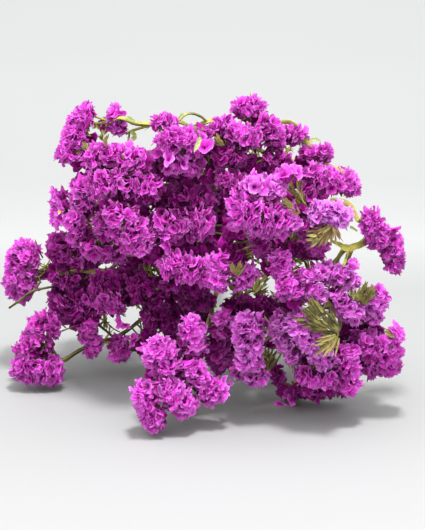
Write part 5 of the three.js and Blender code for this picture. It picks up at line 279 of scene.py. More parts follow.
    "stem_7": [([52.8, -69.8, 150.7], [64.7, -49.6, 158.2]), ([52.8, -69.8, 150.7], [64, -49.6, 156.1]), ([44.7, -63.7, 140.1], [37.3, -54.6, 154.4]), ([39.4, -94.4, 172.1], [37.8, -99.6, 168.2]), ([49.4, -71.2, 151.3], [37.5, -69.6, 153]), ([48.9, -74.4, 155.5], [38.2, -69.6, 155.8]), ([52.8, -69.8, 150.7], [76.5, -44.6, 144.9]), ([44.7, -63.7, 140.1], [45.1, -54.6, 144.4]), ([41.8, -61.3, 136.1], [52.6, -44.6, 137.6]), ([73.2, -93.6, 157.4], [64.1, -99.6, 142.3]), ([62.9, -80.9, 155.7], [67.3, -79.6, 140]), ([73.2, -93.6, 157.4], [61, -104.6, 146.4]), ([69.8, -89.3, 156.9], [62.1, -99.6, 142.3]), ([11, -98.8, 139.8], [8.1, -94.6, 145.9]), ([8.9, -87.2, 127.8], [17.6, -84.6, 130.7]), ([17, -69.9, 116.2], [15, -69.6, 118.1]), ([27.8, -45.1, 115.7], [16.5, -44.6, 105.2]), ([36.9, -106, 120.8], [15.5, -104.6, 111.2]), ([17, -69.9, 116.2], [17.7, -79.6, 103.7]), ([36.2, -89.5, 120.4], [27.9, -89.6, 101.7]), ([21.8, -72.1, 117.3], [24, -74.6, 100.8]), ([37, -111.5, 120.6], [26.1, -109.6, 104.3]), ([26.8, -74.2, 118.5], [24.5, -84.6, 102.3]), ([9.5, -73.8, 118.3], [-5.1, -79.6, 95.8]), ([0.9, -111.2, 137.2], [14.2, -121.2, 128.7]), ([41.8, -61.3, 136.1], [48.1, -43.3, 145.3]), ([37.2, -117, 120.5], [43.8, -119, 114.8]), ([37.6, -128.3, 121.6], [48.5, -125.8, 129]), ([32.4, -41, 112.2], [37.4, -43.6, 108.5]), ([10, -95.4, 135.6], [11.4, -87.2, 142]), ([41.8, -61.3, 136.1], [37, -62.3, 138.4]), ([37, -111.5, 120.6], [42.6, -111.5, 140.6]), ([8.9, -87.2, 127.8], [5, -89.4, 121.5]), ([19.7, -121.5, 155.3], [36.4, -116.7, 145.3]), ([-2.4, -115.5, 137], [-9.2, -108.9, 136.2]), ([19.7, -121.5, 155.3], [26.5, -115.3, 140.1]), ([36.7, -100.5, 120.8], [45.2, -100.1, 138.5]), ([33.5, -51.6, 115.2], [47.7, -52.5, 113.4]), ([9.2, -78.3, 121.4], [11.3, -82.3, 112.8]), ([44.7, -63.7, 140.1], [33.7, -61.4, 146.8]), ([44.7, -63.7, 140.1], [55.9, -61, 135.7]), ([11, -98.8, 139.8], [-1.3, -84.7, 150.8]), ([40.1, -90.7, 174.6], [36.2, -84.5, 178.9]), ([34.3, -52.2, 124.7], [32.3, -40.7, 135.6]), ([36.5, -95, 120.6], [27.2, -97.8, 122.1]), ([8.6, -92.2, 131.1], [0.7, -100.6, 114.5]), ([40.1, -90.7, 174.6], [49.6, -83.1, 175]), ([38, -128.2, 119.2], [24.4, -128.2, 115.1]), ([37.2, -117, 120.5], [29.2, -114.8, 114.5]), ([49.4, -71.2, 151.3], [51.2, -88.9, 138.9]), ([21.1, -126.8, 154.4], [27.7, -126.1, 144.2])],
}
# single things that stand out: spent bract fans, twigs, strap leaves and lone flowers, and tufts deep inside, by the
# node they grow on; the lone flowers' and tufts' own values are painted light and shade, and the tufts' -1.40 paints
# them dark as shade
EXTRAS = {
    "flower_head_01": [
        ("fan", [-62.3, -92.0, 172.5], [-65.3, -92.0, 184.7], 1.5, 8, (4.0, 6.0), (1.0, 1.7), (0.60, 1.00)),
        ("tuft", [-80.4, -90.0, 179.5], [-73.5, -78.6, 171.7], 6, 0.02, -1.40),
        ("tuft", [-84.9, -94.4, 169.3], [-80.1, -82.6, 162.2], 6, 0.02, -1.40),
        ("tuft", [-86.7, -96.1, 165.3], [-79.3, -86.6, 154.9], 6, 0.02, -1.40),
        ("tuft", [-86.3, -95.8, 166.1], [-81.0, -82.6, 158.1], 6, 0.02, -1.40),
        ("tuft", [-53.3, -88.3, 179.9], [-61.2, -78.6, 178.5], 6, 0.02, -1.40),
        ("tuft", [-80.5, -90.1, 179.3], [-77.5, -78.6, 173.0], 6, 0.02, -1.40),
    ],
    "flower_head_02": [
        ("fan", [-56.8, -133.6, 177.2], [-59.1, -133.6, 186.8], 1.7, 8, (4.0, 6.0), (1.0, 1.7), (0.35, 0.85)),
        ("fan", [-68.1, -135.6, 176.4], [-71.1, -135.6, 180.9], 1.7, 6, (4.0, 6.0), (1.6, 2.6), (0.35, 0.60)),
        ("tuft", [-61.8, -132.6, 160.7], [-69.1, -122.6, 160.2], 6, 0.02, -1.40),
        ("tuft", [-38.6, -137.4, 152.0], [-39.4, -130.6, 139.1], 6, 0.02, -1.40),
        ("tuft", [-33.8, -132.6, 158.1], [-26.1, -118.6, 157.9], 6, 0.02, -1.40),
    ],
    "flower_head_04": [
        ("leaf", [[2.7, -146.1, 186.3], [1.4, -146.1, 181.9], [-1.1, -146.1, 176.8]], 3.00, 0.85, 2),
        ("twig", [[-1.0, -142.1, 192.4], [0.8, -142.1, 188.6], [2.0, -142.1, 184.8]], 0.60, 0.50, 0.50),
        ("lone", [[-17.4, -142.6, 174.1]], [-0.1, -0.8, 0.6], 6.0, 0.55, 0.35, 1.60, 0),
        ("lone", [[-8.1, -139.6, 169.5]], [0.2, -0.8, 0.6], 5.6, 0.45, 0.30, 1.40, 0),
        ("lone", [[5.8, -141.6, 179.6]], [0.1, -0.9, 0.5], 5.4, 0.90, 0.10, 0.90, 0),
        ("tuft", [-15.4, -129.7, 165.9], [-24.7, -118.6, 167.9], 6, 0.02, -1.40),
        ("tuft", [-0.7, -129.7, 164.6], [6.3, -122.6, 155.6], 6, 0.02, -1.40),
        ("tuft", [-15.4, -129.7, 165.9], [-22.1, -122.6, 156.9], 6, 0.02, -1.40),
    ],
    "flower_head_06": [
        ("fan", [19.7, -122.6, 175.4], [10.8, -122.6, 180.6], 2.7, 26, (3.0, 4.6), (1.0, 1.8), (0.62, 0.90)),
        ("tuft", [20.3, -114.5, 183.5], [15.4, -106.6, 173.8], 6, 0.02, -1.40),
    ],
    "flower_head_07": [
        ("tuft", [35.4, -104.6, 198.4], [38.2, -102.6, 187.5], 6, 0.02, -1.40),
        ("tuft", [38.0, -104.6, 199.1], [41.1, -94.6, 189.2], 6, 0.02, -1.40),
    ],
    "flower_head_08": [
        ("tuft", [-124.4, -69.6, 70.3], [-109.9, -58.6, 67.6], 6, 0.02, -1.40),
        ("tuft", [-123.9, -69.6, 72.6], [-128.0, -50.6, 73.3], 6, 0.02, -1.40),
    ],
    "flower_head_09": [
        ("tuft", [-99.0, -83.8, 71.6], [-100.1, -66.6, 75.5], 6, 0.02, -1.40),
    ],
    "flower_head_10": [
        ("lone", [[-92.3, -100.1, 125.2]], [-0.7, -0.6, 0.2], 1.5, 0.90, 0.00, 0.30, 3),
        ("lone", [[-96.6, -95.1, 134.9], [-98.2, -95.1, 126.6], [-96.6, -95.1, 116.8]], [-0.85, -0.5, 0.15], 6.2, 0.35, 0.25, 1.00, 0),
        ("lone", [[-93.8, -97.6, 130.1], [-93.4, -97.6, 121.0]], [-0.6, -0.8, 0.1], 6.0, 0.45, 0.20, 0.90, 0),
    ],
    "flower_head_11": [
        ("tuft", [-76.4, -104.6, 129.2], [-68.6, -94.6, 127.9], 6, 0.02, -1.40),
        ("tuft", [-76.4, -104.6, 130.3], [-61.8, -102.6, 131.4], 6, 0.02, -1.40),
        ("tuft", [-77.3, -104.6, 141.6], [-76.5, -90.6, 145.5], 6, 0.02, -1.40),
        ("tuft", [-77.7, -109.6, 112.0], [-73.7, -98.6, 104.5], 6, 0.02, -1.40),
    ],
    "flower_head_12": [
        ("lone", [[-53.3, -116.6, 52.8], [-50.0, -116.6, 50.6]], [-0.3, -0.9, 0.3], 4.4, 0.50, 0.10, 0.20, 0),
    ],
    "flower_head_13": [
        ("tuft", [-49.0, -122.9, 101.8], [-30.3, -118.6, 98.1], 6, 0.02, -1.40),
        ("tuft", [-49.0, -122.9, 101.8], [-32.9, -118.6, 101.6], 6, 0.02, -1.40),
        ("tuft", [-61.2, -121.6, 124.1], [-56.5, -118.6, 136.5], 6, 0.02, -1.40),
        ("tuft", [-61.2, -121.6, 124.1], [-51.2, -118.6, 137.1], 6, 0.02, -1.40),
    ],
    "flower_head_16": [
        ("tuft", [-113.9, -96.4, 24.4], [-105.2, -86.6, 11.4], 6, 0.02, -1.40),
    ],
    "flower_head_17": [
        ("tuft", [-79.0, -77.9, 39.0], [-80.1, -70.6, 25.6], 6, 0.02, -1.40),
    ],
    "flower_head_18": [
        ("lone", [[-45.2, -109.6, 39.2], [-42.6, -109.6, 36.3]], [0.2, -0.8, 0.5], 4.2, 0.50, 0.10, 0.20, 0),
        ("tuft", [-54.7, -95.5, 26.3], [-38.9, -90.6, 31.1], 6, 0.02, -1.40),
        ("tuft", [-54.7, -95.5, 26.3], [-39.6, -90.6, 26.6], 6, 0.02, -1.40),
        ("tuft", [-54.8, -95.5, 21.7], [-40.4, -90.6, 21.3], 6, 0.02, -1.40),
        ("tuft", [-54.7, -95.5, 26.3], [-33.9, -90.6, 34.9], 6, 0.02, -1.40),
    ],
    "flower_head_19": [
        ("tuft", [-45.7, -102.5, 74.4], [-40.3, -86.6, 79.9], 6, 0.02, -1.40),
        ("tuft", [-46.9, -102.5, 74.4], [-46.9, -90.6, 84.8], 6, 0.02, -1.40),
        ("tuft", [-45.7, -102.5, 74.4], [-36.7, -98.6, 91.7], 6, 0.02, -1.40),
        ("tuft", [-45.7, -102.5, 74.4], [-40.8, -98.6, 91.0], 6, 0.02, -1.40),
        ("tuft", [-51.2, -102.5, 74.4], [-51.2, -86.6, 85.0], 6, 0.02, -1.40),
    ],
    "flower_head_20": [
        ("tuft", [-13.6, -119.6, 57.5], [-14.4, -110.6, 41.8], 6, 0.02, -1.40),
        ("tuft", [-18.4, -119.6, 57.8], [-19.2, -110.6, 44.0], 6, 0.02, -1.40),
        ("tuft", [-1.3, -119.6, 56.8], [10.1, -106.6, 50.5], 6, 0.02, -1.40),
        ("tuft", [-19.0, -121.1, 73.2], [-11.5, -106.6, 75.8], 6, 0.02, -1.40),
        ("tuft", [-11.8, -119.6, 57.4], [-12.9, -118.6, 37.7], 6, 0.02, -1.40),
        ("tuft", [-1.3, -119.6, 56.8], [2.6, -102.6, 51.2], 6, 0.02, -1.40),
    ],
    "flower_head_21": [
        ("tuft", [-17.3, -135.3, 85.6], [-24.5, -130.6, 101.2], 6, 0.02, -1.40),
    ],
    "flower_head_22": [
        ("lone", [[17.8, -175.7, 33.6], [19.1, -175.7, 26.7]], [0.6, -0.7, 0.2], 5.0, 0.50, 0.20, 0.50, 0),
        ("tuft", [-17.0, -163.7, 38.2], [-28.3, -154.6, 30.9], 6, 0.02, -1.40),
    ],
    "flower_head_23": [
        ("tuft", [-3.0, -149.6, 102.0], [-2.2, -134.6, 106.6], 6, 0.02, -1.40),
        ("tuft", [-13.5, -149.6, 104.0], [-21.6, -134.6, 105.9], 6, 0.02, -1.40),
        ("tuft", [2.5, -149.6, 101.0], [3.7, -134.6, 107.3], 6, 0.02, -1.40),
        ("tuft", [4.4, -149.6, 100.6], [14.7, -134.6, 110.0], 6, 0.02, -1.40),
    ],
    "flower_head_25": [
        ("tuft", [14.7, -147.9, 41.9], [22.1, -134.6, 44.7], 6, 0.02, -1.40),
        ("tuft", [16.7, -147.9, 36.6], [23.4, -134.6, 38.3], 6, 0.02, -1.40),
    ],
    "flower_head_26": [
        ("fan", [25.1, -168.6, 103.6], [26.3, -168.6, 111.5], 3.0, 14, (5.0, 7.0), (1.6, 2.6), (0.80, 1.00)),
        ("twig", [[36.5, -168.6, 91.7], [41.4, -168.6, 95.6], [43.9, -168.6, 100.9], [41.3, -168.6, 105.5]], 0.70, 0.60, 0.50),
        ("fan", [37.6, -171.6, 94.1], [42.5, -171.6, 103.9], 2.7, 12, (5.0, 7.0), (1.6, 2.6), (0.30, 0.70)),
    ],
    "flower_head_27": [
        ("tuft", [47.9, -114.6, 62.1], [60.9, -110.6, 62.1], 6, 0.02, -1.40),
        ("tuft", [47.9, -114.6, 62.1], [60.1, -110.6, 66.4], 6, 0.02, -1.40),
        ("tuft", [25.6, -114.6, 62.1], [24.5, -102.6, 56.3], 6, 0.02, -1.40),
        ("tuft", [25.6, -114.6, 62.1], [23.8, -106.6, 49.1], 6, 0.02, -1.40),
    ],
    "flower_head_28": [
        ("lone", [[21.7, -166.4, 26.8]], [0.7, -0.5, 0.3], 5.6, 0.35, 0.35, 1.20, 0),
    ],
    "flower_head_29": [
        ("fan", [88.5, -182.1, 70.7], [65.8, -182.1, 86.6], 10.0, 130, (5.0, 8.5), (1.2, 2.1), (0.00, 0.62)),
        ("fan", [87.6, -185.6, 69.4], [76.7, -185.6, 58.1], 4.0, 20, (8.0, 13.0), (1.2, 1.9), (0.40, 0.70)),
        ("tuft", [62.5, -170.7, 50.1], [68.9, -158.6, 43.1], 6, 0.02, -1.40),
        ("tuft", [62.5, -170.7, 50.1], [68.2, -158.6, 47.2], 6, 0.02, -1.40),
        ("tuft", [62.5, -170.7, 50.1], [65.5, -158.6, 51.4], 6, 0.02, -1.40),
    ],
    "flower_head_30": [
        ("fan", [47.7, -131.6, 21.9], [47.5, -131.6, 39.9], 4.7, 34, (6.0, 8.0), (1.6, 2.6), (0.25, 0.95)),
        ("fan", [70.2, -134.7, -3.8], [64.8, -134.7, -6.0], 1.0, 4, (4.0, 6.0), (1.6, 2.6), (0.40, 0.60)),
        ("lone", [[55.2, -136.6, 1.5], [63.2, -136.6, 4.4]], [-0.2, -0.8, 0.3], 4.0, 0.50, 0.10, 0.00, 0),
        ("tuft", [49.3, -128.2, 21.0], [47.7, -126.6, 40.8], 6, 0.02, -1.40),
        ("tuft", [49.3, -128.2, 21.0], [59.7, -126.6, 40.8], 6, 0.02, -1.40),
    ],
    "flower_head_32": [
        ("twig", [[90.0, -167.6, 64.5], [88.9, -167.6, 58.4], [85.9, -167.6, 52.9]], 0.70, 0.50, 0.60),
        ("tuft", [81.6, -173.9, 35.1], [82.2, -162.6, 41.9], 6, 0.02, -1.40),
        ("tuft", [71.9, -173.9, 35.9], [72.5, -162.6, 43.3], 6, 0.02, -1.40),
    ],
    "flower_head_33": [
        ("twig", [[93.3, -143.2, 53.0], [89.1, -143.2, 61.4], [81.8, -143.2, 69.0]], 0.70, 0.50, 0.55),
        ("tuft", [105.0, -138.6, 56.1], [102.8, -130.6, 44.5], 6, 0.02, -1.40),
        ("tuft", [100.9, -138.6, 56.9], [95.3, -130.6, 47.4], 6, 0.02, -1.40),
        ("tuft", [100.9, -138.6, 56.9], [98.1, -126.6, 57.3], 6, 0.02, -1.40),
        ("tuft", [109.8, -138.6, 55.1], [113.2, -134.6, 72.9], 6, 0.02, -1.40),
    ],
    "flower_head_34": [
        ("fan", [89.4, -167.2, 64.3], [76.8, -167.2, 86.5], 6.0, 56, (5.0, 9.0), (1.2, 2.0), (0.00, 0.62)),
        ("fan", [104.0, -161.6, 83.2], [111.2, -161.6, 93.3], 4.3, 60, (4.0, 6.5), (1.6, 2.6), (0.25, 0.66)),
        ("tuft", [90.0, -162.4, 83.2], [94.1, -150.6, 88.8], 6, 0.02, -1.40),
        ("tuft", [88.0, -162.4, 84.6], [73.9, -158.6, 75.4], 6, 0.02, -1.40),
    ],
    "flower_head_35": [
        ("fan", [126.3, -158.6, 59.0], [120.4, -158.6, 62.4], 2.0, 8, (4.0, 6.0), (1.6, 2.6), (0.40, 0.70)),
        ("lone", [[130.8, -161.1, 65.4], [128.4, -161.1, 62.7]], [0.5, -0.5, 0.7], 6.2, 0.35, 0.25, 1.00, 0),
    ],
    "flower_head_36": [
        ("tuft", [54.5, -129.6, 107.8], [52.3, -118.6, 113.3], 6, 0.02, -1.40),
    ],
    "flower_head_37": [
        ("tuft", [61.5, -176.6, 97.8], [61.5, -170.6, 87.1], 6, 0.02, -1.40),
        ("tuft", [54.4, -169.6, 103.9], [65.5, -162.6, 99.6], 6, 0.02, -1.40),
    ],
    "flower_head_39": [
        ("fan", [85.4, -161.6, 133.4], [73.8, -161.6, 124.9], 4.7, 44, (5.0, 8.0), (1.0, 1.7), (0.75, 1.20)),
        ("fan", [84.7, -162.2, 133.5], [85.0, -162.2, 123.8], 4.0, 28, (5.0, 8.0), (1.0, 1.7), (0.60, 1.10)),
        ("fan", [75.8, -166.6, 127.1], [70.3, -166.6, 124.5], 2.7, 8, (5.0, 7.0), (1.6, 2.6), (0.45, 0.70)),
        ("tuft", [70.5, -154.9, 128.9], [66.4, -146.6, 137.5], 6, 0.02, -1.40),
    ],
    "flower_head_40": [
        ("fan", [68.2, -137.6, 139.7], [59.6, -137.6, 158.0], 4.0, 44, (5.0, 8.0), (1.0, 1.7), (0.45, 1.00)),
        ("twig", [[69.8, -141.6, 140.8], [67.2, -141.6, 144.7], [63.9, -141.6, 151.2]], 0.80, 0.50, 0.55),
        ("tuft", [71.4, -134.4, 148.0], [61.5, -130.6, 143.7], 6, 0.02, -1.40),
        ("tuft", [76.4, -124.8, 156.1], [65.3, -118.6, 151.3], 6, 0.02, -1.40),
        ("tuft", [77.2, -124.8, 155.9], [72.7, -118.6, 143.2], 6, 0.02, -1.40),
    ],
    "flower_head_41": [
        ("fan", [100.3, -165.1, 86.4], [105.1, -165.1, 93.8], 3.0, 26, (4.0, 6.0), (1.0, 1.7), (0.30, 0.66)),
        ("lone", [[98.6, -162.6, 107.5], [100.4, -162.6, 110.2]], [0.5, -0.5, 0.6], 4.6, 0.40, 0.40, 0.80, 0),
    ],
    "flower_head_43": [
        ("lone", [[-25.3, -147.1, 131.8], [-22.9, -147.1, 123.2], [-19.1, -147.1, 116.5]], [-0.6, -0.75, 0.1], 5.8, 0.45, 0.12, 1.00, 0),
        ("tuft", [-20.3, -123.8, 141.2], [-36.0, -122.6, 134.9], 6, 0.02, -1.40),
        ("tuft", [-11.3, -123.8, 140.8], [-10.9, -110.6, 149.9], 6, 0.02, -1.40),
        ("tuft", [-19.9, -123.8, 141.2], [-19.4, -110.6, 151.3], 6, 0.02, -1.40),
        ("tuft", [-10.3, -136.1, 125.5], [-8.7, -130.6, 108.1], 6, 0.02, -1.40),
        ("tuft", [0.2, -136.1, 126.4], [1.7, -130.6, 110.1], 6, 0.02, -1.40),
        ("tuft", [-19.9, -136.1, 124.7], [-20.5, -130.6, 108.7], 6, 0.02, -1.40),
        ("tuft", [2.5, -136.1, 126.7], [8.2, -130.6, 111.5], 6, 0.02, -1.40),
        ("tuft", [2.5, -136.1, 126.7], [15.4, -122.6, 122.0], 6, 0.02, -1.40),
        ("tuft", [-3.7, -136.1, 126.1], [-2.3, -126.6, 110.2], 6, 0.02, -1.40),
        ("tuft", [-16.0, -136.1, 125.0], [-14.6, -130.6, 109.4], 6, 0.02, -1.40),
        ("tuft", [5.6, -123.8, 139.9], [16.7, -114.6, 135.4], 6, 0.02, -1.40),
        ("tuft", [-1.5, -123.8, 140.3], [-1.0, -110.6, 149.2], 6, 0.02, -1.40),
        ("tuft", [5.6, -123.8, 139.9], [15.4, -110.6, 140.4], 6, 0.02, -1.40),
        ("tuft", [-20.3, -123.8, 141.2], [-32.8, -122.6, 132.2], 6, 0.02, -1.40),
        ("tuft", [2.5, -136.1, 126.7], [15.3, -130.6, 116.9], 6, 0.02, -1.40),
        ("tuft", [2.5, -136.1, 126.7], [19.1, -134.6, 126.2], 6, 0.02, -1.40),
        ("tuft", [-20.3, -123.8, 141.2], [-35.3, -122.6, 138.9], 6, 0.02, -1.40),
        ("tuft", [2.5, -136.1, 126.7], [5.6, -126.6, 113.7], 6, 0.02, -1.40),
        ("tuft", [5.6, -123.8, 139.9], [16.7, -122.6, 126.1], 6, 0.02, -1.40),
        ("tuft", [2.5, -136.1, 126.7], [19.8, -134.6, 119.5], 6, 0.02, -1.40),
        ("tuft", [-19.9, -136.1, 124.7], [-24.3, -130.6, 109.4], 6, 0.02, -1.40),
        ("tuft", [-15.3, -123.8, 141.0], [-14.6, -114.6, 152.9], 6, 0.02, -1.40),
        ("tuft", [-20.3, -123.8, 141.2], [-38.7, -122.6, 131.5], 6, 0.02, -1.40),
        ("tuft", [-7.4, -123.8, 140.6], [-6.9, -110.6, 150.6], 6, 0.02, -1.40),
        ("tuft", [5.6, -123.8, 139.9], [17.3, -122.6, 130.8], 6, 0.02, -1.40),
        ("tuft", [-19.9, -136.1, 124.7], [-28.1, -134.6, 110.0], 6, 0.02, -1.40),
        ("tuft", [-19.9, -136.1, 124.7], [-27.1, -126.6, 111.6], 6, 0.02, -1.40),
        ("tuft", [2.5, -136.1, 126.7], [8.8, -122.6, 115.2], 6, 0.02, -1.40),
        ("tuft", [2.5, -136.1, 126.7], [12.8, -122.6, 117.9], 6, 0.02, -1.40),
        ("tuft", [5.6, -123.8, 139.9], [12.8, -114.6, 128.6], 6, 0.02, -1.40),
        ("tuft", [5.6, -123.8, 139.9], [7.5, -110.6, 128.1], 6, 0.02, -1.40),
    ],
    "flower_head_44": [
        ("tuft", [26.7, -124.8, 167.6], [32.8, -118.6, 158.6], 6, 0.02, -1.40),
        ("tuft", [16.5, -124.8, 168.2], [10.1, -122.6, 156.3], 6, 0.02, -1.40),
        ("tuft", [7.6, -121.0, 171.1], [9.5, -118.6, 159.3], 6, 0.02, -1.40),
        ("tuft", [7.6, -121.0, 171.1], [8.2, -114.6, 162.3], 6, 0.02, -1.40),
        ("tuft", [26.7, -124.8, 167.6], [35.5, -114.6, 164.9], 6, 0.02, -1.40),
    ],
    "flower_head_45": [
        ("tuft", [24.3, -134.6, 154.1], [21.2, -122.6, 144.3], 6, 0.02, -1.40),
    ],
    "flower_head_46": [
        ("tuft", [41.0, -144.6, 113.6], [26.2, -142.6, 107.1], 6, 0.02, -1.40),
        ("tuft", [39.5, -144.6, 117.1], [32.1, -134.6, 118.1], 6, 0.02, -1.40),
        ("tuft", [42.1, -144.6, 111.1], [30.1, -142.6, 104.4], 6, 0.02, -1.40),
        ("tuft", [40.9, -144.6, 113.9], [30.0, -142.6, 109.1], 6, 0.02, -1.40),
        ("tuft", [39.5, -144.6, 117.1], [31.5, -134.6, 114.1], 6, 0.02, -1.40),
        ("tuft", [39.5, -144.6, 117.0], [23.0, -142.6, 109.8], 6, 0.02, -1.40),
        ("tuft", [39.5, -144.6, 117.1], [19.1, -142.6, 115.8], 6, 0.02, -1.40),
        ("tuft", [42.1, -144.6, 111.1], [45.6, -142.6, 99.7], 6, 0.02, -1.40),
        ("tuft", [39.5, -144.6, 117.1], [22.9, -142.6, 124.5], 6, 0.02, -1.40),
        ("tuft", [39.5, -144.6, 117.1], [24.8, -142.6, 120.5], 6, 0.02, -1.40),
        ("tuft", [39.5, -144.6, 117.1], [28.0, -142.6, 124.5], 6, 0.02, -1.40),
    ],
    "flower_head_48": [
        ("fan", [63.2, -174.6, 144.8], [53.8, -174.6, 154.8], 2.7, 16, (5.0, 8.0), (1.0, 1.7), (0.50, 0.90)),
        ("lone", [[57.6, -167.6, 171.8], [61.9, -167.6, 170.6], [54.0, -167.6, 169.3]], [0.1, -0.6, 0.8], 5.4, 0.50, 0.15, 1.30, 0),
    ],
    "flower_head_49": [
        ("tuft", [48.8, -119.6, 166.8], [37.3, -118.6, 161.3], 6, 0.02, -1.40),
        ("tuft", [48.8, -119.6, 166.8], [41.5, -110.6, 161.3], 6, 0.02, -1.40),
        ("tuft", [48.8, -119.6, 166.8], [44.8, -110.6, 158.0], 6, 0.02, -1.40),
        ("tuft", [53.0, -119.6, 165.5], [49.9, -114.6, 155.6], 6, 0.02, -1.40),
    ],
    "flower_head_50": [
        ("tuft", [74.0, -109.1, 167.9], [70.1, -102.6, 160.1], 6, 0.02, -1.40),
    ],
    "stem_1": [
        ("leaf", [[-8.2, -99.1, 192.1], [-10.8, -99.1, 188.8], [-12.2, -99.1, 185.5]], 2.60, 0.75, 2),
        ("leaf", [[-43.4, -94.1, 179.1], [-40.8, -94.1, 175.7], [-43.5, -94.1, 173.0], [-46.1, -94.1, 175.0]], 3.20, 0.50, 2),
        ("leaf", [[-45.7, -96.1, 188.9], [-43.1, -96.1, 186.9], [-40.5, -96.1, 186.2]], 3.00, 0.60, 2),
        ("leaf", [[10.8, -85.1, 183.3], [8.1, -85.1, 179.9], [5.4, -85.1, 177.2]], 2.40, 0.70, 2),
    ],
    "stem_3": [
        ("twig", [[-95.9, -94.7, 44.6], [-91.2, -94.7, 40.1]], 0.60, 0.45, 0.25),
        ("twig", [[-94.0, -95.7, 38.3], [-84.8, -95.7, 42.0]], 0.60, 0.45, 0.25),
        ("twig", [[-63.9, -81.1, 38.7], [-59.1, -81.1, 34.2], [-54.9, -81.1, 32.0]], 0.60, 0.45, 0.25),
        ("twig", [[-61.7, -82.4, 37.7], [-62.6, -82.4, 30.2]], 0.60, 0.45, 0.25),
        ("twig", [[-46.4, -79.9, 34.5], [-42.3, -79.9, 29.2]], 0.60, 0.45, 0.25),
        ("twig", [[-41.5, -76.6, 40.8], [-40.2, -76.6, 34.8], [-40.4, -76.6, 27.9]], 0.60, 0.45, 0.25),
    ],
    "stem_6": [
        ("leaf", [[99.3, -131.9, 124.7], [101.9, -131.9, 122.7], [104.6, -131.9, 121.3]], 1.80, 0.40, 2),
        ("twig", [[99.5, -130.4, 123.6], [104.1, -130.4, 120.9]], 0.60, 0.50, 0.50),
        ("twig", [[96.4, -120.8, 106.4], [93.3, -120.8, 100.8], [90.2, -120.8, 94.6]], 0.80, 0.60, 0.60),
        ("twig", [[96.0, -119.2, 104.5], [93.5, -119.2, 99.7], [89.7, -119.2, 94.8]], 1.00, 0.90, 0.70),
        ("leaf", [[112.1, -126.3, 111.5], [106.9, -126.3, 110.1], [101.1, -126.3, 108.1], [97.1, -126.3, 108.4], [93.1, -126.3, 110.8], [87.8, -126.3, 113.6]], 4.40, 0.72, 0),
        ("twig", [[102.7, -118.1, 104.9], [100.9, -118.1, 99.3], [99.1, -118.1, 93.0]], 1.40, 1.20, 0.45),
    ],
    "stem_7": [
        ("leaf", [[73.4, -106.7, 175.1], [77.3, -106.7, 176.4], [81.3, -106.7, 175.1]], 2.00, 0.60, 2),
    ],
}
TIE = np.array([14.46, 57.37, 45.0])
BUNDLE = np.array([0.0, 1.0, -0.29])
BUNDLE = BUNDLE / np.linalg.norm(BUNDLE)

# ---------------------------------------------------------------- camera
SHIFT = np.array([10.46, -114.63, 0.0])
EL = math.radians(18.0)
LOOK = np.array([0.0, math.cos(EL), -math.sin(EL)])
AIM = np.array([0.0, 0.0, 92.6]) + SHIFT
EYE = AIM - LOOK * 850.0
cam = bpy.data.cameras.new("camera")
cam_obj = bpy.data.objects.new("camera", cam)
bpy.context.scene.collection.objects.link(cam_obj)
cam_obj.location = Vector(EYE * MM)
cam_obj.rotation_euler = Vector(LOOK).to_track_quat("-Z", "Y").to_euler()
cam.sensor_fit = "VERTICAL"
cam.angle = 2 * math.atan(265.0 / 1275.0)
cam.clip_start = 0.01
cam.clip_end = 20
bpy.context.scene.camera = cam_obj


# ---------------------------------------------------------------- small maths
def unit(v):
    v = np.asarray(v, float)
    return v / np.maximum(np.linalg.norm(v, axis=-1, keepdims=True), 1e-9)


def across(w, hint):
    """Two unit vectors square to each row of w, the first as near hint as it can be."""
    a = hint - (hint * w).sum(-1, keepdims=True) * w
    bad = np.linalg.norm(a, axis=-1) < 1e-4
    if np.any(bad):
        alt = np.cross(w, np.array([0.31, 0.92, 0.22]))
        a = np.where(bad[..., None], alt, a)
    a = unit(a)
    return a, np.cross(w, a)


def resample(points, step):
    """A smooth curve through points, cut at even steps."""
    p = np.asarray(points, float)
    if len(p) == 2:
        fine = p[0] + (p[1] - p[0]) * np.linspace(0, 1, 12)[:, None]
    else:
        q = np.vstack([2 * p[0] - p[1], p, 2 * p[-1] - p[-2]])
        t = np.linspace(0, 1, 10, endpoint=False)[:, None]
        rows = []
        for i in range(1, len(q) - 2):
            a, b, c, d = q[i - 1], q[i], q[i + 1], q[i + 2]
            rows.append(0.5 * (2 * b + (c - a) * t + (2 * a - 5 * b + 4 * c - d) * t**2 + (3 * b - 3 * c + d - a) * t**3))
        fine = np.vstack(rows + [p[-1:]])
    s = np.r_[0, np.cumsum(np.linalg.norm(np.diff(fine, axis=0), axis=1))]
    n = max(2, int(round(s[-1] / step)) + 1)
    x = np.linspace(0, s[-1], n)
    return np.stack([np.interp(x, s, fine[:, k]) for k in range(3)], 1), x


def frames(c):
    """Tangent and two turned-along normals for each point of a curve."""
    t = np.gradient(c, axis=0)
    t = unit(t)
    n = np.zeros_like(t)
    start = np.array([0.0, 0.0, 1.0]) if abs(t[0, 2]) < 0.8 else np.array([1.0, 0.0, 0.0])
    n[0] = unit(start - t[0] * (start @ t[0]))
    for i in range(1, len(c)):
        v = n[i - 1] - t[i] * (n[i - 1] @ t[i])
        n[i] = unit(v)
    return t, n, np.cross(t, n)


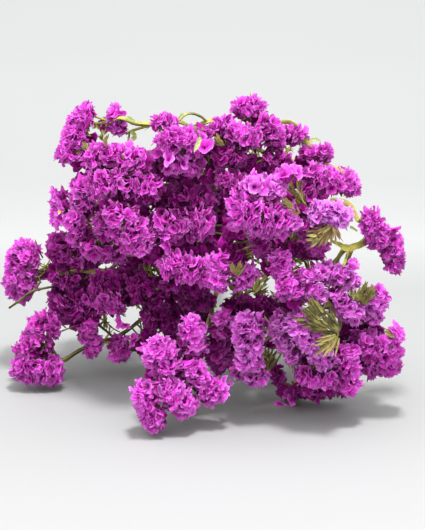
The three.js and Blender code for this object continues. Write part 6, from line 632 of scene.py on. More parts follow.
# ---------------------------------------------------------------- a mesh made of grids
class Sheets:
    """Gathers grids of points into one mesh, with what the materials read at each point."""

    def __init__(self):
        self.v, self.q, self.m, self.cell, self.uv = [], [], [], [], []
        self.t, self.tm, self.tcell, self.tuv = [], [], [], []
        self.att = {"u": [], "rnd": [], "tint": [], "edge": []}
        self.soft = []
        self.n = 0
        self.cells = 0

    def add(self, P, closed, mat, u=None, rnd=0.5, tint=0.0, edge=0.0, weight=1, soft=None):
        """P is (grids, rows, points in a row, 3) in mm. Each grid has a cell of its own in the map."""
        P = np.asarray(P, float)
        if P.ndim == 3:
            P = P[None]
        N, R, S, _ = P.shape
        full = lambda x: np.broadcast_to(np.asarray(x, float), (N, R, S)).reshape(-1)
        self.v.append(P.reshape(-1, 3))
        self.soft.append(np.zeros((N * R * S, 3)) if soft is None else np.repeat(soft, R * S, 0))
        if u is None:
            u = np.linspace(0, 1, R)[None, :, None]
        self.att["u"].append(full(u))
        self.att["rnd"].append(full(rnd))
        self.att["tint"].append(full(tint))
        self.att["edge"].append(full(edge))
        r = np.arange(R - 1)
        s = np.arange(S if closed else S - 1)
        rr, ss = np.meshgrid(r, s, indexing="ij")
        nx = (ss + 1) % S
        quad = np.stack([rr * S + ss, rr * S + nx, (rr + 1) * S + nx, (rr + 1) * S + ss], -1).reshape(-1, 4)
        span = S if closed else S - 1
        uvq = np.stack(
            [
                np.stack([ss / span, rr / (R - 1)], -1),
                np.stack([(ss + 1) / span, rr / (R - 1)], -1),
                np.stack([(ss + 1) / span, (rr + 1) / (R - 1)], -1),
                np.stack([ss / span, (rr + 1) / (R - 1)], -1),
            ],
            2,
        ).reshape(-1, 4, 2)
        base = self.n + np.arange(N)[:, None, None] * (R * S)
        self.q.append((quad[None] + base).reshape(-1, 4))
        self.uv.append(np.broadcast_to(uvq[None], (N,) + uvq.shape).reshape(-1, 4, 2))
        self.m.append(np.full(N * len(quad), mat))
        self.cell.append(np.repeat(np.arange(N) + self.cells, len(quad)))
        self.wt = getattr(self, "wt", []) + [np.full(N, weight)]
        self.cells += N
        self.n += N * R * S

    def add_flared(self, C, F, mat, uc, uf, rnd, tint, weight=2, soft=None):
        """Round grids whose outer rows have more points than the inner ones: C (N, rows, S, 3), F (N, rows, k*S, 3)."""
        N, Rc, S, _ = C.shape
        Rf, K = F.shape[1], F.shape[2]
        k = K // S
        per = Rc * S + Rf * K
        self.v.append(np.concatenate([C.reshape(N, -1, 3), F.reshape(N, -1, 3)], 1).reshape(-1, 3))
        self.soft.append(np.zeros((N * per, 3)) if soft is None else np.repeat(soft, per, 0))
        each = lambda x: np.broadcast_to(np.asarray(x, float).reshape(-1, 1), (N, per)).reshape(-1)
        both = lambda a, b: np.concatenate([np.broadcast_to(a, (N, Rc, S)).reshape(N, -1), np.broadcast_to(b, (N, Rf, K)).reshape(N, -1)], 1).reshape(-1)
        self.att["u"].append(both(uc, uf))
        self.att["rnd"].append(each(rnd))
        self.att["tint"].append(each(tint))
        self.att["edge"].append(each(np.zeros(N)))
        top = Rc + Rf - 1.0
        quads, uvq = [], []
        for rows, cols, first, row0 in ((Rc, S, 0, 0), (Rf, K, Rc * S, Rc)):
            rr, ss = np.meshgrid(np.arange(rows - 1), np.arange(cols), indexing="ij")
            nx = (ss + 1) % cols
            quads.append((np.stack([rr * cols + ss, rr * cols + nx, (rr + 1) * cols + nx, (rr + 1) * cols + ss], -1) + first).reshape(-1, 4))
            a, b = (rr + row0) / top, (rr + row0 + 1) / top
            uvq.append(np.stack([np.stack([ss / cols, a], -1), np.stack([(ss + 1) / cols, a], -1), np.stack([(ss + 1) / cols, b], -1), np.stack([ss / cols, b], -1)], 2).reshape(-1, 4, 2))
        quad, uvq = np.concatenate(quads), np.concatenate(uvq)
        tri, uvt = [], []
        lo, hi = (Rc - 1) / top, Rc / top
        for j in range(S):
            c0, c1 = (Rc - 1) * S + j, (Rc - 1) * S + (j + 1) % S
            half = k // 2
            for i in range(k):
                f0, f1 = Rc * S + j * k + i, Rc * S + (j * k + i + 1) % K
                c, cx = (c0, j / S) if i < half else (c1, (j + 1) / S)
                tri.append((c, f1, f0))
                uvt.append(((cx, lo), ((j * k + i + 1) / K, hi), ((j * k + i) / K, hi)))
            tri.append((c0, c1, Rc * S + j * k + half))
            uvt.append(((j / S, lo), ((j + 1) / S, lo), ((j * k + half) / K, hi)))
        tri, uvt = np.array(tri), np.array(uvt)
        base = self.n + np.arange(N)[:, None, None] * per
        self.q.append((quad[None] + base).reshape(-1, 4))
        self.uv.append(np.broadcast_to(uvq[None], (N,) + uvq.shape).reshape(-1, 4, 2))
        self.m.append(np.full(N * len(quad), mat))
        self.cell.append(np.repeat(np.arange(N) + self.cells, len(quad)))
        self.t.append((tri[None] + base).reshape(-1, 3))
        self.tuv.append(np.broadcast_to(uvt[None], (N,) + uvt.shape).reshape(-1, 3, 2))
        self.tm.append(np.full(N * len(tri), mat))
        self.tcell.append(np.repeat(np.arange(N) + self.cells, len(tri)))
        self.wt = getattr(self, "wt", []) + [np.full(N, weight)]
        self.cells += N
        self.n += N * per

    def build(self, name, materials):
        v = np.vstack(self.v)
        v[:, 2] = np.maximum(v[:, 2], 0.15)
        q = np.vstack(self.q)
        me = bpy.data.meshes.new(name)
        me.vertices.add(len(v))
        me.vertices.foreach_set("co", (v * MM).astype(np.float32).ravel())
        t = np.vstack(self.t) if self.t else np.zeros((0, 3), int)
        faces = len(q) + len(t)
        me.loops.add(len(q) * 4 + len(t) * 3)
        me.loops.foreach_set("vertex_index", np.concatenate([q.ravel(), t.ravel()]).astype(np.int32))
        me.polygons.add(faces)
        me.polygons.foreach_set("loop_start", np.concatenate([np.arange(len(q)) * 4, len(q) * 4 + np.arange(len(t)) * 3]).astype(np.int32))
        for m in materials:
            me.materials.append(m)
        me.polygons.foreach_set("material_index", np.concatenate(self.m + self.tm).astype(np.int32))
        me.polygons.foreach_set("use_smooth", np.ones(faces, bool))
        for k, rows in self.att.items():
            a = me.attributes.new(k, "FLOAT", "POINT")
            a.data.foreach_set("value", np.concatenate(rows).astype(np.float32))
        a = me.attributes.new("soft", "FLOAT_VECTOR", "POINT")
        a.data.foreach_set("vector", np.concatenate(self.soft).astype(np.float32).ravel())
        # corner by corner: the four-sided faces first, then the triangles
        uv = np.concatenate([np.vstack(self.uv).reshape(-1, 2)] + [x.reshape(-1, 2) for x in self.tuv])
        # each grid's own place: big cells for flowers and stems, small ones for bracts
        wt = np.concatenate(self.wt)
        cell = np.repeat(np.concatenate(self.cell + self.tcell), np.r_[np.full(len(q), 4), np.full(len(t), 3)])
        place = np.zeros((len(wt), 4))
        big = np.flatnonzero(wt > 1)
        small = np.flatnonzero(wt <= 1)
        split = 0.0 if not len(small) else (1.0 if not len(big) else 0.16)
        for ids, y0, y1 in ((small, 0.0, split), (big, split, 1.0)):
            if not len(ids) or y1 <= y0:
                continue
            cols = max(1, int(round(math.sqrt(len(ids) / (y1 - y0) * (1.0 if y0 else 3.0)))))
            rows_ = int(math.ceil(len(ids) / cols))
            k = np.arange(len(ids))
            place[ids, 0] = (k % cols) / cols
            place[ids, 1] = y0 + (k // cols) * (y1 - y0) / rows_
            place[ids, 2] = 1.0 / cols
            place[ids, 3] = (y1 - y0) / rows_
        pl = place[cell]
        bake = pl[..., :2] + (0.04 + 0.92 * uv) * pl[..., 2:]
        fine = me.uv_layers.new(name="pleat")
        fine.data.foreach_set("uv", uv.reshape(-1).astype(np.float32))
        lay = me.uv_layers.new(name="OFBake")
        lay.data.foreach_set("uv", bake.reshape(-1).astype(np.float32))
        me.update(calc_edges=True)
        me.validate(clean_customdata=False)
        ob = bpy.data.objects.new(name, me)
        bpy.context.scene.collection.objects.link(ob)
        return ob


# ---------------------------------------------------------------- materials
def nodes_of(mat):
    mat.use_nodes = True
    nt = mat.node_tree
    nt.nodes.clear()
    return nt, nt.nodes, nt.links


def ramp(nd, stops):
    r = nd.new("ShaderNodeValToRGB")
    while len(r.color_ramp.elements) > 1:
        r.color_ramp.elements.remove(r.color_ramp.elements[-1])
    r.color_ramp.elements[0].position = stops[0][0]
    r.color_ramp.elements[0].color = (*stops[0][1], 1)
    for p, c in stops[1:]:
        e = r.color_ramp.elements.new(p)
        e.color = (*c, 1)
    return r


def attribute(nd, name):
    a = nd.new("ShaderNodeAttribute")
    a.attribute_name = name
    return a


def mix_rgb(nd, lk, kind, fac, a, b):
    m = nd.new("ShaderNodeMix")
    m.data_type = "RGBA"
    m.blend_type = kind
    if isinstance(fac, (int, float)):
        m.inputs[0].default_value = fac
    else:
        lk.new(fac, m.inputs[0])
    for sock, x in ((m.inputs[6], a), (m.inputs[7], b)):
        if isinstance(x, tuple):
            sock.default_value = (*x, 1)
        else:
            lk.new(x, sock)
    return m.outputs[2]


def map_range(nd, lk, x, lo, hi, a, b):
    m = nd.new("ShaderNodeMapRange")
    m.inputs[1].default_value, m.inputs[2].default_value = lo, hi
    m.inputs[3].default_value, m.inputs[4].default_value = a, b
    lk.new(x, m.inputs[0])
    return m.outputs[0]


SOFT = 0.8


def petal_material():
    mat = bpy.data.materials.new("statice_petals")
    nt, nd, lk = nodes_of(mat)
    out = nd.new("ShaderNodeOutputMaterial")
    bsdf = nd.new("ShaderNodeBsdfPrincipled")
    u = attribute(nd, "u")
    # deep magenta in the throat, paler at the rim: the calyx's own colour, with the palest rim stops partly a painted
    # highlight
    magenta = ramp(
        nd,
        [
            (0.0, (0.66, 0.010, 0.42)),
            (0.25, (0.72, 0.018, 0.52)),
            (0.50, (0.77, 0.036, 0.60)),
            (0.70, (0.79, 0.060, 0.66)),
            (0.90, (0.75, 0.108, 0.67)),
            (0.97, (0.70, 0.175, 0.65)),
            (1.0, (0.68, 0.24, 0.66)),
        ],
    )
    violet = ramp(
        nd,
        [
            (0.0, (0.52, 0.06, 0.50)),
            (0.22, (0.60, 0.10, 0.60)),
            (0.45, (0.67, 0.17, 0.71)),
            (0.68, (0.72, 0.25, 0.77)),
            (0.88, (0.75, 0.33, 0.81)),
            (1.0, (0.78, 0.43, 0.83)),
        ],
    )
    lk.new(u.outputs["Fac"], magenta.inputs[0])
    lk.new(u.outputs["Fac"], violet.inputs[0])
    tint = attribute(nd, "tint")
    col = mix_rgb(nd, lk, "MIX", tint.outputs["Fac"], magenta.outputs[0], violet.outputs[0])
    # fine pleats that run from the throat to the rim
    pleat = nd.new("ShaderNodeUVMap")
    pleat.uv_map = "pleat"
    stretch = nd.new("ShaderNodeMapping")
    stretch.inputs["Scale"].default_value = (26.0, 1.4, 1.0)
    lk.new(pleat.outputs[0], stretch.inputs[0])
    ribs = nd.new("ShaderNodeTexNoise")
    ribs.inputs["Scale"].default_value = 1.0
    ribs.inputs["Detail"].default_value = 2.0
    lk.new(stretch.outputs[0], ribs.inputs["Vector"])
    rib_tone = map_range(nd, lk, ribs.outputs["Fac"], 0.3, 0.7, 0.74, 1.18)
    coords = nd.new("ShaderNodeTexCoord")
    blot = nd.new("ShaderNodeTexNoise")
    blot.inputs["Scale"].default_value = 260.0
    blot.inputs["Detail"].default_value = 3.0
    lk.new(coords.outputs["Object"], blot.inputs["Vector"])
    blot_tone = map_range(nd, lk, blot.outputs["Fac"], 0.3, 0.7, 0.86, 1.08)
    mult = nd.new("ShaderNodeMath")
    mult.operation = "MULTIPLY"
    lk.new(rib_tone, mult.inputs[0])
    lk.new(blot_tone, mult.inputs[1])
    rnd = attribute(nd, "rnd")
    # the flower's brightness follows its tone: random tone and painted light and shade alike
    each = map_range(nd, lk, rnd.outputs["Fac"], -1.9, 0.9, 0.255, 1.0)
    mult2 = nd.new("ShaderNodeMath")
    mult2.operation = "MULTIPLY"
    lk.new(mult.outputs[0], mult2.inputs[0])
    lk.new(each, mult2.inputs[1])
    hsv = nd.new("ShaderNodeHueSaturation")
    # painted shade: darker flowers are also made more saturated and shifted a little in hue
    hue = map_range(nd, lk, rnd.outputs["Fac"], -1.4, 1.0, 0.525, 0.495)
    lk.new(hue, hsv.inputs["Hue"])
    lk.new(map_range(nd, lk, rnd.outputs["Fac"], -1.4, 0.1, 1.12, 1.0), hsv.inputs["Saturation"])
    lk.new(mult2.outputs[0], hsv.inputs["Value"])
    lk.new(col, hsv.inputs["Color"])
    lk.new(hsv.outputs[0], bsdf.inputs["Base Color"])
    rough = map_range(nd, lk, ribs.outputs["Fac"], 0.3, 0.7, 0.62, 0.82)
    lk.new(rough, bsdf.inputs["Roughness"])
    bsdf.inputs["Specular IOR Level"].default_value = 0.15
    bsdf.inputs["Sheen Weight"].default_value = 0.04
    bump = nd.new("ShaderNodeBump")
    bump.inputs["Strength"].default_value = 0.8
    bump.inputs["Distance"].default_value = 0.0008
    lk.new(ribs.outputs["Fac"], bump.inputs["Height"])
    # a head of thin petals takes light partly as one soft round body
    soft = attribute(nd, "soft")
    world_way = nd.new("ShaderNodeVectorTransform")
    world_way.vector_type = "VECTOR"
    world_way.convert_from, world_way.convert_to = "OBJECT", "WORLD"
    lk.new(soft.outputs["Vector"], world_way.inputs[0])
    both = nd.new("ShaderNodeVectorMath")
    both.operation = "MULTIPLY_ADD"
    both.inputs[1].default_value = (SOFT, SOFT, SOFT)
    lk.new(world_way.outputs[0], both.inputs[0])
    lk.new(bump.outputs[0], both.inputs[2])
    even = nd.new("ShaderNodeVectorMath")
    even.operation = "NORMALIZE"
    lk.new(both.outputs[0], even.inputs[0])
    lk.new(even.outputs[0], bsdf.inputs["Normal"])
    thru = nd.new("ShaderNodeBsdfTranslucent")
    lk.new(even.outputs[0], thru.inputs["Normal"])
    lk.new(hsv.outputs[0], thru.inputs["Color"])
    mixs = nd.new("ShaderNodeMixShader")
    mixs.inputs[0].default_value = 0.50
    lk.new(bsdf.outputs[0], mixs.inputs[1])
    lk.new(thru.outputs[0], mixs.inputs[2])
    lk.new(mixs.outputs[0], out.inputs["Surface"])
    return mat


def green_material(name, tone):
    """Stems and bracts: rough olive to brown, paler and papery at thin edges."""
    mat = bpy.data.materials.new(name)
    nt, nd, lk = nodes_of(mat)
    out = nd.new("ShaderNodeOutputMaterial")
    bsdf = nd.new("ShaderNodeBsdfPrincipled")
    rnd = attribute(nd, "rnd")
    edge = attribute(nd, "edge")
    base = ramp(nd, tone)
    coords = nd.new("ShaderNodeTexCoord")
    n1 = nd.new("ShaderNodeTexNoise")
    n1.inputs["Scale"].default_value = 90.0
    n1.inputs["Detail"].default_value = 4.0
    lk.new(coords.outputs["Object"], n1.inputs["Vector"])
    shift = map_range(nd, lk, n1.outputs["Fac"], 0.3, 0.7, -0.3, 0.3)
    add = nd.new("ShaderNodeMath")
    add.operation = "ADD"
    lk.new(rnd.outputs["Fac"], add.inputs[0])
    lk.new(shift, add.inputs[1])
    lk.new(add.outputs[0], base.inputs[0])
    pale = mix_rgb(nd, lk, "MIX", map_range(nd, lk, edge.outputs["Fac"], 0.55, 1.0, 0.0, 0.45), base.outputs[0], (0.36, 0.33, 0.14))
    n2 = nd.new("ShaderNodeTexNoise")
    n2.inputs["Scale"].default_value = 1500.0
    n2.inputs["Detail"].default_value = 3.0
    lk.new(coords.outputs["Object"], n2.inputs["Vector"])
    speck = map_range(nd, lk, n2.outputs["Fac"], 0.35, 0.7, 0.62, 1.18)
    col = mix_rgb(nd, lk, "MULTIPLY", 1.0, pale, speck)
    lk.new(col, bsdf.inputs["Base Color"])
    lk.new(map_range(nd, lk, n2.outputs["Fac"], 0.3, 0.7, 0.7, 0.95), bsdf.inputs["Roughness"])
    bsdf.inputs["Specular IOR Level"].default_value = 0.3
    bump = nd.new("ShaderNodeBump")
    bump.inputs["Strength"].default_value = 0.6
    bump.inputs["Distance"].default_value = 0.0003
    lk.new(n2.outputs["Fac"], bump.inputs["Height"])
    lk.new(bump.outputs[0], bsdf.inputs["Normal"])
    thru = nd.new("ShaderNodeBsdfTranslucent")
    lk.new(col, thru.inputs["Color"])
    mixs = nd.new("ShaderNodeMixShader")
    mixs.inputs[0].default_value = 0.15
    lk.new(bsdf.outputs[0], mixs.inputs[1])
    lk.new(thru.outputs[0], mixs.inputs[2])
    lk.new(mixs.outputs[0], out.inputs["Surface"])
    return mat


def twine_material():
    mat = bpy.data.materials.new("jute_twine")
    nt, nd, lk = nodes_of(mat)
    out = nd.new("ShaderNodeOutputMaterial")
    bsdf = nd.new("ShaderNodeBsdfPrincipled")
    uvn = nd.new("ShaderNodeUVMap")
    uvn.uv_map = "pleat"
    mp = nd.new("ShaderNodeMapping")
    mp.inputs["Scale"].default_value = (7.0, 160.0, 1.0)
    mp.inputs["Rotation"].default_value = (0, 0, 0.12)
    lk.new(uvn.outputs[0], mp.inputs[0])
    fib = nd.new("ShaderNodeTexNoise")
    fib.inputs["Scale"].default_value = 1.2
    fib.inputs["Detail"].default_value = 4.0
    lk.new(mp.outputs[0], fib.inputs["Vector"])
    col = ramp(nd, [(0.25, (0.20, 0.12, 0.05)), (0.5, (0.46, 0.32, 0.16)), (0.75, (0.66, 0.50, 0.28))])
    lk.new(fib.outputs["Fac"], col.inputs[0])
    lk.new(col.outputs[0], bsdf.inputs["Base Color"])
    lk.new(map_range(nd, lk, fib.outputs["Fac"], 0.3, 0.7, 0.8, 0.98), bsdf.inputs["Roughness"])
    bump = nd.new("ShaderNodeBump")
    bump.inputs["Strength"].default_value = 0.8
    bump.inputs["Distance"].default_value = 0.0003
    lk.new(fib.outputs["Fac"], bump.inputs["Height"])
    lk.new(bump.outputs[0], bsdf.inputs["Normal"])
    lk.new(bsdf.outputs[0], out.inputs["Surface"])
    return mat


PETAL = petal_material()
BRACT = green_material(
    "statice_bracts",
    [(0.0, (0.040, 0.034, 0.012)), (0.35, (0.10, 0.092, 0.024)), (0.62, (0.24, 0.205, 0.052)), (0.82, (0.22, 0.150, 0.050)), (1.0, (0.17, 0.098, 0.045))],
)
STEM = green_material(
    "statice_stems",
    [(0.0, (0.050, 0.042, 0.012)), (0.35, (0.150, 0.142, 0.028)), (0.7, (0.33, 0.315, 0.060)), (1.0, (0.35, 0.26, 0.085))],
)
LEAF = green_material("statice_leaves", [(0.0, (0.15, 0.16, 0.045)), (0.5, (0.27, 0.32, 0.09)), (1.0, (0.42, 0.48, 0.21))])
COROLLA = green_material("statice_corolla", [(0.0, (0.62, 0.30, 0.02)), (0.5, (0.80, 0.46, 0.05)), (1.0, (0.90, 0.66, 0.20))])
TWINE = twine_material()

# ---------------------------------------------------------------- flowers
FINE = (10, [0.0, 0.53, 0.79], [0.13, 0.22, 0.52], [0.0, 0.26, 0.54], 4, [0.92, 1.0], [0.80, 1.0], [0.80, 1.0])
MIDDLE = (7, [0.0, 0.53, 0.79], [0.13, 0.24, 0.54], [0.0, 0.28, 0.56], 3, [0.92, 1.0], [0.80, 1.0], [0.80, 1.0])
PLEAT = 0.09
INNER = (9, [0.0, 0.55, 1.0], [0.2, 0.55, 1.1], [0.0, 0.45, 0.9])
PLAIN = (12, [0.0, 0.50, 0.78, 1.0], [0.16, 0.30, 0.68, 1.0], [0.0, 0.34, 0.68, 1.0])


def calyxes(sheets, mouth, way, outer, length, radius, squash, tint, painted_light_shade, rng, detail=FINE, mat=0, turn=None, soft=None):
    """Papery funnels: a narrow tube that opens into a pleated, ruffled and toothed limb."""
    N = len(mouth)
    if N == 0:
        return
    base = mouth - way * length[:, None]
    a, b = across(way, outer)
    turn = rng.uniform(0, 2 * np.pi, (N, 1)) if turn is None else turn[:, None]
    a2 = a * np.cos(turn) + b * np.sin(turn)
    a = a2
    b = np.cross(way, a)
    ph = rng.uniform(0, 2 * np.pi, (9, N, 1, 1))
    amp = rng.normal(0, 1, (6, N, 1, 1))
    roll = rng.uniform(-0.14, 0.34, (N, 1, 1))
    L = length[:, None, None]
    Rr = radius[:, None, None]
    s = squash[:, None, None]

    def points(columns, high, wide, along):
        th = (np.arange(columns) / columns * 2 * np.pi)[None, None, :]
        fine = 1.0 * (columns >= 18)
        u = np.array(along)[None, :, None]
        swing = 0.9 * np.sin(2 * th + ph[0])
        fold = np.sin(5 * th + ph[1] + swing)
        fold2 = np.sin(5 * th + ph[1] + swing + 1.3)
        crush = 0.06 * amp[0] * np.sin(2 * th + ph[2]) + 0.05 * amp[1] * np.sin(3 * th + ph[5]) + 0.03 * amp[2] * np.sin(4 * th + ph[6])
        crush2 = 0.07 * amp[3] * np.sin(2 * th + ph[7]) + 0.06 * amp[4] * np.sin(3 * th + ph[8]) + 0.05 * amp[5] * np.sin(4 * th + ph[3])
        zig = np.where(np.arange(columns) % 2 == 0, 1.0, -1.0)[None, None, :] * rng.uniform(0.45, 1.0, (N, 1, columns))
        grow = u**1.5
        last = (u >= 0.999) * 1.0
        tooth = PLEAT * u**1.4 * fine
        frill = u**2.5 * fine * (0.6 * np.sin(7 * th + ph[4] + swing) + 0.6 * np.sin(11 * th + ph[6] + 2 * swing))
        r = Rr * np.array(wide)[None, :, None] * (1 + 0.10 * np.cos(th + ph[4]) * u + 0.05 * fold * grow + 0.4 * tooth * zig + crush * grow + 0.05 * frill)
        r = r + last * Rr * 0.02 * rng.normal(size=(N, 1, columns))
        h = L * np.array(high)[None, :, None]
        h = h + Rr * grow * (0.10 * fold2 + crush2) + Rr * tooth * zig + 0.13 * Rr * frill
        h = h + last * Rr * 0.025 * rng.normal(size=(N, 1, columns))
        h = h - Rr * roll * np.maximum(0, u - 0.5) ** 1.5 * 2.2
        # a pressed flower is a fan: its ends stand lower than its middle
        h = h - Rr * (1 - s) * 0.55 * np.cos(th) ** 2 * grow
        x = np.cos(th) * r
        y = np.sin(th) * r
        # pressed flowers spread sideways into a waved ribbon
        y = y * (1 - (1 - s) * np.minimum(1, u * 1.5)) + (1 - s) * Rr * (0.28 * np.sin(2.4 * np.cos(th) + ph[3]) + fine * (0.19 * np.sin(6.5 * np.cos(th) + ph[5]) + 0.07 * np.sin(13 * np.cos(th) + ph[7]))) * u**2
        x = x * (1 + 0.26 * (1 - s) * u)
        P = (
            base[:, None, None, :]
            + way[:, None, None, :] * h[..., None]
            + a[:, None, None, :] * x[..., None]
            + b[:, None, None, :] * y[..., None]
        )
        return P, np.clip(u + 0.07 * fold * u * (1 - u), 0, 1)

    # each flower's tone: a random share plus the painted light and shade handed in
    rnd = np.clip(rng.uniform(0.17, 0.53, N) + painted_light_shade, -2.4, 2)
    seg, high, wide, along = detail[:4]
    P, u = points(seg, high, wide, along)
    if len(detail) > 4:
        P2, u2 = points(seg * detail[4], *detail[5:])
        sheets.add_flared(P, P2, mat, u, u2, rnd, tint, soft=soft)
    else:
        sheets.add(P, True, mat, u=u, rnd=rnd[:, None, None], tint=tint[:, None, None], weight=2, soft=soft)


def painted_shade_cover(p, out, others):
    """Share of the open half space over each point that other spikes fill (0 open, 1 shut in); it sets how much shade
    is painted into a flower.
    """
    k = np.arange(14) + 0.5
    polar, turn = np.arccos(1 - k / 14 * 0.95), np.pi * (1 + 5**0.5) * k
    local = np.stack([np.sin(polar) * np.cos(turn), np.sin(polar) * np.sin(turn), np.cos(polar)], 1)
    a, b = across(out, np.array([0.0, 0.0, 1.0]))
    rays = local[None, :, :1] * a[:, None] + local[None, :, 1:2] * b[:, None] + local[None, :, 2:] * out[:, None]
    full = np.zeros(rays.shape[:2])
    for far, share in ((9.0, 1.0), (18.0, 0.9), (30.0, 0.75), (45.0, 0.55)):
        q = (p[:, None] + rays * far).reshape(-1, 3)
        q_low = q[:, 2] < 0
        inside = np.clip((depth_inside(q, others) + 2.0) / 4.0, 0, 1) * share
        inside = np.maximum(inside, q_low * 0.35).reshape(full.shape)
        full = np.maximum(full, inside)
    return full.mean(1)


def tuft(sheets, base, tip, n, violet, painted_light_shade, rng):
    """A short side twig with a loose ball of flowers, deep in the bunch; the flowers are painted dark as shade by the
    value handed in.
    """
    base, tip = np.array(base, float), np.array(tip, float)
    tube(sheets, [base, (base + tip) / 2 + rng.normal(size=3) * 0.8, tip], 0.8, 0.6, sides=5, step=4.0, mat=1, rnd=rng.uniform(0.2, 0.6))
    go = unit(tip - base)
    d = unit(rng.normal(size=(n, 3)) * 0.75 + go * 0.7 + unit(EYE - tip) * 0.35)
    m = tip + d * rng.uniform(3.2, 5.2, (n, 1))
    calyxes(sheets, m, d, rng.normal(size=(n, 3)), rng.uniform(6.0, 7.5, n), rng.uniform(3.6, 4.8, n), rng.uniform(0.25, 1.0, n), np.full(n, violet), np.full(n, painted_light_shade), rng, INNER, soft=d)


def blades(sheets, base, way, face, length, width, rng, mat=1, bend=0.25, rows=4, rnd=None, fold=0.35):
    """Narrow pointed leaves, folded along the middle: bracts, leaflets and strap leaves."""
    N = len(base)
    if N == 0:
        return
    n, s = across(way, face)
    t = np.linspace(0, 1, rows)
    wide = np.interp(t, [0, 0.3, 0.75, 1.0], [0.55, 1.0, 0.62, 0.05])
    T = t[None, :, None]
    L = length[:, None, None]
    curve = bend * (T**2) * L
    mid = base[:, None, :] + way[:, None, :] * (T * L) + n[:, None, :] * curve
    half = (width[:, None] * wide[None, :])[..., None] * 0.5
    side = s[:, None, :] * half
    lift = n[:, None, :] * half * fold
    P = np.stack([mid - side + lift, mid, mid + side + lift], 2)
    if rnd is None:
        rnd = rng.uniform(0, 1, (N, 1, 1))
    edge = np.array([0.75, 0.2, 0.75])[None, None, :] + 0.25 * T
    sheets.add(P, False, mat, u=T, rnd=rnd, edge=edge, weight=1)


def tube(sheets, points, r0, r1, sides=7, step=3.0, mat=1, rnd=0.5, edge=0.0, weight=1):
    c, x = resample(points, step)
    t, n, b = frames(c)
    f = np.linspace(0, 1, len(c))
    r = (r0 + (r1 - r0) * f)[:, None, None]
    th = (np.arange(sides) / sides * 2 * np.pi)[None, :, None]
    P = c[:, None, :] + r * (np.cos(th) * n[:, None, :] + np.sin(th) * b[:, None, :])
    # close both ends
    P = np.concatenate([c[:1, None, :] + (P[:1] - c[:1, None, :]) * 0.05, P, c[-1:, None, :] + (P[-1:] - c[-1:, None, :]) * 0.05], 0)
    sheets.add(P, True, mat, rnd=rnd, edge=edge, weight=weight)


def bract_fan(sheets, base, tip, half, n, long, wide, tone, rng, mat=1):
    """A spent cluster seen from behind: narrow overlapping bracts that open like a fan from base towards tip."""
    base, tip = np.array(base, float), np.array(tip, float)
    a = tip - base
    L = np.linalg.norm(a)
    a = a / L
    seen = unit(EYE - base)
    seen = unit(seen - a * (seen @ a))
    side = np.cross(seen, a)
    lateral = rng.uniform(-1, 1, n)
    t = rng.uniform(0.0, 1.0, n) ** 0.8
    wide_here = 0.15 + 0.85 * np.sin(np.minimum(1, t * 1.15) * np.pi / 2)
    length = rng.uniform(*long, n)
    reach = np.maximum(L * t - length * 0.55, 0)
    start = base + a * reach[:, None] + side * (lateral * half * wide_here * 0.72)[:, None] + seen * (rng.uniform(-1.2, 1.6, n) + 1.6 * (1 - lateral**2) * wide_here)[:, None]
    way = unit(a + side * (lateral * 0.55)[:, None] + seen * rng.uniform(-0.12, 0.30, (n, 1)) + rng.normal(size=(n, 3)) * 0.10)
    face = seen + side * (lateral * 0.9)[:, None] + rng.normal(size=(n, 3)) * 0.25
    blades(sheets, start, way, face, length, rng.uniform(*wide, n), rng, mat=mat, bend=0.10, rows=4, rnd=rng.uniform(*tone, (n, 1, 1)), fold=0.55)


def strap(sheets, points, width, tone, mat, rng):
    """A strap leaf along a curve, folded a little along its middle."""
    c, x = resample(np.array(points, float), 1.6)
    t, _, _ = frames(c)
    seen = unit(EYE - c)
    seen = unit(seen - t * (seen * t).sum(1, keepdims=True))
    side = np.cross(seen, t)
    f = x / x[-1]
    half = width * 0.5 * np.interp(f, [0, 0.15, 0.6, 1], [0.45, 0.9, 1.0, 0.15]) * (1 + 0.10 * np.sin(x * 1.3))
    P = np.stack([c - side * half[:, None] + seen * (half * 0.35)[:, None], c, c + side * half[:, None] + seen * (half * 0.35)[:, None]], 1)
    sheets.add(P, False, mat, rnd=tone, edge=np.array([0.6, 0.1, 0.6])[None, None, :], weight=1)


def lone(sheets, mouths, way, radius, squash, tint, painted_light_shade, mat, rng):
    """Single flowers that stand out from the rest, or the small yellow true petals in a calyx."""
    m = np.array(mouths, float)
    w = np.broadcast_to(unit(way), m.shape) + rng.normal(size=m.shape) * 0.12
    w = unit(w)
    n = len(m)
    # the value handed in is painted light and shade: above zero lighter, below zero darker
    calyxes(sheets, m, w, rng.normal(size=(n, 3)), np.full(n, min(10.0, radius * 2.2)), np.full(n, radius), np.full(n, squash), np.full(n, tint), np.full(n, painted_light_shade), rng, FINE, mat)


GAP = 3.42
SPIKELET = 8.5


def depth_inside(p, others):
    """How far each point lies inside the deepest of other spikes' lumps (mm; under zero is outside)."""
    best = np.full(len(p), -99.0)
    for q0, q1, r in others:
        q0, q1 = np.asarray(q0), np.asarray(q1)
        d = q1 - q0
        t = np.clip(((p - q0) @ d) / max(d @ d, 1e-9), 0, 1)
        best = np.maximum(best, r - np.linalg.norm(p - (q0 + t[:, None] * d), axis=1))
    return best


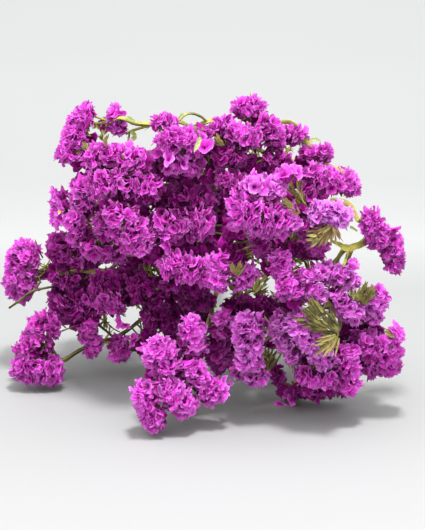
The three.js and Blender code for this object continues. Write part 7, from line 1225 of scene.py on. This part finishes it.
def spike(sheets, p0, p1, R, F, violet, painted_light_shade, openness, rng, others):
    """One dense, one-sided spike: calyxes stand in a fan on the side that F names, bracts clothe the back."""
    p0, p1, F = np.array(p0, float), np.array(p1, float), unit(F)
    ax = p1 - p0
    L = np.linalg.norm(ax)
    ax = ax / max(L, 1e-6)
    F = unit(F - ax * (F @ ax) * 0.7)
    M = 1500
    z = rng.uniform(-1, 1, M) * (L / 2 + R)
    az = rng.uniform(0, 2 * np.pi, M)
    s, o = across(ax[None], F[None])
    s, o = s[0], o[0]
    core = np.clip(z, -L / 2, L / 2)
    k = z - core
    ring = np.sqrt(np.maximum(R * R - k * k, 0))
    normal = unit((ax[None] * k[:, None] + (s[None] * np.cos(az)[:, None] + o[None] * np.sin(az)[:, None]) * ring[:, None]) / R)
    mid = (p0 + p1) / 2
    centre = mid + ax[None] * core[:, None]
    facing = normal @ F
    wob = 1 + 0.05 * np.sin(core / 5.0 + rng.uniform(0, 6)) + 0.04 * np.sin(az * 3 + rng.uniform(0, 6))
    mouth = centre + normal * ((R - 2.5) * wob)[:, None]
    ok = (facing > -0.42 + 0.12 * rng.normal(size=M)) & (depth_inside(mouth, others) < 1.6)
    gap = GAP * openness
    chosen = []
    pts = np.zeros((0, 3))
    for i in np.flatnonzero(ok):
        if len(pts) and np.min(((pts - mouth[i]) ** 2).sum(1)) < gap * gap:
            continue
        chosen.append(i)
        pts = np.vstack([pts, mouth[i]])
        if len(chosen) >= 140:
            break
    c = np.array(chosen, int)
    heart = []
    for i in rng.permutation(np.flatnonzero(ok)):
        if all(((mouth[j] - mouth[i]) ** 2).sum() > SPIKELET * SPIKELET for j in heart):
            heart.append(i)
        if len(heart) >= 40:
            break
    heart = np.array(heart, int)
    gapv = mouth[:, None, :] - mouth[heart][None, :, :]
    near = np.argmin((gapv**2).sum(-1), axis=1)
    off = gapv[np.arange(M), near]
    dist = np.linalg.norm(off, axis=1)
    bulge = 0.7 - 1.1 * np.minimum(dist / (0.72 * SPIKELET), 1.15) ** 2 + rng.normal(0, 0.35, len(heart))[near]
    lean = off / np.maximum(dist, 0.5)[:, None] * np.minimum(dist / 4.0, 1.0)[:, None]
    deep = np.maximum(depth_inside(mouth + normal * 6, others), depth_inside(mouth + normal * 13, others))
    hid = deep[c] > 0
    # painted shade: flowers shut in by other spikes, and flowers that face down, are darkened; the head's own value
    # adds painted light and shade
    tone = np.full(M, float(painted_light_shade))
    shut = painted_shade_cover(mouth[c], normal[c], others)
    tone[c] -= 2.9 * np.clip((shut - 0.26) / 0.50, 0, 1) ** 1.15 + 0.45 * np.clip(-normal[c, 2], 0, 1)
    back = normal[c] @ unit(EYE - mid) < -0.15
    for d in (14.0, 22.0, 32.0, 45.0, 60.0, 80.0, 100.0):
        back |= depth_inside(mouth[c] + unit(EYE - mouth[c]) * d, others) > 3.0
    lay = rng.uniform(0, np.pi, len(heart))
    for layer, rows, detail in ((0, c[~hid & ~back], FINE), (0, c[~hid & back], MIDDLE), (0, c[hid], PLAIN), (1, c[::3], INNER)):
        N = len(rows)
        if not N:
            continue
        rachis = centre[rows] - F * 0.42 * R - ax * rng.uniform(0, 3, (N, 1))
        way = unit(unit(mouth[rows] - rachis) * 0.45 + normal[rows] * 0.20 + F * 0.52 + rng.normal(size=(N, 3)) * 0.14 + ax * 0.10 + lean[rows] * 0.40)
        spot = mouth[rows] + normal[rows] * bulge[rows][:, None]
        if layer:
            spot = spot - way * rng.uniform(2.6, 4.0, (N, 1)) + rng.normal(size=(N, 3)) * 1.6
        radius = rng.uniform(3.5, 4.9, N) * openness
        length = np.clip(rng.normal(10.3, 0.6, N), 8.8, 11.8) * (0.7 if layer else 1)
        squash = np.where(rng.uniform(size=N) < 0.90, rng.uniform(0.13, 0.34, N), rng.uniform(0.5, 0.9, N))
        flat = np.cross(way, F)
        slant = np.linalg.norm(flat, axis=1)
        w_ = np.clip((slant - 0.40) / 0.40, 0, 1)[:, None]
        la = lay[near[rows]][:, None]
        wide = flat / np.maximum(slant, 1e-3)[:, None] * w_ + (s[None] * np.cos(la) + o[None] * np.sin(la)) * (1 - w_)
        turn = rng.normal(0, 0.35, N)
        reach = rng.normal(0.0, 0.32, N)
        tint = np.clip(violet + rng.normal(0, 0.10, N), 0, 1)
        # painted shade: the inner layer, set deeper, is made 0.1 darker
        calyxes(sheets, spot + way * reach[:, None], way, wide, length, radius, squash, tint, tone[rows] - (0.1 if layer else 0), rng, detail, 0, turn, normal[rows])
    # the axis behind, and the bracts in two rows on it
    q0 = mid - ax * (L / 2 + R * 0.55) - F * 0.46 * R
    q1 = mid + ax * (L / 2 + R * 0.45) - F * 0.40 * R
    tube(sheets, [q0, (q0 + q1) / 2 - F * 0.06 * R, q1], 1.0, 0.7, sides=6, step=4.0, rnd=rng.uniform(0.3, 0.7))
    n = int((L + 1.2 * R) / 2.3)
    f = 0.14 + 0.66 * (np.arange(n) + 0.5) / n
    for layer, (spread, size, turn) in enumerate((((92, 135), (8.0, 10.5), 0.25), ((135, 175), (6.0, 8.5), 0.45))):
        for side in (-1, 1):
            ang = np.radians(rng.uniform(*spread, n)) * side
            d = s[None] * np.cos(ang)[:, None] + o[None] * np.sin(ang)[:, None]
            d = unit(d + ax[None] * (turn + rng.normal(0, 0.12, (n, 1))) + rng.normal(size=(n, 3)) * 0.10)
            b = q0 + (q1 - q0) * (f[:, None] + rng.uniform(-0.4, 0.4, (n, 1)) / n)
            blades(sheets, b, d, np.broadcast_to(F, (n, 3)) - d * (d @ F)[:, None], rng.uniform(*size, n) * min(1.0, R / 11.0), rng.uniform(2.0, 3.0, n), rng, bend=0.22, rows=3)
    return (q0, q1)


for number, (head, spikes) in enumerate(SPIKES.items()):
    rng = np.random.default_rng(100 + number)
    sh = Sheets()
    ends = []
    for i, (p0, p1, R, F, violet, painted_light_shade, openness) in enumerate(spikes):
        others = [q[:3] for h2, rows in SPIKES.items() for j, q in enumerate(rows) if (h2, j) != (head, i)]
        ends.append(spike(sh, p0, p1, R, F, violet, painted_light_shade, openness, rng, others))
    root = np.array(ROOTS[head][0], float)
    arrive = unit(ROOTS[head][1])
    for q0, q1 in ends:
        near = q0 if np.linalg.norm(q0 - root) < np.linalg.norm(q1 - root) else q1
        far = q1 if near is q0 else q0
        inner = near * 0.75 + far * 0.25
        if np.linalg.norm(inner - root) > 3:
            tube(sh, [root - arrive * 3, root + (inner - root) * 0.45 + arrive * 1.5, inner], 1.1, 0.9, sides=6, step=3.0, rnd=0.4)
    for form, *what in EXTRAS.get(head, ()):
        if form == "fan":
            bract_fan(sh, *what, rng)
        elif form == "twig":
            tube(sh, what[0], what[1], what[2], sides=6, step=2.5, mat=1, rnd=what[3])
        elif form == "leaf":
            strap(sh, *what, rng)
        elif form == "tuft":
            tuft(sh, *what, rng)
        else:
            lone(sh, *what, rng)
    ob = sh.build("blooms_" + head.split("_")[-1], [PETAL, BRACT, LEAF, COROLLA])
    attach(ob, "root")
    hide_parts(head)

# ---------------------------------------------------------------- stems
def winged(sheets, pts, core, wings, wing, rng, step=3.0, tone=(0.25, 0.7)):
    c, x = resample(pts, step)
    t, n, b = frames(c)
    m = len(c)
    turn = rng.uniform(0, 6.28) + x * rng.uniform(-0.012, 0.012)
    shape_a, shape_r, shape_e = [], [], []
    ws = []
    for w in range(wings):
        a = 2 * np.pi * w / wings
        d = np.pi / wings
        ph = rng.uniform(0, 6.28)
        wr = wing * (0.86 + 0.22 * np.sin(x / 6.5 + ph) + 0.10 * np.sin(x / 2.1 + ph * 2))
        wr = np.maximum(wr, 1.05)
        fade = np.minimum(1, np.minimum(x, x[-1] - x) / 7.0)
        wr = 1.05 + (wr - 1.05) * (0.35 + 0.65 * fade)
        eps = 0.10 / wing
        wave = 0.16 * np.sin(x / 3.4 + ph * 3)
        for off, rr, e in ((-d, 0.9, 0.0), (-0.45 * d, 1.05, 0.1), (-eps, None, 1.0), (eps, None, 1.0)):
            shape_a.append(a + off + turn + (wave if rr is None else 0))
            shape_r.append(core * (wr if rr is None else rr))
            shape_e.append(e)
    A = np.stack([np.broadcast_to(q, (m,)) for q in shape_a], 1)
    Rr = np.stack([np.broadcast_to(np.asarray(q, float), (m,)) for q in shape_r], 1)
    knob = 1 + 0.12 * np.exp(-((x - 0) / 2.5) ** 2)
    P = c[:, None, :] + (Rr * knob[:, None])[..., None] * (np.cos(A)[..., None] * n[:, None, :] + np.sin(A)[..., None] * b[:, None, :])
    E = np.array(shape_e)[None, None, :]
    P = np.concatenate([c[:1, None, :] + (P[:1] - c[:1, None, :]) * 0.04, P, c[-1:, None, :] + (P[-1:] - c[-1:, None, :]) * 0.04], 0)
    sheets.add(P, True, 0, rnd=rng.uniform(*tone) + 0.0 * P[None, ..., 0], edge=E, weight=2)


for number, (stem, tubes) in enumerate(STEMS.items()):
    rng = np.random.default_rng(700 + number)
    sh = Sheets()
    for kind, level, r, pts in tubes:
        pts = np.array(pts, float)
        core = {"trunk": 1.35, "branch": 1.05, "chain": 1.25, "stalk": 0.8, "twig": 0.8}[kind]
        wing = {"trunk": 1.95, "branch": 1.75, "chain": 1.6, "stalk": 1.45, "twig": 1.3}[kind]
        # painted shade: tubes with a zero in the radius column get the darkest tone
        winged(sh, pts, core, 4 if kind == "trunk" else 3, wing, rng, step=4.2 if kind == "trunk" else 3.0, tone=(0.0, 0.10) if r == 0 else (0.55, 0.8) if kind == "chain" else (0.25, 0.7))
        # leaflets where a branch starts
        d = unit(pts[1] - pts[0])
        k = {"trunk": 0, "branch": 3, "chain": 2, "stalk": 2, "twig": 1}[kind]
        if k:
            w = unit(d + rng.normal(size=(k, 3)) * 0.55)
            ln = rng.uniform(7, 17, k) * (1.25 if level <= 1 else 0.8)
            blades(sh, pts[0] + w * 0.4, w, rng.normal(size=(k, 3)), ln, rng.uniform(1.8, 3.0, k), rng, mat=0, bend=rng.uniform(0.1, 0.4), rows=7, fold=0.5)
        if kind == "trunk":
            # a few strap leaves up the bare stem
            c, x = resample(pts, 6.0)
            t, n, b = frames(c)
            for at in rng.choice(np.arange(5, len(c) - 6), 3, replace=False):
                if abs(c[at, 1] - TIE[1]) < 14:
                    continue
                w = unit(-t[at] * 0.0 + t[at] * 1.0 + n[at] * rng.normal() * 0.5 + b[at] * rng.normal() * 0.5)
                blades(sh, c[at][None], w[None], rng.normal(size=(1, 3)), np.array([rng.uniform(14, 26)]), np.array([rng.uniform(2.2, 3.2)]), rng, mat=0, bend=0.15, rows=8, fold=0.5)
    for form, *what in EXTRAS.get(stem, ()):
        if form == "twig":
            tube(sh, what[0], what[1], what[2], sides=6, step=2.5, mat=0, rnd=what[3])
        elif form == "leaf":
            strap(sh, *what, rng)
        elif form == "fan":
            bract_fan(sh, *what, rng, 0)
    # leaflets and spent bracts clothe the stems inside the flowers
    for x, y, z, dx, dy, dz in LEAFY[stem]:
        c, t = np.array([x, y, z]), np.array([dx, dy, dz])
        k = 4
        w = unit(t * rng.uniform(0.2, 1.2, (k, 1)) + rng.normal(size=(k, 3)) * 0.8)
        blades(sh, c + w * 0.5 + t * rng.uniform(-2, 2, (k, 1)), w, rng.normal(size=(k, 3)), rng.uniform(6, 13, k), rng.uniform(1.6, 3.2, k), rng, mat=0, bend=rng.uniform(0.0, 0.4), rows=4, fold=0.45)
    # bare side twigs that hold spent, scaly flower bases
    for a, b in SPRAYS[stem]:
        a, b = np.array(a), np.array(b)
        m = (a + b) / 2 + rng.normal(size=3) * 1.5
        tube(sh, [a, m, b], 0.75, 0.55, sides=5, step=4.0, mat=0, rnd=rng.uniform(0.2, 0.6))
        t = unit(b - a)
        k = 9
        w = unit(t * rng.uniform(0.1, 1.2, (k, 1)) + rng.normal(size=(k, 3)) * 0.7)
        blades(sh, b - t * rng.uniform(0, 6, (k, 1)), w, rng.normal(size=(k, 3)), rng.uniform(4, 7, k), rng.uniform(1.6, 2.8, k), rng, mat=0, bend=0.2, rows=3, fold=0.5)
    ob = sh.build("stem_piece_" + stem.split("_")[-1], [STEM, BRACT, LEAF])
    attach(ob, "root")
    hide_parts(stem)

# ---------------------------------------------------------------- twine
rng = np.random.default_rng(9)
sh = Sheets()
side = np.array([1.0, 0.0, 0.0])
upw = np.cross(side, BUNDLE)
upw = upw if upw[2] > 0 else -upw
turns = 3
tt = np.linspace(0, turns * 2 * np.pi, turns * 44)
rad = 8.75 + 0.12 * np.sin(tt * 6)
core_line = TIE + side * (np.sin(tt) * rad)[:, None] + upw * (np.cos(tt) * rad)[:, None] + BUNDLE * ((tt / (2 * np.pi) - turns / 2) * 1.75)[:, None]


def ply(line, r, pitch=5.5, strand=0.52, off=0.42):
    c, x = resample(line, 0.9)
    t, n, b = frames(c)
    for k in (0.0, np.pi):
        a = x / pitch * 2 * np.pi + k
        s = c + off * (np.cos(a)[:, None] * n + np.sin(a)[:, None] * b)
        tube(sh, s, strand, strand, sides=6, step=0.9, mat=0, weight=2)


ply(core_line, 0.9)
top = TIE + upw * 10.2
for s_ in (-1, 1):
    f = np.linspace(0, 1, 9)
    ln = 25.0 if s_ > 0 else 21.0
    tail = top + side * (s_ * (0.5 + f * ln * 0.62))[:, None] + upw * (0.5 + f * ln * 0.33 - (f * ln) ** 2 * 0.030)[:, None] + BUNDLE * (s_ * f * 3.6 + f * 3)[:, None]
    ply(tail, 0.9)
    e = tail[-1]
    w = unit(unit(tail[-1] - tail[-3])[None] + rng.normal(size=(7, 3)) * 0.35)
    blades(sh, np.repeat(e[None], 7, 0), w, rng.normal(size=(7, 3)), rng.uniform(2.5, 4.5, 7), rng.uniform(0.25, 0.4, 7), rng, mat=0, rows=4)
ka = np.linspace(0, 2 * np.pi, 26)
knot = top + side * (np.sin(ka) * 2.1)[:, None] + BUNDLE * (np.sin(2 * ka) * 1.3)[:, None] + upw * (np.cos(ka) * 1.0 - 0.2)[:, None]
ply(knot, 0.9)
ob = sh.build("twine", [TWINE])
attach(ob, "root")
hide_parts("twine_tie")

# ---------------------------------------------------------------- floor, light
fm = bpy.data.materials.new("studio_floor")
nt, nd, lk = nodes_of(fm)
out = nd.new("ShaderNodeOutputMaterial")
bsdf = nd.new("ShaderNodeBsdfPrincipled")
where = nd.new("ShaderNodeTexCoord")
split = nd.new("ShaderNodeSeparateXYZ")
lk.new(where.outputs["Object"], split.inputs[0])
far = map_range(nd, lk, split.outputs[1], 0.1, 2.6, 0.0, 1.0)
# painted light and shade: the sweep's colour is set lighter and darker along its depth to give the backdrop its
# brightness
paint = ramp(nd, [(0.0, (0.308, 0.31, 0.311)), (0.06, (0.366, 0.368, 0.369)), (0.15, (0.318, 0.32, 0.321)), (0.35, (0.268, 0.27, 0.271)), (1.0, (0.277, 0.279, 0.28))])
lk.new(far, paint.inputs[0])
lk.new(paint.outputs[0], bsdf.inputs["Base Color"])
# painted light: the far sweep glows a little, though it is no lamp
glow = map_range(nd, lk, split.outputs[1], 0.15, 1.3, 0.0, 0.01)
lk.new(glow, bsdf.inputs["Emission Strength"])
bsdf.inputs["Emission Color"].default_value = (1, 1, 1, 1)
bsdf.inputs["Roughness"].default_value = 0.9
bsdf.inputs["Specular IOR Level"].default_value = 0.1
# the near floor takes its light mostly from above and behind
geo = nd.new("ShaderNodeNewGeometry")
lean = nd.new("ShaderNodeVectorMath")
lean.operation = "SCALE"
lean.inputs[0].default_value = (0.05, 0.60, 0.0)
lk.new(map_range(nd, lk, split.outputs[1], 0.12, 1.0, 1.0, 0.0), lean.inputs["Scale"])
tilt = nd.new("ShaderNodeVectorMath")
tilt.operation = "ADD"
lk.new(geo.outputs["Normal"], tilt.inputs[0])
lk.new(lean.outputs[0], tilt.inputs[1])
unit_n = nd.new("ShaderNodeVectorMath")
unit_n.operation = "NORMALIZE"
lk.new(tilt.outputs[0], unit_n.inputs[0])
lk.new(unit_n.outputs[0], bsdf.inputs["Normal"])
lk.new(bsdf.outputs[0], out.inputs["Surface"])
prof = [(-5.0, 0.0), (0.35, 0.0)] + [(0.35 + 2.6 * math.sin(a), 2.6 - 2.6 * math.cos(a)) for a in np.linspace(0.05, math.pi / 2, 28)] + [(2.95, 5.0)]
me = bpy.data.meshes.new("sweep")
vs = [(x, y, z) for y, z in prof for x in (-6.0, 6.0)]
fs = [(2 * i, 2 * i + 1, 2 * i + 3, 2 * i + 2) for i in range(len(prof) - 1)]
me.from_pydata(vs, [], fs)
me.materials.append(fm)
for p in me.polygons:
    p.use_smooth = True
floor = bpy.data.objects.new("sweep", me)
bpy.context.scene.collection.objects.link(floor)


def area(name, loc, aim, size, power, colour=(1, 1, 1)):
    li = bpy.data.lights.new(name, "AREA")
    li.shape = "RECTANGLE"
    li.size, li.size_y = size
    li.energy = power
    li.color = colour
    o = bpy.data.objects.new(name, li)
    bpy.context.scene.collection.objects.link(o)
    o.location = loc
    o.rotation_euler = (Vector(aim) - Vector(loc)).to_track_quat("-Z", "Y").to_euler()
    return o


mid_x, mid_y = float(SHIFT[0]) * MM, float(SHIFT[1]) * MM
area("key", (mid_x - 0.30, mid_y - 0.72, 1.22), (mid_x, mid_y, 0.08), (0.8, 0.8), 4)
area("overhead", (mid_x + 0.08, mid_y - 0.24, 1.31), (mid_x, mid_y, 0.05), (0.20, 0.20), 28)
world = bpy.data.worlds.new("studio")
bpy.context.scene.world = world
world.use_nodes = True
wn, wl = world.node_tree.nodes, world.node_tree.links
bg = wn.get("Background")
bg.inputs[0].default_value = (1, 1, 1, 1)
# a soft dome: bright overhead and to the front left, dim at the horizon
sky = wn.new("ShaderNodeTexCoord")
lean = wn.new("ShaderNodeVectorMath")
lean.operation = "DOT_PRODUCT"
lean.inputs[1].default_value = (-0.25, -0.80, 0.45)
wl.new(sky.outputs["Generated"], lean.inputs[0])
wl.new(map_range(wn, wl, lean.outputs["Value"], -0.95, 0.95, 1.25, 3.30), bg.inputs[1])
bpy.context.scene.view_settings.view_transform = "Standard"
bpy.context.scene.view_settings.exposure = 0.0
